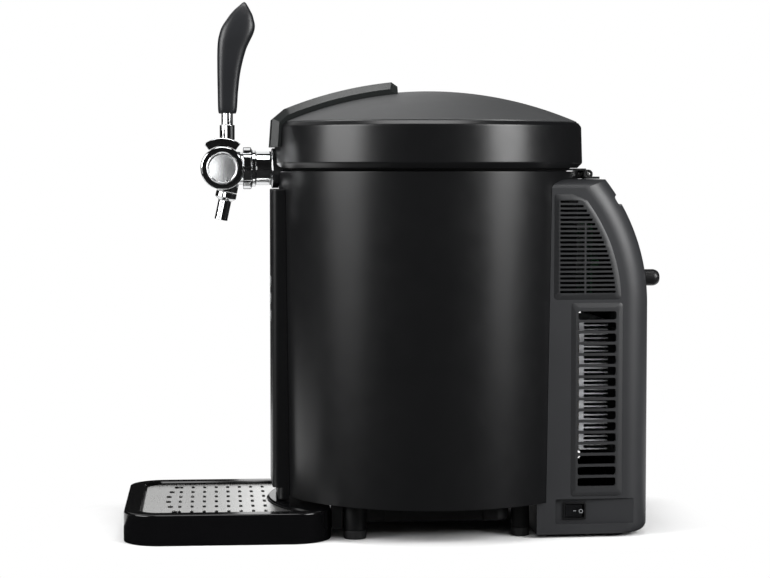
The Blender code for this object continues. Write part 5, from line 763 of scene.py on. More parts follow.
# The upper louvred panel follows the curve of the back
upper_left_x = 0.0917
upper_bottom_z = 0.1896
upper_top_z = 0.2730
upper_top_run = 0.0143
upper_shoulder_z = 0.2680
upper_curve_inset = 0.0245
upper_slot_count = 21
upper_slot_pitch = 0.00356
upper_slot_height = 0.00200
upper_slot_start_x = 0.0962
upper_slot_top_z = 0.2680
upper_slot_end_margin = 0.0045
upper_rib_x = 0.1165
upper_rib_width = 0.0014
upper_rib_first_slot = 5
vent_front_x = 0.1056
vent_rear_x = 0.1473
vent_bottom_z = 0.0330
vent_top_z = 0.1870
vent_slot_front_x = 0.1110
vent_slot_rear_x = 0.1418
vent_slot_pitch = 0.00883
vent_slot_height = 0.0068
vent_slot_top_z = 0.1804
vent_slot_count = 16
frame_slope = 0.0036


def soft_corners(outline, reach=0.0030, steps=6):
    """Round the square corners of a panel's outline and leave its shallow ones alone."""
    softened = []
    for index, corner in enumerate(outline):
        here = Vector(corner)
        back = Vector(outline[index - 1]) - here
        ahead = Vector(outline[(index + 1) % len(outline)]) - here
        if math.degrees(back.angle(ahead)) > 110:
            softened.append(corner)
            continue
        start = here + back.normalized() * reach
        end = here + ahead.normalized() * reach
        for step in range(steps + 1):
            share = step / steps
            softened.append(tuple(start.lerp(here, share).lerp(here.lerp(end, share), share)))
    return softened


def upper_panel_outline(grow):
    radius = curve_radius - upper_curve_inset + grow
    start = math.degrees(math.asin((upper_shoulder_z - curve_z) / radius))
    end = math.degrees(math.asin((upper_bottom_z - grow - curve_z) / radius))
    return soft_corners(
        [(upper_left_x - grow, upper_bottom_z - grow), (upper_left_x - grow, upper_top_z + grow)]
        + [(upper_left_x + upper_top_run + grow / 2, upper_top_z + grow)]
        + arc((curve_x, curve_z), radius, start, end, 24)
    )


def vent_panel_outline(grow):
    return soft_corners([
        (vent_front_x - grow, vent_bottom_z - grow), (vent_rear_x + grow, vent_bottom_z - grow),
        (vent_rear_x + grow, vent_top_z + grow), (vent_front_x - grow, vent_top_z + grow),
    ])


def framed_panel(outline_at, sign):
    """A panel that stands proud of the side wall behind a sloping frame."""
    shape = bmesh.new()
    rings = []
    for grow, proud in ((0.0, -panel_depth), (0.0, 0.0), (-frame_slope, frame_proud)):
        rings.append([
            shape.verts.new((x, sign * (side_wall_y(x) + proud), z)) for x, z in outline_at(grow)
        ])
    return skinned(shape, rings)


def slot_shape(start, end, low, high, sign, rounding):
    return side_prism(rounded_rectangle(start, end, low, high, [rounding] * 4, 4), sign)


def upper_slots(sign):
    end_radius = curve_radius - upper_curve_inset - upper_slot_end_margin
    made = []
    for index in range(upper_slot_count):
        top_z = upper_slot_top_z - index * upper_slot_pitch
        end_x = curve_x + math.sqrt(end_radius**2 - (top_z - curve_z) ** 2)
        if index == 0:
            end_x = upper_left_x + upper_top_run + upper_slot_end_margin
        spans = [(upper_slot_start_x, end_x)]
        if index >= upper_rib_first_slot:
            spans = [(upper_slot_start_x, upper_rib_x - upper_rib_width / 2),
                     (upper_rib_x + upper_rib_width / 2, end_x)]
        for start, end in spans:
            made.append(slot_shape(start, end, top_z - upper_slot_height, top_z, sign, 0.0004))
    return made


def in_a_row(name, shape, count, step, surface):
    """A shape repeated along a line by a Geometry Nodes tree, and made one plain shape again."""
    tree = bpy.data.node_groups.new(name, "GeometryNodeTree")
    tree.interface.new_socket("Piece", in_out="INPUT", socket_type="NodeSocketGeometry")
    count_socket = tree.interface.new_socket("Count", in_out="INPUT", socket_type="NodeSocketInt")
    step_socket = tree.interface.new_socket("Step", in_out="INPUT", socket_type="NodeSocketVector")
    tree.interface.new_socket("Row", in_out="OUTPUT", socket_type="NodeSocketGeometry")
    given = tree.nodes.new("NodeGroupInput")
    line = tree.nodes.new("GeometryNodeMeshLine")
    spread = tree.nodes.new("GeometryNodeInstanceOnPoints")
    real = tree.nodes.new("GeometryNodeRealizeInstances")
    dressed = tree.nodes.new("GeometryNodeSetMaterial")
    dressed.inputs["Material"].default_value = surface
    result = tree.nodes.new("NodeGroupOutput")
    for source, target in (
        (given.outputs["Count"], line.inputs["Count"]), (given.outputs["Step"], line.inputs["Offset"]),
        (line.outputs["Mesh"], spread.inputs["Points"]), (given.outputs["Piece"], spread.inputs["Instance"]),
        (spread.outputs["Instances"], real.inputs["Geometry"]),
        (real.outputs["Geometry"], dressed.inputs["Geometry"]),
        (dressed.outputs["Geometry"], result.inputs["Row"]),
    ):
        tree.links.new(source, target)
    guide = held(shape)
    row = guide.modifiers.new(name, "NODES")
    row.node_group = tree
    row[count_socket.identifier] = count
    row[step_socket.identifier] = step
    mesh = settled(guide)
    dropped(guide)
    made = bmesh.new()
    made.from_mesh(mesh)
    bpy.data.meshes.remove(mesh)
    return made


def vent_slots(sign):
    first = slot_shape(vent_slot_front_x, vent_slot_rear_x, vent_slot_top_z - vent_slot_height,
                       vent_slot_top_z, sign, 0.0018)
    return [in_a_row("vent slots", first, vent_slot_count, (0.0, 0.0, -vent_slot_pitch), louvre_plastic)]


# The switch has a sunk field low in the right side; its floor is backed inside by a thicker wall
field_front_x = 0.0935
field_rear_x = 0.1570
field_bottom_z = 0.0110
field_top_z = 0.0310
field_depth = 0.0012
field_floor_y = field_depth - side_wall_y(field_rear_x)
field_back_y = field_floor_y + 0.0018
switch_x = 0.1094
switch_z = 0.0212
switch_half_length = 0.0092
switch_half_height = 0.0068
switch_body_half_length = 0.0080
switch_body_half_height = 0.0062
inlet_y = 0.0420
inlet_z = 0.0290
inlet_half_width = 0.0135
inlet_half_height = 0.0100
inlet_corner = 0.0030
rear_half_side = 0.0500
rear_corner = 0.0060
grip_angle = 31.5
grip_length = 0.0090
grip_count = 5
grip_span = 0.1460
grip_rib = 0.0050
grip_depth = 0.0100
louvre_plastic = moulded_plastic("louvre plastic", louvre_grey, 0.44)
snap_gap = 0.00004


def inlet_outline(grow):
    return centred(inlet_y, inlet_z, inlet_half_width + grow, inlet_half_height + grow, inlet_corner, 6)


def rear_panel_outline(grow):
    half = rear_half_side + grow
    return centred(0, cooler_z, half, half, rear_corner, 6)


housing_cuts = [
    housing_solid(housing_wall), drum_envelope(drum_bottom_z - seat_gap, housing_top_z + overrun),
]
for side, sign in (("right", -1), ("left", 1)):
    housing_cuts += [side_prism(upper_panel_outline(snap_gap), sign),
                     side_prism(vent_panel_outline(snap_gap), sign)]
    for name, outline_at, slots in (
        ("upper_grille", upper_panel_outline, upper_slots), ("side_vent", vent_panel_outline, vent_slots),
    ):
        finished(f"{name}_{side}_moulding", worked(framed_panel(outline_at, sign), slots(sign)),
                 louvre_plastic, replaced=[f"{name}_{side}"], edge=0.00025, sharp=24.0)
housing_cuts.append(prism(rear_panel_outline(seat_gap), housing_rear_x - shoulder_radius,
                          housing_rear_x + overrun, "X"))
housing_cuts.append(prism(inlet_outline(seat_gap), housing_rear_x - 2 * housing_wall,
                          housing_rear_x + overrun, "X"))
grip_width = (grip_span - grip_rib * (grip_count - 1)) / grip_count
for index in range(grip_count):
    start = -grip_span / 2 + index * (grip_width + grip_rib)
    grip = prism(
        rounded_rectangle(start, start + grip_width, -grip_length / 2, grip_length / 2, [0.0022] * 4, 6),
        curve_radius - grip_depth, curve_radius + overrun, "X",
    )
    bmesh.ops.rotate(grip, verts=grip.verts, matrix=Matrix.Rotation(-math.radians(grip_angle), 3, "Y"))
    bmesh.ops.translate(grip, verts=grip.verts, vec=(curve_x, 0, curve_z))
    housing_cuts.append(grip)
housing_shape = worked(housing_solid(0.0), housing_cuts)
backing_front_x = field_front_x - housing_wall / 2
backing_rear_x = field_rear_x + housing_wall / 2
backing_lap = housing_wall - 0.0006
backing = prism(
    [
        (backing_front_x, backing_lap - side_wall_y(backing_front_x)),
        (backing_rear_x, backing_lap - side_wall_y(backing_rear_x)),
        (backing_rear_x, field_back_y),
        (backing_front_x, field_back_y),
    ],
    field_bottom_z - housing_wall, field_top_z + housing_wall / 2,
)
housing_shape = worked(housing_shape, [backing], "UNION")
housing_shape = worked(housing_shape, [
    prism(rounded_rectangle(field_front_x, field_rear_x, field_bottom_z, field_top_z, [0.0012] * 4, 4),
          -housing_front_half - overrun, field_floor_y, "Y"),
    block(
        (switch_x - switch_body_half_length - seat_gap, field_floor_y - overrun,
         switch_z - switch_body_half_height - seat_gap),
        (switch_x + switch_body_half_length + seat_gap, field_back_y + overrun,
         switch_z + switch_body_half_height + seat_gap),
    ),
])
housing_plastic = moulded_plastic("charcoal plastic", charcoal, 0.44)
finished("rear_housing_moulding", housing_shape, housing_plastic, replaced=["rear_housing"],
         edge=0.00045, sharp=28.0)

rear_slot_count = 11
rear_slot_height = 0.0048
rear_slot_margin = 0.0060
rear_rib_width = 0.0040
rear_reach = rear_half_side - rear_slot_margin
rear_pitch = (2 * rear_reach - rear_slot_height) / (rear_slot_count - 1)
rear_slots = []
for start, end in ((-rear_reach, -rear_rib_width / 2), (rear_rib_width / 2, rear_reach)):
    low_z = cooler_z - rear_reach
    rear_slot = prism(
        rounded_rectangle(start, end, low_z, low_z + rear_slot_height, [0.0022] * 4, 5),
        housing_rear_x - grille_depth - overrun, housing_rear_x + overrun, "X",
    )
    rear_slots.append(in_a_row("rear slots", rear_slot, rear_slot_count, (0.0, 0.0, rear_pitch),
                               louvre_plastic))
rear_panel = prism(rear_panel_outline(0.0), housing_rear_x - shoulder_radius, housing_rear_x + overrun, "X")
rear_panel = worked(worked(rear_panel, [housing_solid(0.0)], "INTERSECT"),
                    [housing_solid(grille_depth)] + rear_slots)
finished("rear_grille_moulding", rear_panel, louvre_plastic, replaced=["rear_grille"],
         edge=0.0003)

# The power switch: a snap-in rocker of gloss black plastic in a moulded frame, with the usual line and ring
# for on and off printed in grey, and the mains inlet in the back with its three brass blades.
switch_rim = 0.0012
switch_face_y = field_floor_y - seat_gap - switch_rim
switch_depth = 0.0170
well_half_length = 0.0076
well_half_height = 0.0054
well_depth = 0.0100
rocker_half_length = 0.0066
rocker_half_height = 0.0048
rocker_pivot_y = switch_face_y + 0.0052
rocker_corner_height = 0.0062
rocker_middle_height = 0.0050
rocker_tilt = 8.0
deep_black = (0.0058, 0.0058, 0.0063, 1.0)
switch_plastic = moulded_plastic("switch frame plastic", deep_black, 0.34)
switch_shape = rounded_slab(
    lambda inset: centred(switch_x, switch_z, switch_half_length - inset, switch_half_height - inset,
                          0.0009, 4),
    switch_face_y, field_floor_y - seat_gap, 0.0005, 0.0, "Y",
)
switch_shape = worked(switch_shape, [block(
    (switch_x - switch_body_half_length, switch_face_y + 0.0006, switch_z - switch_body_half_height),
    (switch_x + switch_body_half_length, switch_face_y + switch_depth, switch_z + switch_body_half_height),
)], "UNION")
switch_shape = worked(switch_shape, [prism(
    centred(switch_x, switch_z, well_half_length, well_half_height, 0.0005, 3),
    switch_face_y - overrun, switch_face_y + well_depth, "Y",
)])
finished("switch_frame", switch_shape, switch_plastic, replaced=["switch_body"])


def rocker_top(along):
    """Height of the rocker's dished face over its pivot."""
    share = abs(along) / rocker_half_length
    return rocker_middle_height + (rocker_corner_height - rocker_middle_height) * share**1.6


def on_rocker(shape):
    """Tilt a shape that was drawn about the pivot, and set it in the switch."""
    bmesh.ops.rotate(shape, verts=shape.verts, matrix=Matrix.Rotation(-math.radians(rocker_tilt), 3, "Z"))
    bmesh.ops.translate(shape, verts=shape.verts, vec=(switch_x, rocker_pivot_y, switch_z))
    return shape


dish = [rocker_half_length * (step / 12 - 1) for step in range(25)]
rocker_outline = [(along, -rocker_top(along)) for along in dish] + [
    (rocker_half_length, 0), (0.0030, 0.0030), (-0.0030, 0.0030), (-rocker_half_length, 0),
]
rocker_gloss = Surface("rocker plastic", gloss_black, 0.16)
rocker_wear = rocker_gloss.noise(0.003, 3.0)
rocker_gloss.vary(rocker_wear, gloss_black, shade(gloss_black, 1.5), 0.12, 0.10, 0.00001)
finished("rocker_cap", on_rocker(prism(rocker_outline, -rocker_half_height, rocker_half_height)),
         rocker_gloss.material, "rocker", replaced=["switch_rocker"],
         edge=0.0003, sharp=30.0)


def rocker_mark(outline):
    """A printed sign on the rocker's face, laid on its dish."""
    shape = prism(outline, -0.00008, 0.00003, "Y")
    for corner in shape.verts:
        corner.co.y -= rocker_top(corner.co.x)
    return on_rocker(shape)


line_mark = [(-0.0003, -0.00020), (0.0018, -0.00020), (0.0018, 0.00020), (-0.0003, 0.00020)]
ring_outer, ring_inner, ring_place = 0.00160, 0.00120, 0.0056
ring_mark = (
    arc((ring_place, 0), ring_outer, 0.5, 359.5, 32) + arc((ring_place, 0), ring_inner, 359.5, 0.5, 32)
)
sign_grey = moulded_plastic("grey printed ink", (0.34, 0.35, 0.36, 1.0), 0.55, depth=0.000004, contrast=0.05)
finished("rocker_line_sign", rocker_mark(line_mark), sign_grey, "rocker")
finished("rocker_ring_sign", rocker_mark(ring_mark), sign_grey, "rocker")

inlet_wall = 0.0015
inlet_depth = 0.0180
inlet_flange = 0.0030
inlet_flange_thickness = 0.0015
inlet_mouth_x = housing_rear_x + seat_gap + inlet_flange_thickness
inlet_plate = rounded_slab(
    lambda inset: inlet_outline(inlet_flange - inset), housing_rear_x + seat_gap, inlet_mouth_x,
    0.0, 0.0006, "X",
)
inlet_cup = prism(
    inlet_outline(0.0), inlet_mouth_x - inlet_depth, inlet_mouth_x - inlet_flange_thickness / 2, "X",
)
inlet_shape = worked(inlet_plate, [inlet_cup], "UNION")
inlet_shape = worked(inlet_shape, [
    prism(inlet_outline(-inlet_wall), inlet_mouth_x - inlet_depth + inlet_wall, inlet_mouth_x + overrun, "X")
])
finished("inlet_moulding", inlet_shape, switch_plastic, replaced=["power_inlet"],
         edge=0.0002)

brass = Surface("plated blades", (0.62, 0.60, 0.55, 1.0), 0.3, metallic=1.0)
brass_marks = brass.noise(0.0008, 3.0, brass.stretched(0.2, 1.0, 1.0))
brass.vary(brass_marks, (0.52, 0.50, 0.45, 1.0), (0.68, 0.66, 0.61, 1.0), 0.22, 0.2, 0.00001)
blade_half_width = 0.0010
blade_half_height = 0.0020
blade_tip_x = inlet_mouth_x - 0.0060
for index, (across, up) in enumerate(((-0.52, -0.15), (0.0, 0.20), (0.52, -0.15))):
    blade_y, blade_z = inlet_y + inlet_half_width * across, inlet_z + inlet_half_height * up
    blade = rounded_slab(
        lambda inset: centred(blade_y, blade_z, blade_half_width - inset, blade_half_height - inset,
                              0.0006 - inset * 0.5, 3),
        inlet_mouth_x - inlet_depth + inlet_wall - 0.0004, blade_tip_x, 0.0, 0.0006, "X",
    )
    finished(f"inlet_blade_{index + 1}", blade, brass.material)

# The cooling machinery behind the drum: a thermoelectric module between an aluminium cold block and an
# extruded heat sink, a 92 mm fan that blows through the fins, and the supply board above them. The fan is
# remade here with curved blades; the rest keeps its CAD shape under metal, ceramic and lacquer.
fan_front_x = 0.1423
fan_depth = 0.0245
fan_rear_x = fan_front_x + fan_depth
fan_side = 0.0920
fan_duct_radius = 0.0440
fan_corner = 0.0060
fan_screw_half = 0.0825 / 2
fan_screw_radius = 0.0021
fan_hub_radius = 0.0180
fan_motor_x = fan_rear_x - 0.0040
fan_strut = 0.0050
fan_blade_radius = 0.0425
fan_blade_count = 7
rotor_rear_x = fan_motor_x - running_gap
rotor_front_x = rotor_rear_x - 0.0180
steel = (0.56, 0.56, 0.55, 1.0)


def milled_metal(name, colour, roughness, run=(1.0, 0.05, 0.05), size=0.0012):
    """Extruded or milled metal with fine lines along its run."""
    surface = Surface(name, colour, roughness, metallic=1.0)
    lines = surface.noise(size, 3.0, surface.stretched(*run))
    surface.set("Base Color", surface.mix(lines, shade(colour, 0.88), shade(colour, 1.05)))
    surface.set("Roughness", roughness + (lines - 0.5) * 0.2)
    surface.relief(lines, 0.00001)
    return surface.material


extruded = milled_metal("extruded aluminium", aluminium, 0.36, (1.0, 0.05, 1.0))
ceramic_white = (0.80, 0.80, 0.78, 1.0)
ceramic = Surface("sintered ceramic", ceramic_white, 0.55)
ceramic_grain = ceramic.noise(0.0006, 3.0)
ceramic.vary(ceramic_grain, shade(ceramic_white, 0.92), shade(ceramic_white, 1.02), 0.48, 0.15, 0.00001)
coated(("heat_sink", "cold_block"), extruded)
coated(("tec_module",), ceramic.material)

fan_plastic = moulded_plastic("fan plastic", deep_black, 0.45)
fan_half = fan_side / 2
frame_shape = prism(centred(0, cooler_z, fan_half, fan_half, fan_corner, 8), fan_front_x, fan_rear_x, "X")
duct_lead = 0.0030
duct_mouth = fan_duct_radius + 0.0010
duct = eased([
    (0, fan_front_x - overrun), (duct_mouth, fan_front_x - overrun), (duct_mouth, fan_front_x),
    (fan_duct_radius, fan_front_x + duct_lead), (fan_duct_radius, fan_rear_x - duct_lead),
    (duct_mouth, fan_rear_x), (duct_mouth, fan_rear_x + overrun), (0, fan_rear_x + overrun),
], 0.0006)
fan_bores = [turned(duct, 128, (0, 0, cooler_z), "X")]
for y_sign in (-1, 1):
    for z_sign in (-1, 1):
        fan_bores.append(rod(fan_screw_radius, fan_front_x - overrun, fan_rear_x + overrun, 24,
                             (0, y_sign * fan_screw_half, cooler_z + z_sign * fan_screw_half), "X"))
frame_shape = worked(frame_shape, fan_bores)
strut_reach = fan_duct_radius + fan_strut / 4
half_strut = fan_strut / 2
frame_shape = worked(frame_shape, [
    block(
        (fan_motor_x, -strut_reach, cooler_z - half_strut),
        (fan_rear_x - seat_gap, strut_reach, cooler_z + half_strut),
    ),
    block(
        (fan_motor_x, -half_strut, cooler_z - strut_reach),
        (fan_rear_x - seat_gap, half_strut, cooler_z + strut_reach),
    ),
    rod(fan_hub_radius, fan_motor_x, fan_rear_x - seat_gap, 96, (0, 0, cooler_z), "X"),
], "UNION")
finished("fan_frame_moulding", frame_shape, fan_plastic, replaced=["fan_frame"],
         edge=0.0003)

hub_profile = [(0, rotor_front_x), (fan_hub_radius, rotor_front_x), (fan_hub_radius, rotor_rear_x),
               (0, rotor_rear_x)]
hub = turned(eased(hub_profile, 0.0020), 96, (0, 0, cooler_z), "X")
blade_root = fan_hub_radius - 0.0012
blade_margin = 0.0012
blade_half_thickness = 0.0007
blade_steps = 8
blades = []
for index in range(fan_blade_count):
    turn = Matrix.Rotation(math.tau * index / fan_blade_count, 3, "X")
    blade = bmesh.new()
    rings = []
    for radial in range(blade_steps + 1):
        outward = radial / blade_steps
        radius = blade_root + (fan_blade_radius - blade_root) * outward
        lean = math.radians(17 - 7 * outward)
        cross = []
        for side, order in ((-1, range(blade_steps + 1)), (1, range(blade_steps, -1, -1))):
            for step in order:
                share = step / blade_steps
                x = rotor_front_x + blade_margin + (rotor_rear_x - rotor_front_x - 2 * blade_margin) * share
                camber = math.radians(5.0) * math.sin(math.pi * share)
                angle = lean * (2 * share - 1) * fan_hub_radius / radius * 1.6 + camber
                angle += math.radians(9 * outward)
                thick = blade_half_thickness * (0.35 + 0.65 * math.sin(math.pi * (0.08 + 0.84 * share)))
                centre = Vector((x, radius * math.sin(angle) + side * thick, radius * math.cos(angle)))
                cross.append(blade.verts.new(turn @ centre + Vector((0, 0, cooler_z))))
        rings.append(cross)
    blades.append(skinned(blade, rings))
finished("fan_rotor_moulding", worked(hub, blades, "UNION"), fan_plastic, "fan", replaced=["fan_rotor"],
         sharp=38.0)

# Two rubber bumpers on the curve of the back, which hold the vents off a wall.
bumper_y = 0.0585
bumper_z = 0.2058
bumper_radius = 0.0066
bumper_tip_x = 0.1812
bumper_root_x = housing_rear_x - shoulder_radius
bumper_rubber = rubber("bumper rubber", (0.0070, 0.0070, 0.0074, 1.0), 0.34)
bumper_profile = [
    (0, bumper_root_x), (bumper_radius, bumper_root_x), (bumper_radius, bumper_tip_x - 0.0042),
    (bumper_radius - 0.0022, bumper_tip_x - 0.0008), (0, bumper_tip_x),
]
for side, sign in (("right", -1), ("left", 1)):
    bumper = turned(eased(bumper_profile, 0.0050, steps=10), 64, (0, sign * bumper_y, bumper_z), "X")
    finished(f"bumper_{side}_rubber", worked(bumper, [housing_solid(-seat_gap)]), bumper_rubber,
             replaced=[f"bumper_{side}"])

# The lid: a domed shell of matt black plastic with a raised, chamfered band over its front, an inner cup
# that clears the keg's tapping head, foam between the two and a lip gasket. Its arm turns on a steel pin
# behind.
lid_bottom_z = 0.2935
lid_bottom_radius = 0.1262
lid_bottom_chamfer = 0.0040
lid_shoulder_radius = 0.1253
lid_shoulder_z = 0.3268
lid_rim_radius = 0.1216
lid_rim_z = 0.3310
lid_apex_z = 0.3562
lid_wall = 0.0025
lid_liner_radius = 0.0950
lid_liner_top_z = 0.3360
lid_liner_wall = 0.0015
lid_flange_radius = 0.1190
lid_flange_thickness = 0.0020
gasket_inner_radius = 0.0990
gasket_outer_radius = 0.1165
collar_radius = 0.0162
dome_rise = lid_apex_z - lid_rim_z
dome_radius = (lid_rim_radius**2 + dome_rise**2) / (2 * dome_rise)
dome_centre_z = lid_apex_z - dome_radius
# The dome's grey is partly its matt finish and partly painted top light: lighter than the sides' black, for
# the light its top catches from above.
dome_grey_with_painted_light = (0.0400, 0.0411, 0.0420, 1.0)


def dome_height(radius, offset=0.0):
    """Height of the dome, or of a surface a given offset above it, at a radius."""
    return dome_centre_z + math.sqrt((dome_radius + offset) ** 2 - radius**2)


def dome_points(outer_radius, offset, steps=40):
    """Profile points from a radius on the dome in to the axis."""
    radii = [outer_radius * (1 - step / steps) for step in range(steps + 1)]
    return [(radius, dome_height(radius, offset)) for radius in radii]


def lid_profile(inset):
    """Profile of the lid drawn in by an inset, from its foot up to the axis: upright side, step and dome."""
    side = [
        (lid_bottom_radius - lid_bottom_chamfer - inset, lid_bottom_z),
        (lid_bottom_radius - inset, lid_bottom_z + lid_bottom_chamfer),
        (lid_shoulder_radius - inset, lid_shoulder_z - inset / 2),
    ]
    if inset:
        return side + dome_points(lid_rim_radius - inset, -inset)
    step = [
        (lid_rim_radius + 0.0012, lid_rim_z - 0.0010),
        (lid_rim_radius + 0.0006, lid_rim_z - 0.0016),
        (lid_rim_radius, lid_rim_z - 0.0012),
    ]
    dome = dome_points(lid_rim_radius, 0.0)
    return eased(side + step + dome[:2], 0.0009) + dome[2:]


def lid_bore(radius, end_x):
    return rod(radius, -lid_bottom_radius - overrun, end_x, 96, (0, 0, tap_z), "X")


def shank_channel():
    return lid_bore(backnut_radius + 2 * running_gap, overrun - liner_inner_radius)


# Matt plastic for the dome, whose lighter colour carries painted top light.
dome_plastic_with_painted_light = moulded_plastic("matt lid plastic", dome_grey_with_painted_light, 0.52, grain=0.0006, depth=0.00002)
lid_blank = turned(lid_profile(lid_wall)[::-1] + lid_profile(0.0))
lid_shape = worked(lid_blank, [lid_bore(collar_radius + running_gap, -liner_outer_radius)])
lid_made = finished("lid_shell_moulding", lid_shape, drum_plastic, "lid", replaced=["lid_shell"],
                    sharp=38.0)
# The dome's upward faces take the lighter plastic, so the top of the lid carries painted top light over the
# satin black of its sides.
lid_made.data.materials.append(dome_plastic_with_painted_light)
for face in lid_made.data.polygons:
    across = math.hypot(face.center.x - drum_axis_x, face.center.y)
    if across < lid_rim_radius + 0.0004 and face.center.z > lid_rim_z - 0.0020 and face.normal.z > 0:
        face.material_index = 1

flange_z = lid_bottom_z + seat_gap
flange_top_z = flange_z + lid_flange_thickness
cup_outer = lid_liner_radius + lid_liner_wall
inner_cup = [
    (0, lid_liner_top_z - lid_liner_wall), (lid_liner_radius, lid_liner_top_z - lid_liner_wall),
    (lid_liner_radius, flange_z), (lid_flange_radius, flange_z), (lid_flange_radius, flange_top_z),
    (cup_outer, flange_top_z), (cup_outer, lid_liner_top_z), (0, lid_liner_top_z),
]
finished("lid_inner_cup", worked(turned(eased(inner_cup, 0.0030)), [shank_channel()]),
         moulded_plastic("inner cup plastic", charcoal, 0.36), "lid", replaced=["lid_liner"],
         sharp=38.0)

lip_squeeze = 0.0002
seal_low = drum_top_z - lip_squeeze
lip = [
    (gasket_inner_radius, lid_bottom_z), (gasket_inner_radius + 0.0022, seal_low + 0.0011),
    (gasket_inner_radius + 0.0034, seal_low), (gasket_inner_radius + 0.0060, seal_low + 0.0012),
    (gasket_outer_radius - 0.0060, seal_low + 0.0012), (gasket_outer_radius - 0.0034, seal_low),
    (gasket_outer_radius - 0.0022, seal_low + 0.0011), (gasket_outer_radius, lid_bottom_z),
]
finished("lid_lip_gasket", worked(turned(eased(lip, 0.0008, closed=True)), [shank_channel()]), foot_rubber,
         "lid", replaced=["lid_gasket"])

# The band: a thick strip that follows the dome, with wide chamfers along its sides, front and tail
band_thickness = 0.0080
band_half_width = 0.0340
band_chamfer = 0.0055
band_bottom_z = 0.3105
band_face_bottom_x = -0.1300
band_face_top = (-0.1284, 0.3330)
band_brow_x = -0.1193
band_crown_rear_x = -0.0326
band_rear_x = -0.0276
band_rear_drop = 0.0035
crown_steps = 24
crown = []
for step in range(crown_steps + 1):
    x = band_brow_x + (band_crown_rear_x - band_brow_x) * step / crown_steps
    crown.append((x, dome_height(abs(x), band_thickness)))
tail_z = crown[-1][1] - band_rear_drop
band_outline = (
    [(band_face_bottom_x, band_bottom_z), band_face_top] + crown
    + [(band_rear_x, tail_z), (band_rear_x, lid_liner_top_z), (-lid_liner_radius, lid_shoulder_z),
       (-lid_liner_radius, band_bottom_z)]
)
band_shape = prism(band_outline, -band_half_width, band_half_width, "Y")
shoulders = []
for side_edge in band_shape.edges:
    first, second = (corner.co for corner in side_edge.verts)
    same_side = first.y * second.y > 0
    on_face = max(first.x, second.x) < band_face_top[0] + 0.00001
    on_crown = min(first.z, second.z) > band_face_top[1] - 0.00001 and max(first.x, second.x) < band_rear_x
    at_tail = min(first.z, second.z) > tail_z - 0.00001
    if same_side and (on_face or on_crown or at_tail):
        shoulders.append(side_edge)
bmesh.ops.bevel(band_shape, geom=shoulders, offset=band_chamfer, segments=1, affect="EDGES",
                clamp_overlap=True)
lid_space = turned(
    [(0, band_bottom_z - overrun), (lid_bottom_radius + seat_gap, band_bottom_z - overrun)]
    + [(lid_shoulder_radius + seat_gap, lid_shoulder_z)] + dome_points(lid_rim_radius + seat_gap, seat_gap)
)
band_plastic = moulded_plastic("band plastic", (0.0095, 0.0108, 0.0106, 1.0), 0.34)
finished("lid_band_moulding", worked(band_shape, [lid_space]), band_plastic, "lid", replaced=["lid_band"],
         edge=0.0007, sharp=16.0, edge_steps=3)

hinge_x = 0.1279
hinge_z = 0.2886
knuckle_radius = 0.0037
hinge_pin_radius = 0.0016
arm_half_width = 0.0200
knuckle_length = 0.0100
ear_half_width = 0.0400
hinge_plate_thickness = 0.0018
hinge_plate_rear_x = 0.1354
arm_front_x = 0.1176
hinge_plastic = moulded_plastic("hinge plastic", deep_black, 0.44)
hinge_centre = (hinge_x, 0, hinge_z)
arm = worked(rod(knuckle_radius, -arm_half_width, arm_half_width, 48, hinge_centre, "Y"), [
    block((arm_front_x, -arm_half_width, drum_top_z + running_gap),
          (hinge_x, arm_half_width, lid_bottom_z - seat_gap)),
], "UNION")
arm = worked(arm, [rod(hinge_pin_radius + seat_gap, -arm_half_width - overrun, arm_half_width + overrun, 32,
                       hinge_centre, "Y")])
finished("lid_hinge_knuckle", arm, hinge_plastic, "lid", replaced=["lid_hinge_arm"],
         edge=0.0003)
bracket_z = housing_top_z + seat_gap
bracket_top_z = bracket_z + hinge_plate_thickness
ear_inner = arm_half_width + seat_gap
bracket_parts = []
for sign in (-1, 1):
    near, far = sorted((sign * ear_inner, sign * ear_half_width))
    low, high = sorted((sign * ear_inner, sign * (ear_inner + knuckle_length)))
    bracket_parts.append(block((hinge_x - knuckle_radius, near, bracket_z),
                               (hinge_plate_rear_x, far, bracket_top_z)))
    bracket_parts.append(rod(knuckle_radius, low, high, 48, hinge_centre, "Y"))
bracket = worked(block((hinge_x + knuckle_radius + running_gap, -ear_half_width, bracket_z),
                       (hinge_plate_rear_x, ear_half_width, bracket_top_z)), bracket_parts, "UNION")
pin_reach = ear_inner + knuckle_length
bracket = worked(bracket, [rod(hinge_pin_radius + seat_gap, -pin_reach - overrun, pin_reach + overrun, 32,
                               hinge_centre, "Y")])
finished("hinge_bracket_moulding", bracket, hinge_plastic, replaced=["hinge_bracket"],
         edge=0.0003)
pin_profile = eased(
    [(0, -pin_reach), (hinge_pin_radius, -pin_reach), (hinge_pin_radius, pin_reach), (0, pin_reach)], 0.0004,
)
brushed = milled_metal("brushed steel", steel, 0.32, (0.05, 1.0, 1.0), 0.0006)
finished("hinge_pin_bar", turned(pin_profile, 32, hinge_centre, "Y"), brushed, replaced=["hinge_pin"])

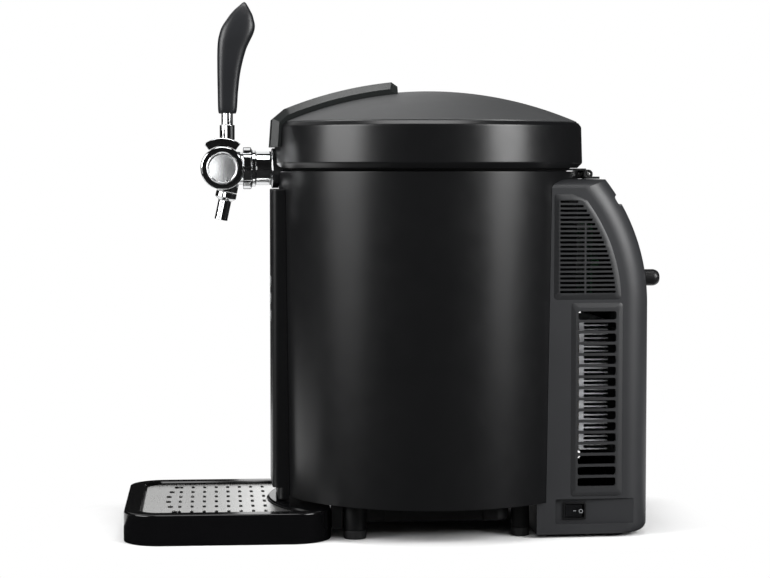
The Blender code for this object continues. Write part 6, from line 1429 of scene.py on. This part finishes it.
# The tap: polished and chrome plated brass. A shank goes through the drum's rim behind a collar and is held
# by a nut inside; a fluted coupling nut holds the valve body to it. The body is a short barrel with a dished
# cap on each end, and its spout leans forward under it.
tap_x = -0.1685
barrel_radius = 0.0177
barrel_half_width = 0.0160
cap_radius = 0.0130
cap_thickness = 0.0030
cap_spigot = 0.0020
plug_bore_radius = 0.0093
nut_front_x = -0.1516
nut_chamfer_x = -0.1446
nut_rear_x = -0.1415
nut_radius = 0.0171
nut_tail_radius = 0.0149
nut_flutes = 9
nut_flute_radius = 0.0016
body_neck_radius = 0.0135
shank_nose_radius = 0.0110
shank_bore_radius = 0.0045
shank_shoulder_x = -0.1080
shank_tail_radius = 0.0090
shank_tail_x = -0.0960
collar_front_x = -0.1285
spout_tilt = 12.0
spout_setback = 0.0074
spout_collar_radius = 0.0085
spout_collar_length = 0.0056
spout_radius = 0.0053
spout_bore_radius = 0.0043
spout_length = 0.0233
lever_travel = 45.0
neck_slot_half = 0.0048
chrome_grey = (0.78, 0.79, 0.80, 1.0)


def plated(name, colour, roughness, size=0.005):
    """Chrome plate over polished brass: faint swirls from the wheel and a slightly uneven shine."""
    surface = Surface(name, colour, roughness, metallic=1.0)
    swirl = surface.noise(size, 4.0)
    wipes = surface.noise(0.0011, 2.0, surface.stretched(1.0, 0.15, 1.0))
    surface.set("Base Color", surface.mix(swirl, shade(colour, 0.94), shade(colour, 1.04)))
    surface.set("Roughness", roughness + (swirl - 0.5) * 0.05 + (wipes - 0.5) * 0.03)
    surface.relief(swirl, 0.000012)
    return surface.material


chrome = plated("chrome plate", chrome_grey, 0.07)
satin_chrome = plated("satin chrome plate", chrome_grey, 0.24, 0.002)
tap_axis = (0, 0, tap_z)
tap_centre = (tap_x, 0, tap_z)
shank_profile = [
    (shank_bore_radius, nut_front_x + seat_gap), (shank_nose_radius, nut_front_x + seat_gap),
    (shank_nose_radius, nut_rear_x + seat_gap), (shank_radius, nut_rear_x + seat_gap),
    (shank_radius, shank_shoulder_x - seat_gap), (shank_tail_radius, shank_shoulder_x - seat_gap),
    (shank_tail_radius, shank_tail_x), (shank_bore_radius, shank_tail_x),
]
finished("shank_turning", turned(eased(shank_profile, 0.0006, closed=True), 128, tap_axis, "X"), chrome,
         replaced=["tap_shank"])

nut_bore_radius = shank_nose_radius + seat_gap
nut_profile = [
    (nut_bore_radius, nut_front_x), (nut_radius, nut_front_x), (nut_radius, nut_chamfer_x - 0.0010),
    (nut_radius - 0.0010, nut_chamfer_x), (nut_tail_radius, nut_chamfer_x + 0.0002),
    (nut_tail_radius, nut_rear_x), (nut_bore_radius, nut_rear_x),
]
flutes = []
for index in range(nut_flutes):
    angle = math.tau * (index + 0.5) / nut_flutes
    flutes.append(rod(nut_flute_radius, nut_front_x - overrun, nut_chamfer_x + 0.0001, 24,
                      (0, nut_radius * math.cos(angle), tap_z + nut_radius * math.sin(angle)), "X"))
nut_blank = turned(eased(nut_profile, 0.0007, closed=True), 128, tap_axis, "X")
finished("coupling_nut_turning", worked(nut_blank, flutes), chrome, replaced=["coupling_nut"],
         edge=0.0002, sharp=36.0)

collar_profile = [
    (shank_radius + seat_gap, collar_front_x), (collar_radius, collar_front_x),
    (collar_radius, -liner_outer_radius), (shank_radius + seat_gap, -liner_outer_radius),
]
finished("shank_collar_turning", worked(
    turned(eased(collar_profile, 0.0010, closed=True), 128, tap_axis, "X"),
    [rod(drum_top_radius + seat_gap, tap_z - 2 * collar_radius, tap_z + 2 * collar_radius, round_steps)],
), chrome, replaced=["shank_collar"], sharp=38.0)

hexagon = arc((0, tap_z), backnut_radius, 0, 360, 6)[:-1]
backnut_width = 0.0080
backnut_face = backnut_radius - 0.0008
backnut_chamfer = turned([
    (0, shank_shoulder_x - 0.001), (backnut_face, shank_shoulder_x - 0.001),
    (backnut_face, shank_shoulder_x), (backnut_radius, shank_shoulder_x + 0.0010),
    (backnut_radius, shank_shoulder_x + 0.0070), (backnut_face, shank_shoulder_x + backnut_width),
    (0, shank_shoulder_x + backnut_width),
], 96, tap_axis, "X")
backnut_bar = prism(hexagon, shank_shoulder_x, shank_shoulder_x + backnut_width, "X")
backnut_bore = rod(
    shank_tail_radius + seat_gap, shank_shoulder_x - overrun, shank_tail_x, 96, tap_axis, "X",
)
backnut = worked(worked(backnut_bar, [backnut_chamfer], "INTERSECT"), [backnut_bore])
finished("backnut_hexagon", backnut, brushed, replaced=["shank_backnut"], edge=0.0002)
barb_x, barb_end_x = shank_tail_x + seat_gap, -0.0885
barb_bore, barb_neck, barb_flange = 0.0025, 0.0030, 0.0070
barb_flange_end = barb_x + 0.0013
barb_pitch = 0.0017
barb_profile = [(barb_bore, barb_x), (barb_flange, barb_x), (barb_flange, barb_flange_end),
                (barb_neck, barb_flange_end)]
for step in range(3):
    start = barb_x + 0.0020 + step * barb_pitch
    barb_profile += [(0.0042, start), (0.0032, start + 0.0015)]
barb_profile += [(barb_neck, barb_end_x), (barb_bore, barb_end_x)]
finished("hose_barb_turning", turned(barb_profile, 64, tap_axis, "X"), brushed, replaced=["hose_barb"])


def on_spout_axis(shape):
    """Set a shape that was turned about Z on the spout's axis, with its zero height at the spout's seat."""
    bmesh.ops.translate(shape, verts=shape.verts, vec=(spout_setback, 0, -barrel_radius - 0.0002))
    bmesh.ops.rotate(shape, verts=shape.verts, matrix=Matrix.Rotation(math.radians(spout_tilt), 3, "Y"))
    bmesh.ops.translate(shape, verts=shape.verts, vec=tap_centre)
    return shape


barrel_profile = eased([(0, -barrel_half_width), (barrel_radius, -barrel_half_width),
                        (barrel_radius, barrel_half_width), (0, barrel_half_width)], 0.0026, steps=8)
neck_end_x = nut_front_x - seat_gap
body_shape = worked(turned(barrel_profile, 160, tap_centre, "Y"), [
    rod(body_neck_radius, tap_x, neck_end_x, 96, tap_axis, "X"),
    on_spout_axis(rod(spout_collar_radius, 0, barrel_radius / 2, 64)),
], "UNION")
slot_reach = barrel_radius + overrun
spread = math.degrees(math.asin(neck_slot_half / slot_reach))
lever_slot = prism(
    [(tap_x + neck_slot_half, tap_z)]
    + arc((tap_x, tap_z), slot_reach, 90 - spread, 90 + lever_travel + spread, 16)
    + arc((tap_x, tap_z), neck_slot_half, 180 + lever_travel, 270, 1)[:1],
    -neck_slot_half, neck_slot_half, "Y",
)
body_shape = worked(body_shape, [
    rod(plug_bore_radius, -barrel_half_width - overrun, barrel_half_width + overrun, 64, tap_centre, "Y"),
    rod(shank_bore_radius, tap_x, neck_end_x + overrun, 48, tap_axis, "X"),
    on_spout_axis(rod(spout_bore_radius, -overrun, barrel_radius / 2, 48)),
    lever_slot,
])
finished("faucet_body_casting", body_shape, chrome, replaced=["faucet_body"], edge=0.00025,
         sharp=38.0)

for side, sign in (("right", -1), ("left", 1)):
    face = sign * (barrel_half_width + seat_gap)
    rim = face + sign * cap_thickness
    spigot_end = sign * (barrel_half_width - cap_spigot)
    cap_profile = [
        (0, spigot_end), (plug_bore_radius - seat_gap, spigot_end),
        (plug_bore_radius - seat_gap, face), (cap_radius, face), (cap_radius, rim),
        (cap_radius - 0.0014, rim), (cap_radius - 0.0019, rim - sign * 0.0004),
        (cap_radius * 0.45, rim - sign * 0.0002), (0, rim),
    ]
    finished(f"faucet_cap_{side}_turning", turned(eased(cap_profile, 0.0006), 128, tap_centre, "Y"),
             satin_chrome, replaced=[f"faucet_cap_{side}"])

spout_profile = [
    (spout_bore_radius, -seat_gap), (spout_collar_radius, -seat_gap),
    (spout_collar_radius, -seat_gap - spout_collar_length + 0.0008),
    (spout_collar_radius - 0.0012, -seat_gap - spout_collar_length),
    (spout_radius, -seat_gap - spout_collar_length - 0.0012), (spout_radius, -seat_gap - spout_length),
    (spout_bore_radius, -seat_gap - spout_length),
]
finished("spout_tube", on_spout_axis(turned(eased(spout_profile, 0.0008, closed=True), 96)), chrome,
         replaced=["spout"], sharp=38.0)

# The lever: a plug that turns in the valve body, a saddle over the barrel, a stem with its ferrule, and a
# paddle handle of satin black plastic pushed onto the stem. It turns about the barrel's axis.
plug_radius = 0.0088
plug_half_length = 0.0134
plug_port_half = 0.0050
neck_radius = 0.0040
saddle_inner_radius = 0.0182
saddle_outer_radius = 0.0246
saddle_half_angle = 37.0
saddle_half_width = 0.0105
stem_x = -0.1644
ferrule_radius = 0.0061
ferrule_top_z = 0.3285
stem_rod_radius = 0.0047
handle_bottom_z = 0.3379
handle_length = 0.0904
handle_reach = 0.0308
handle_front_x = -0.1724
handle_thickness = 0.0200
handle_power = 0.62
# Height up the handle, front and rear edge across its reach, and thickness, each as a share of the full size
handle_shares = (
    (0.0, 0.030, 0.500, 0.80),
    (0.050, 0.018, 0.522, 0.84),
    (0.210, 0.010, 0.555, 0.86),
    (0.390, 0.003, 0.625, 0.92),
    (0.570, 0.006, 0.762, 0.98),
    (0.660, 0.026, 0.880, 1.0),
    (0.705, 0.056, 0.945, 0.99),
    (0.750, 0.095, 0.990, 0.96),
    (0.795, 0.160, 1.000, 0.91),
    (0.840, 0.250, 0.972, 0.84),
    (0.885, 0.345, 0.935, 0.74),
    (0.930, 0.462, 0.868, 0.60),
    (0.972, 0.605, 0.800, 0.42),
    (1.0, 0.690, 0.750, 0.18),
)
plug = worked(
    turned(eased([(0, -plug_half_length), (plug_radius, -plug_half_length), (plug_radius, plug_half_length),
                  (0, plug_half_length)], 0.0005), 96, tap_centre, "Y"),
    [block((tap_x - plug_port_half, -plug_port_half, tap_z - 2 * plug_radius),
           (tap_x + plug_port_half, plug_port_half, tap_z))])
finished("valve_plug_turning", plug, chrome, "lever", replaced=["valve_plug"])


def saddle_section(inset):
    """Side view of the saddle: a sector between two radii, with its ends drawn in by an inset."""
    ends = math.degrees(inset / saddle_outer_radius)
    low, high = 90 - saddle_half_angle + ends, 90 + saddle_half_angle - ends
    section = (arc((tap_x, tap_z), saddle_inner_radius, low, high, 24)
               + arc((tap_x, tap_z), saddle_outer_radius - inset, high, low, 24))
    return eased(section, 0.0016, closed=True)


saddle = rounded_slab(saddle_section, -saddle_half_width, saddle_half_width, 0.0012, 0.0012, "Y")
neck_top = (saddle_inner_radius + saddle_outer_radius) / 2
saddle_neck = rod(neck_radius, plug_radius + seat_gap, neck_top, 48, tap_centre)
finished("lever_saddle_casting", worked(saddle, [saddle_neck], "UNION"), chrome, "lever",
         replaced=["lever_saddle"], sharp=38.0)

stem_sink = 0.0016
stem_reach = 0.0120
seat_z = tap_z + saddle_outer_radius - stem_sink
stem_profile = [
    (0, seat_z), (ferrule_radius, seat_z), (ferrule_radius, ferrule_top_z),
    (stem_rod_radius + 0.0004, ferrule_top_z), (stem_rod_radius, ferrule_top_z + 0.0005),
    (stem_rod_radius, handle_bottom_z + stem_reach), (0, handle_bottom_z + stem_reach),
]
finished("lever_stem_turning", turned(eased(stem_profile, 0.0008), 96, (stem_x, 0, 0)), chrome, "lever",
         replaced=["lever_stem"])


def share_between(height):
    """The handle's edges and thickness at a height, on a smooth curve through the shares."""
    rows = handle_shares
    index = max(i for i in range(len(rows) - 1) if rows[i][0] <= height)
    start, end = rows[index], rows[index + 1]
    before, after = rows[max(index - 1, 0)], rows[min(index + 2, len(rows) - 1)]
    span = end[0] - start[0]
    share = (height - start[0]) / span
    made = []
    for column in (1, 2, 3):
        slope_in = (end[column] - before[column]) / max(end[0] - before[0], 0.001) * span
        slope_out = (after[column] - start[column]) / max(after[0] - start[0], 0.001) * span
        a = 2 * share**3 - 3 * share**2 + 1
        b = share**3 - 2 * share**2 + share
        c = 3 * share**2 - 2 * share**3
        d = share**3 - share**2
        made.append(a * start[column] + b * slope_in + c * end[column] + d * slope_out)
    return made


# The handle closes over its tip and draws in a little at its foot, both as shares of its height
tip_start = 0.985
tip_length = 0.016
foot_end = 0.02
handle = bmesh.new()
handle_rings = []
handle_levels = [min(step / 90, 1.0) for step in range(91)]
for level in handle_levels:
    front_share, rear_share, thickness_share = share_between(level)
    pinch = 1.0
    if level > tip_start:
        pinch = math.sqrt(max(1 - ((level - tip_start) / tip_length) ** 2, 0.02))
    if level < foot_end:
        pinch = 1 - 0.05 * (1 - level / foot_end) ** 2
    middle = (front_share + rear_share) / 2
    front_share, rear_share = (middle + (edge - middle) * pinch for edge in (front_share, rear_share))
    thickness_share *= pinch
    front_x = handle_front_x + handle_reach * front_share
    rear_x = handle_front_x + handle_reach * rear_share
    middle_x, half_reach = (front_x + rear_x) / 2, (rear_x - front_x) / 2
    ring = []
    for index in range(72):
        angle = math.tau * (index + 0.5) / 72
        across, along = math.sin(angle), math.cos(angle)
        ring.append(handle.verts.new((
            middle_x + half_reach * math.copysign(abs(along) ** handle_power, along),
            handle_thickness * thickness_share / 2 * math.copysign(abs(across) ** handle_power, across),
            handle_bottom_z + handle_length * level,
        )))
    handle_rings.append(ring)
handle = worked(skinned(handle, handle_rings), [
    rod(stem_rod_radius + seat_gap, handle_bottom_z - overrun, handle_bottom_z + stem_reach + 0.0005, 64,
        (stem_x, 0, 0)),
])
handle_plastic = moulded_plastic("handle plastic", (0.0100, 0.0106, 0.0122, 1.0), 0.38, grain=0.002,
                                 depth=0.000001)
finished("tap_handle_moulding", handle, handle_plastic, "lever", replaced=["tap_handle"],
         sharp=40.0)

# The drip tray: a gloss black moulding with a broad sloping rim round a deep basin, and the drip plate that
# lifts out of it, punched and brushed from stainless sheet.
tray_front_x = -0.2476
tray_rear_x = -0.0840
tray_half_width = 0.0970
tray_height = 0.0244
tray_front_radius = 0.0300
tray_rear_radius = 0.0320
tray_floor = 0.0025
tray_rim = 0.0138
basin_rear_radius = 0.1322
drip_plate_z = 0.0220
drip_plate_thickness = 0.0012
drip_ledge = 0.0030
drip_clearance = 0.0008
rim_chamfer = 0.0012


def tray_outline(inset):
    front, rear = tray_front_radius - inset, tray_rear_radius - inset
    return rounded_rectangle(tray_front_x + inset, tray_rear_x - inset, inset - tray_half_width,
                             tray_half_width - inset, [front, rear, rear, front], 16)


def basin_outline(inset, steps=14):
    """Plan of the basin: round front corners, and a rear edge that follows the drum's front."""
    front_x = tray_front_x + tray_rim + inset
    half = tray_half_width - tray_rim - inset
    corner = tray_front_radius - tray_rim
    rear_radius = basin_rear_radius + inset
    end_angle = 180 - math.degrees(math.asin(half / rear_radius))
    return (
        arc((front_x + corner, corner - half), corner, 180, 270, steps)
        + arc((0, 0), rear_radius, 360 - end_angle, end_angle, 2 * steps)
        + arc((front_x + corner, half - corner), corner, 90, 180, steps)
    )


def lofted(outlines):
    """A solid through outlines that have as many points each, given with their heights."""
    shape = bmesh.new()
    return skinned(shape, [[shape.verts.new((x, y, z)) for x, y in outline] for outline, z in outlines])


tray_shape = rounded_slab(tray_outline, 0.0, tray_height, 0.0012, 0.0016)
ledge_z = drip_plate_z - drip_plate_thickness - seat_gap
tray_shape = worked(tray_shape, [
    lofted([(basin_outline(0.0), ledge_z), (basin_outline(0.0), tray_height - rim_chamfer),
            (basin_outline(-rim_chamfer), tray_height + 0.0001),
            (basin_outline(-rim_chamfer), tray_height + overrun)]),
    lofted([(basin_outline(drip_ledge + 0.0030), tray_floor),
            (basin_outline(drip_ledge + 0.0012), tray_floor + 0.0008),
            (basin_outline(drip_ledge), tray_floor + 0.0030), (basin_outline(drip_ledge), ledge_z + 0.001)]),
])
tray_gloss = Surface("gloss tray plastic", (0.0024, 0.0024, 0.0027, 1.0), 0.10, specular=0.4)
tray_flow = tray_gloss.noise(0.05, 3.0)
tray_scuffs = tray_gloss.noise(0.0025, 4.0)
tray_gloss.set("Base Color", tray_gloss.mix(tray_flow, (0.0020, 0.0020, 0.0023, 1.0),
                                            (0.0028, 0.0028, 0.0031, 1.0)))
tray_gloss.set("Roughness", 0.09 + tray_scuffs * 0.06)
tray_gloss.relief(tray_flow, 0.00004)
finished("drip_tray_moulding", tray_shape, tray_gloss.material, "tray", replaced=["drip_tray"],
         sharp=30.0)

hole_columns = 9
hole_rows = 6
hole_width = 0.0026
hole_length = 0.0120
hole_pitch_x = 0.00977
hole_pitch_y = 0.0260
hole_first_x = -0.2136
first_hole_width = 0.0042
first_column_bow = 0.0060
plate_steel = milled_metal("brushed stainless sheet", (0.60, 0.60, 0.59, 1.0), 0.30, (1.0, 0.03, 1.0),
                           0.0008)


def plate_hole(x, y, width):
    """The punch for one slot of the plate."""
    outline = centred(x, y, width / 2, hole_length / 2, width * 0.49, 8)
    return prism(outline, drip_plate_z - 2 * drip_plate_thickness, drip_plate_z + drip_plate_thickness)


row_reach = (hole_rows - 1) / 2 * hole_pitch_y
column_of_holes = in_a_row("plate holes across",
                           plate_hole(hole_first_x + hole_pitch_x, -row_reach, hole_width),
                           hole_rows, (0.0, hole_pitch_y, 0.0), plate_steel)
holes = [in_a_row("plate holes along", column_of_holes, hole_columns - 1, (hole_pitch_x, 0.0, 0.0),
                  plate_steel)]
for row in range(hole_rows):
    y = row * hole_pitch_y - row_reach
    holes.append(plate_hole(hole_first_x + first_column_bow * (y / row_reach) ** 2, y, first_hole_width))
plate_shape = worked(
    rounded_slab(lambda inset: basin_outline(drip_clearance + inset), drip_plate_z - drip_plate_thickness,
                 drip_plate_z, 0.0002, 0.0004), holes)
finished("drip_plate_sheet", plate_shape, plate_steel, "plate", replaced=["drip_plate"],
         edge=0.00012)

# The studio: a floor that runs into white, soft boxes on the left, on the right and above, and two fills
# that mirrors leave out. Small cards light the tap, the plate and the fins alone. Round it all stands a tent
# of dark felt that only mirrors see, open at the back.
world_fill = 0.04
world = bpy.data.worlds.new("white studio")
world.use_nodes = True
bpy.context.scene.world = world
sky = world.node_tree
seen = sky.nodes.new("ShaderNodeLightPath")
backdrop_rays = sky.nodes.new("ShaderNodeMath")
backdrop_rays.operation = "MAXIMUM"
sky.links.new(seen.outputs["Is Camera Ray"], backdrop_rays.inputs[0])
sky.links.new(seen.outputs["Is Transmission Ray"], backdrop_rays.inputs[1])
with_gloss = sky.nodes.new("ShaderNodeMath")
with_gloss.operation = "MAXIMUM"
sky.links.new(backdrop_rays.outputs[0], with_gloss.inputs[0])
sky.links.new(seen.outputs["Is Glossy Ray"], with_gloss.inputs[1])
level = sky.nodes.new("ShaderNodeMapRange")
level.inputs["To Min"].default_value = world_fill
level.inputs["To Max"].default_value = 1.0
sky.links.new(with_gloss.outputs[0], level.inputs["Value"])
sky.nodes["Background"].inputs["Color"].default_value = (1.0, 1.0, 1.0, 1.0)
sky.links.new(level.outputs[0], sky.nodes["Background"].inputs["Strength"])
studio_middle = Vector((drum_axis_x, 0, 0.20))


def around(azimuth, distance, height=0.0):
    """A place round the drum: azimuth 0 is towards the camera, 90 towards the back of the appliance."""
    turn = math.radians(azimuth)
    return studio_middle + Vector((math.sin(turn) * distance, -math.cos(turn) * distance, height))


def soft_box(name, place, width, height, power, in_mirrors=True, aim=studio_middle, only_for=()):
    """An area light. A fill light is left out of reflections, and a card may be kept to a few pieces."""
    lamp = bpy.data.lights.new(name, "AREA")
    lamp.shape = "RECTANGLE"
    lamp.size = width
    lamp.size_y = height
    lamp.energy = power
    made = bpy.data.objects.new(name, lamp)
    made.location = place
    made.visible_glossy = in_mirrors
    made.rotation_euler = (aim - place).to_track_quat("-Z", "Y").to_euler()
    if only_for:
        lit = bpy.data.collections.new(f"{name} pieces")
        for piece in only_for:
            lit.objects.link(piece)
        made.light_linking.receiver_collection = lit
    bpy.context.scene.collection.objects.link(made)


def felt(name, corners_of_faces):
    """Dark felt that only mirrors see."""
    shape = bmesh.new()
    for corners in corners_of_faces:
        shape.faces.new([shape.verts.new(corner) for corner in corners])
    bmesh.ops.remove_doubles(shape, verts=shape.verts, dist=0.0001)
    mesh = bpy.data.meshes.new(name)
    shape.to_mesh(mesh)
    shape.free()
    card = bpy.data.objects.new(name, mesh)
    bpy.context.scene.collection.objects.link(card)
    cloth = Surface(f"{name} cloth", (0.01, 0.01, 0.01, 1.0), 1.0, specular=0.0)
    nap = cloth.noise(0.02)
    cloth.set("Roughness", 0.9 + nap * 0.1)
    cloth.relief(nap, 0.001)
    mesh.materials.append(cloth.material)
    card.visible_camera = False
    card.visible_diffuse = False
    card.visible_shadow = False
    card.visible_transmission = False


soft_box("left soft box", around(-69, 1.3, 0.52), 0.84, 0.80, 16.0)
soft_box("left low box", around(-67, 1.3, -0.03), 0.55, 0.30, 0.4)
soft_box("right soft box", around(53, 1.3, 0.52), 0.66, 0.80, 18.5)
soft_box("right low box", around(51, 1.3, -0.03), 0.40, 0.30, 0.5)
soft_box("top soft box", around(-20, 0.25, 1.25), 0.9, 0.6, 9.0)
soft_box("front fill", around(0, 1.5, 1.0), 2.4, 1.2, 14.5, in_mirrors=False)
soft_box("back fill", around(170, 1.6, 1.2), 2.4, 1.2, 8.0, in_mirrors=False)
tap_middle = Vector((tap_x, 0.0, tap_z))
plate_middle = Vector((tap_x, 0.0, tray_height))
fins_middle = Vector((0.155, -heat_sink_half_width, 0.073))
bright_names = ("faucet_cap", "spout", "lever_stem", "coupling_nut", "shank", "heat_sink")
bright_metal = [piece for piece in bpy.data.objects if piece.name.startswith(bright_names)]
punched_sheet = [bpy.data.objects["drip_plate_sheet"]]
fin_stack = [bpy.data.objects["heat_sink"]]
soft_box("card for the tap", Vector((-0.50, -1.20, 0.26)), 0.50, 0.60, 3.6, True, tap_middle, bright_metal)
soft_box("card for the drip plate", around(176, 1.1, 0.05), 1.2, 0.30, 0.7, True, plate_middle, punched_sheet)
soft_box("card for the fins", Vector((0.25, -0.56, 0.035)), 0.30, 0.10, 0.2, True, fins_middle, fin_stack)

# Openings in the felt tent: azimuth from and to, elevation from and to, in degrees
tent_openings = ((172, 186, 0, 16), (172, 200, 16, 64), (-160, -124, 28, 72))
tent_radius = 1.95
tent_step = 4
tent = []
for azimuth in range(-160, 200, tent_step):
    for elevation in range(-8, 88, tent_step):
        middle = (azimuth + tent_step / 2, elevation + tent_step / 2)
        if any(a < middle[0] < b and c < middle[1] < d for a, b, c, d in tent_openings):
            continue
        corners = []
        for turn, rise in ((0, 0), (tent_step, 0), (tent_step, tent_step), (0, tent_step)):
            up = math.radians(elevation + rise)
            corners.append(around(azimuth + turn, tent_radius * math.cos(up), tent_radius * math.sin(up)))
        tent.append(corners)
felt("felt tent", tent)
sheet_lift = 0.0003
sheet_reach = 2.0
bright_reach = 0.85
felt("felt floor sheet", [
    [Vector((x, y, sheet_lift)) for x, y in ((x0, y0), (x1, y0), (x1, y1), (x0, y1))]
    for x0, x1, y0, y1 in (
        (-sheet_reach, sheet_reach, -sheet_reach, 0.0), (-sheet_reach, -bright_reach, 0.0, sheet_reach),
        (bright_reach, sheet_reach, 0.0, sheet_reach),
        (-bright_reach, bright_reach, bright_reach, sheet_reach),
    )
])

floor_mesh = bpy.data.meshes.new("floor")
floor_shape = bmesh.new()
bmesh.ops.create_grid(floor_shape, x_segments=1, y_segments=1, size=4.0)
floor_shape.to_mesh(floor_mesh)
floor_shape.free()
floor = bpy.data.objects.new("floor", floor_mesh)
bpy.context.scene.collection.objects.link(floor)
floor_paint = Surface("white floor", (0.86, 0.86, 0.86, 1.0), 0.9, specular=0.0)
floor_grain = floor_paint.noise(0.05)
floor_paint.set("Base Color", floor_paint.mix(floor_grain, (0.88, 0.88, 0.88, 1.0), (0.90, 0.90, 0.90, 1.0)))
# The floor shows the object's shadow near its footprint, and runs into plain white beyond it
shadow_reach_x = 0.225
shadow_reach_y = 0.088
shadow_fade = 0.045
clear = []
for axis, reach in (("X", shadow_reach_x), ("Y", shadow_reach_y)):
    beyond = floor_paint.maths("ABSOLUTE", floor_paint.axis(axis)) - reach
    clear.append(floor_paint.maths("MAXIMUM", beyond, 0.0))
away = floor_paint.maths("SQRT", clear[0] * clear[0] + clear[1] * clear[1])
glow = floor_paint.node("ShaderNodeEmission", None, {"Color": (1.0, 1.0, 1.0, 1.0), "Strength": 1.0})
blend = floor_paint.node("ShaderNodeMixShader", None, {0: floor_paint.ramp(away, 0.0, shadow_fade)})
mixer = blend.socket.node
floor_tree = floor_paint.tree
floor_tree.links.new(floor_paint.shader.outputs[0], mixer.inputs[1])
floor_tree.links.new(glow.socket, mixer.inputs[2])
floor_tree.links.new(mixer.outputs[0], floor_tree.nodes["Material Output"].inputs["Surface"])
floor_mesh.materials.append(floor_paint.material)

bpy.context.scene.view_settings.view_transform = "Standard"
camera_place = (-0.1431, -1.7522, 0.2919)
camera_tilt = 3.184
camera_turn = 4.597
camera_data = bpy.data.cameras.new("camera")
camera_data.lens = 100.0
camera_data.sensor_width = 36.0
camera = bpy.data.objects.new("camera", camera_data)
camera.location = camera_place
camera.rotation_euler = (math.radians(90 - camera_tilt), 0, math.radians(-camera_turn))
bpy.context.scene.collection.objects.link(camera)
bpy.context.scene.camera = camera
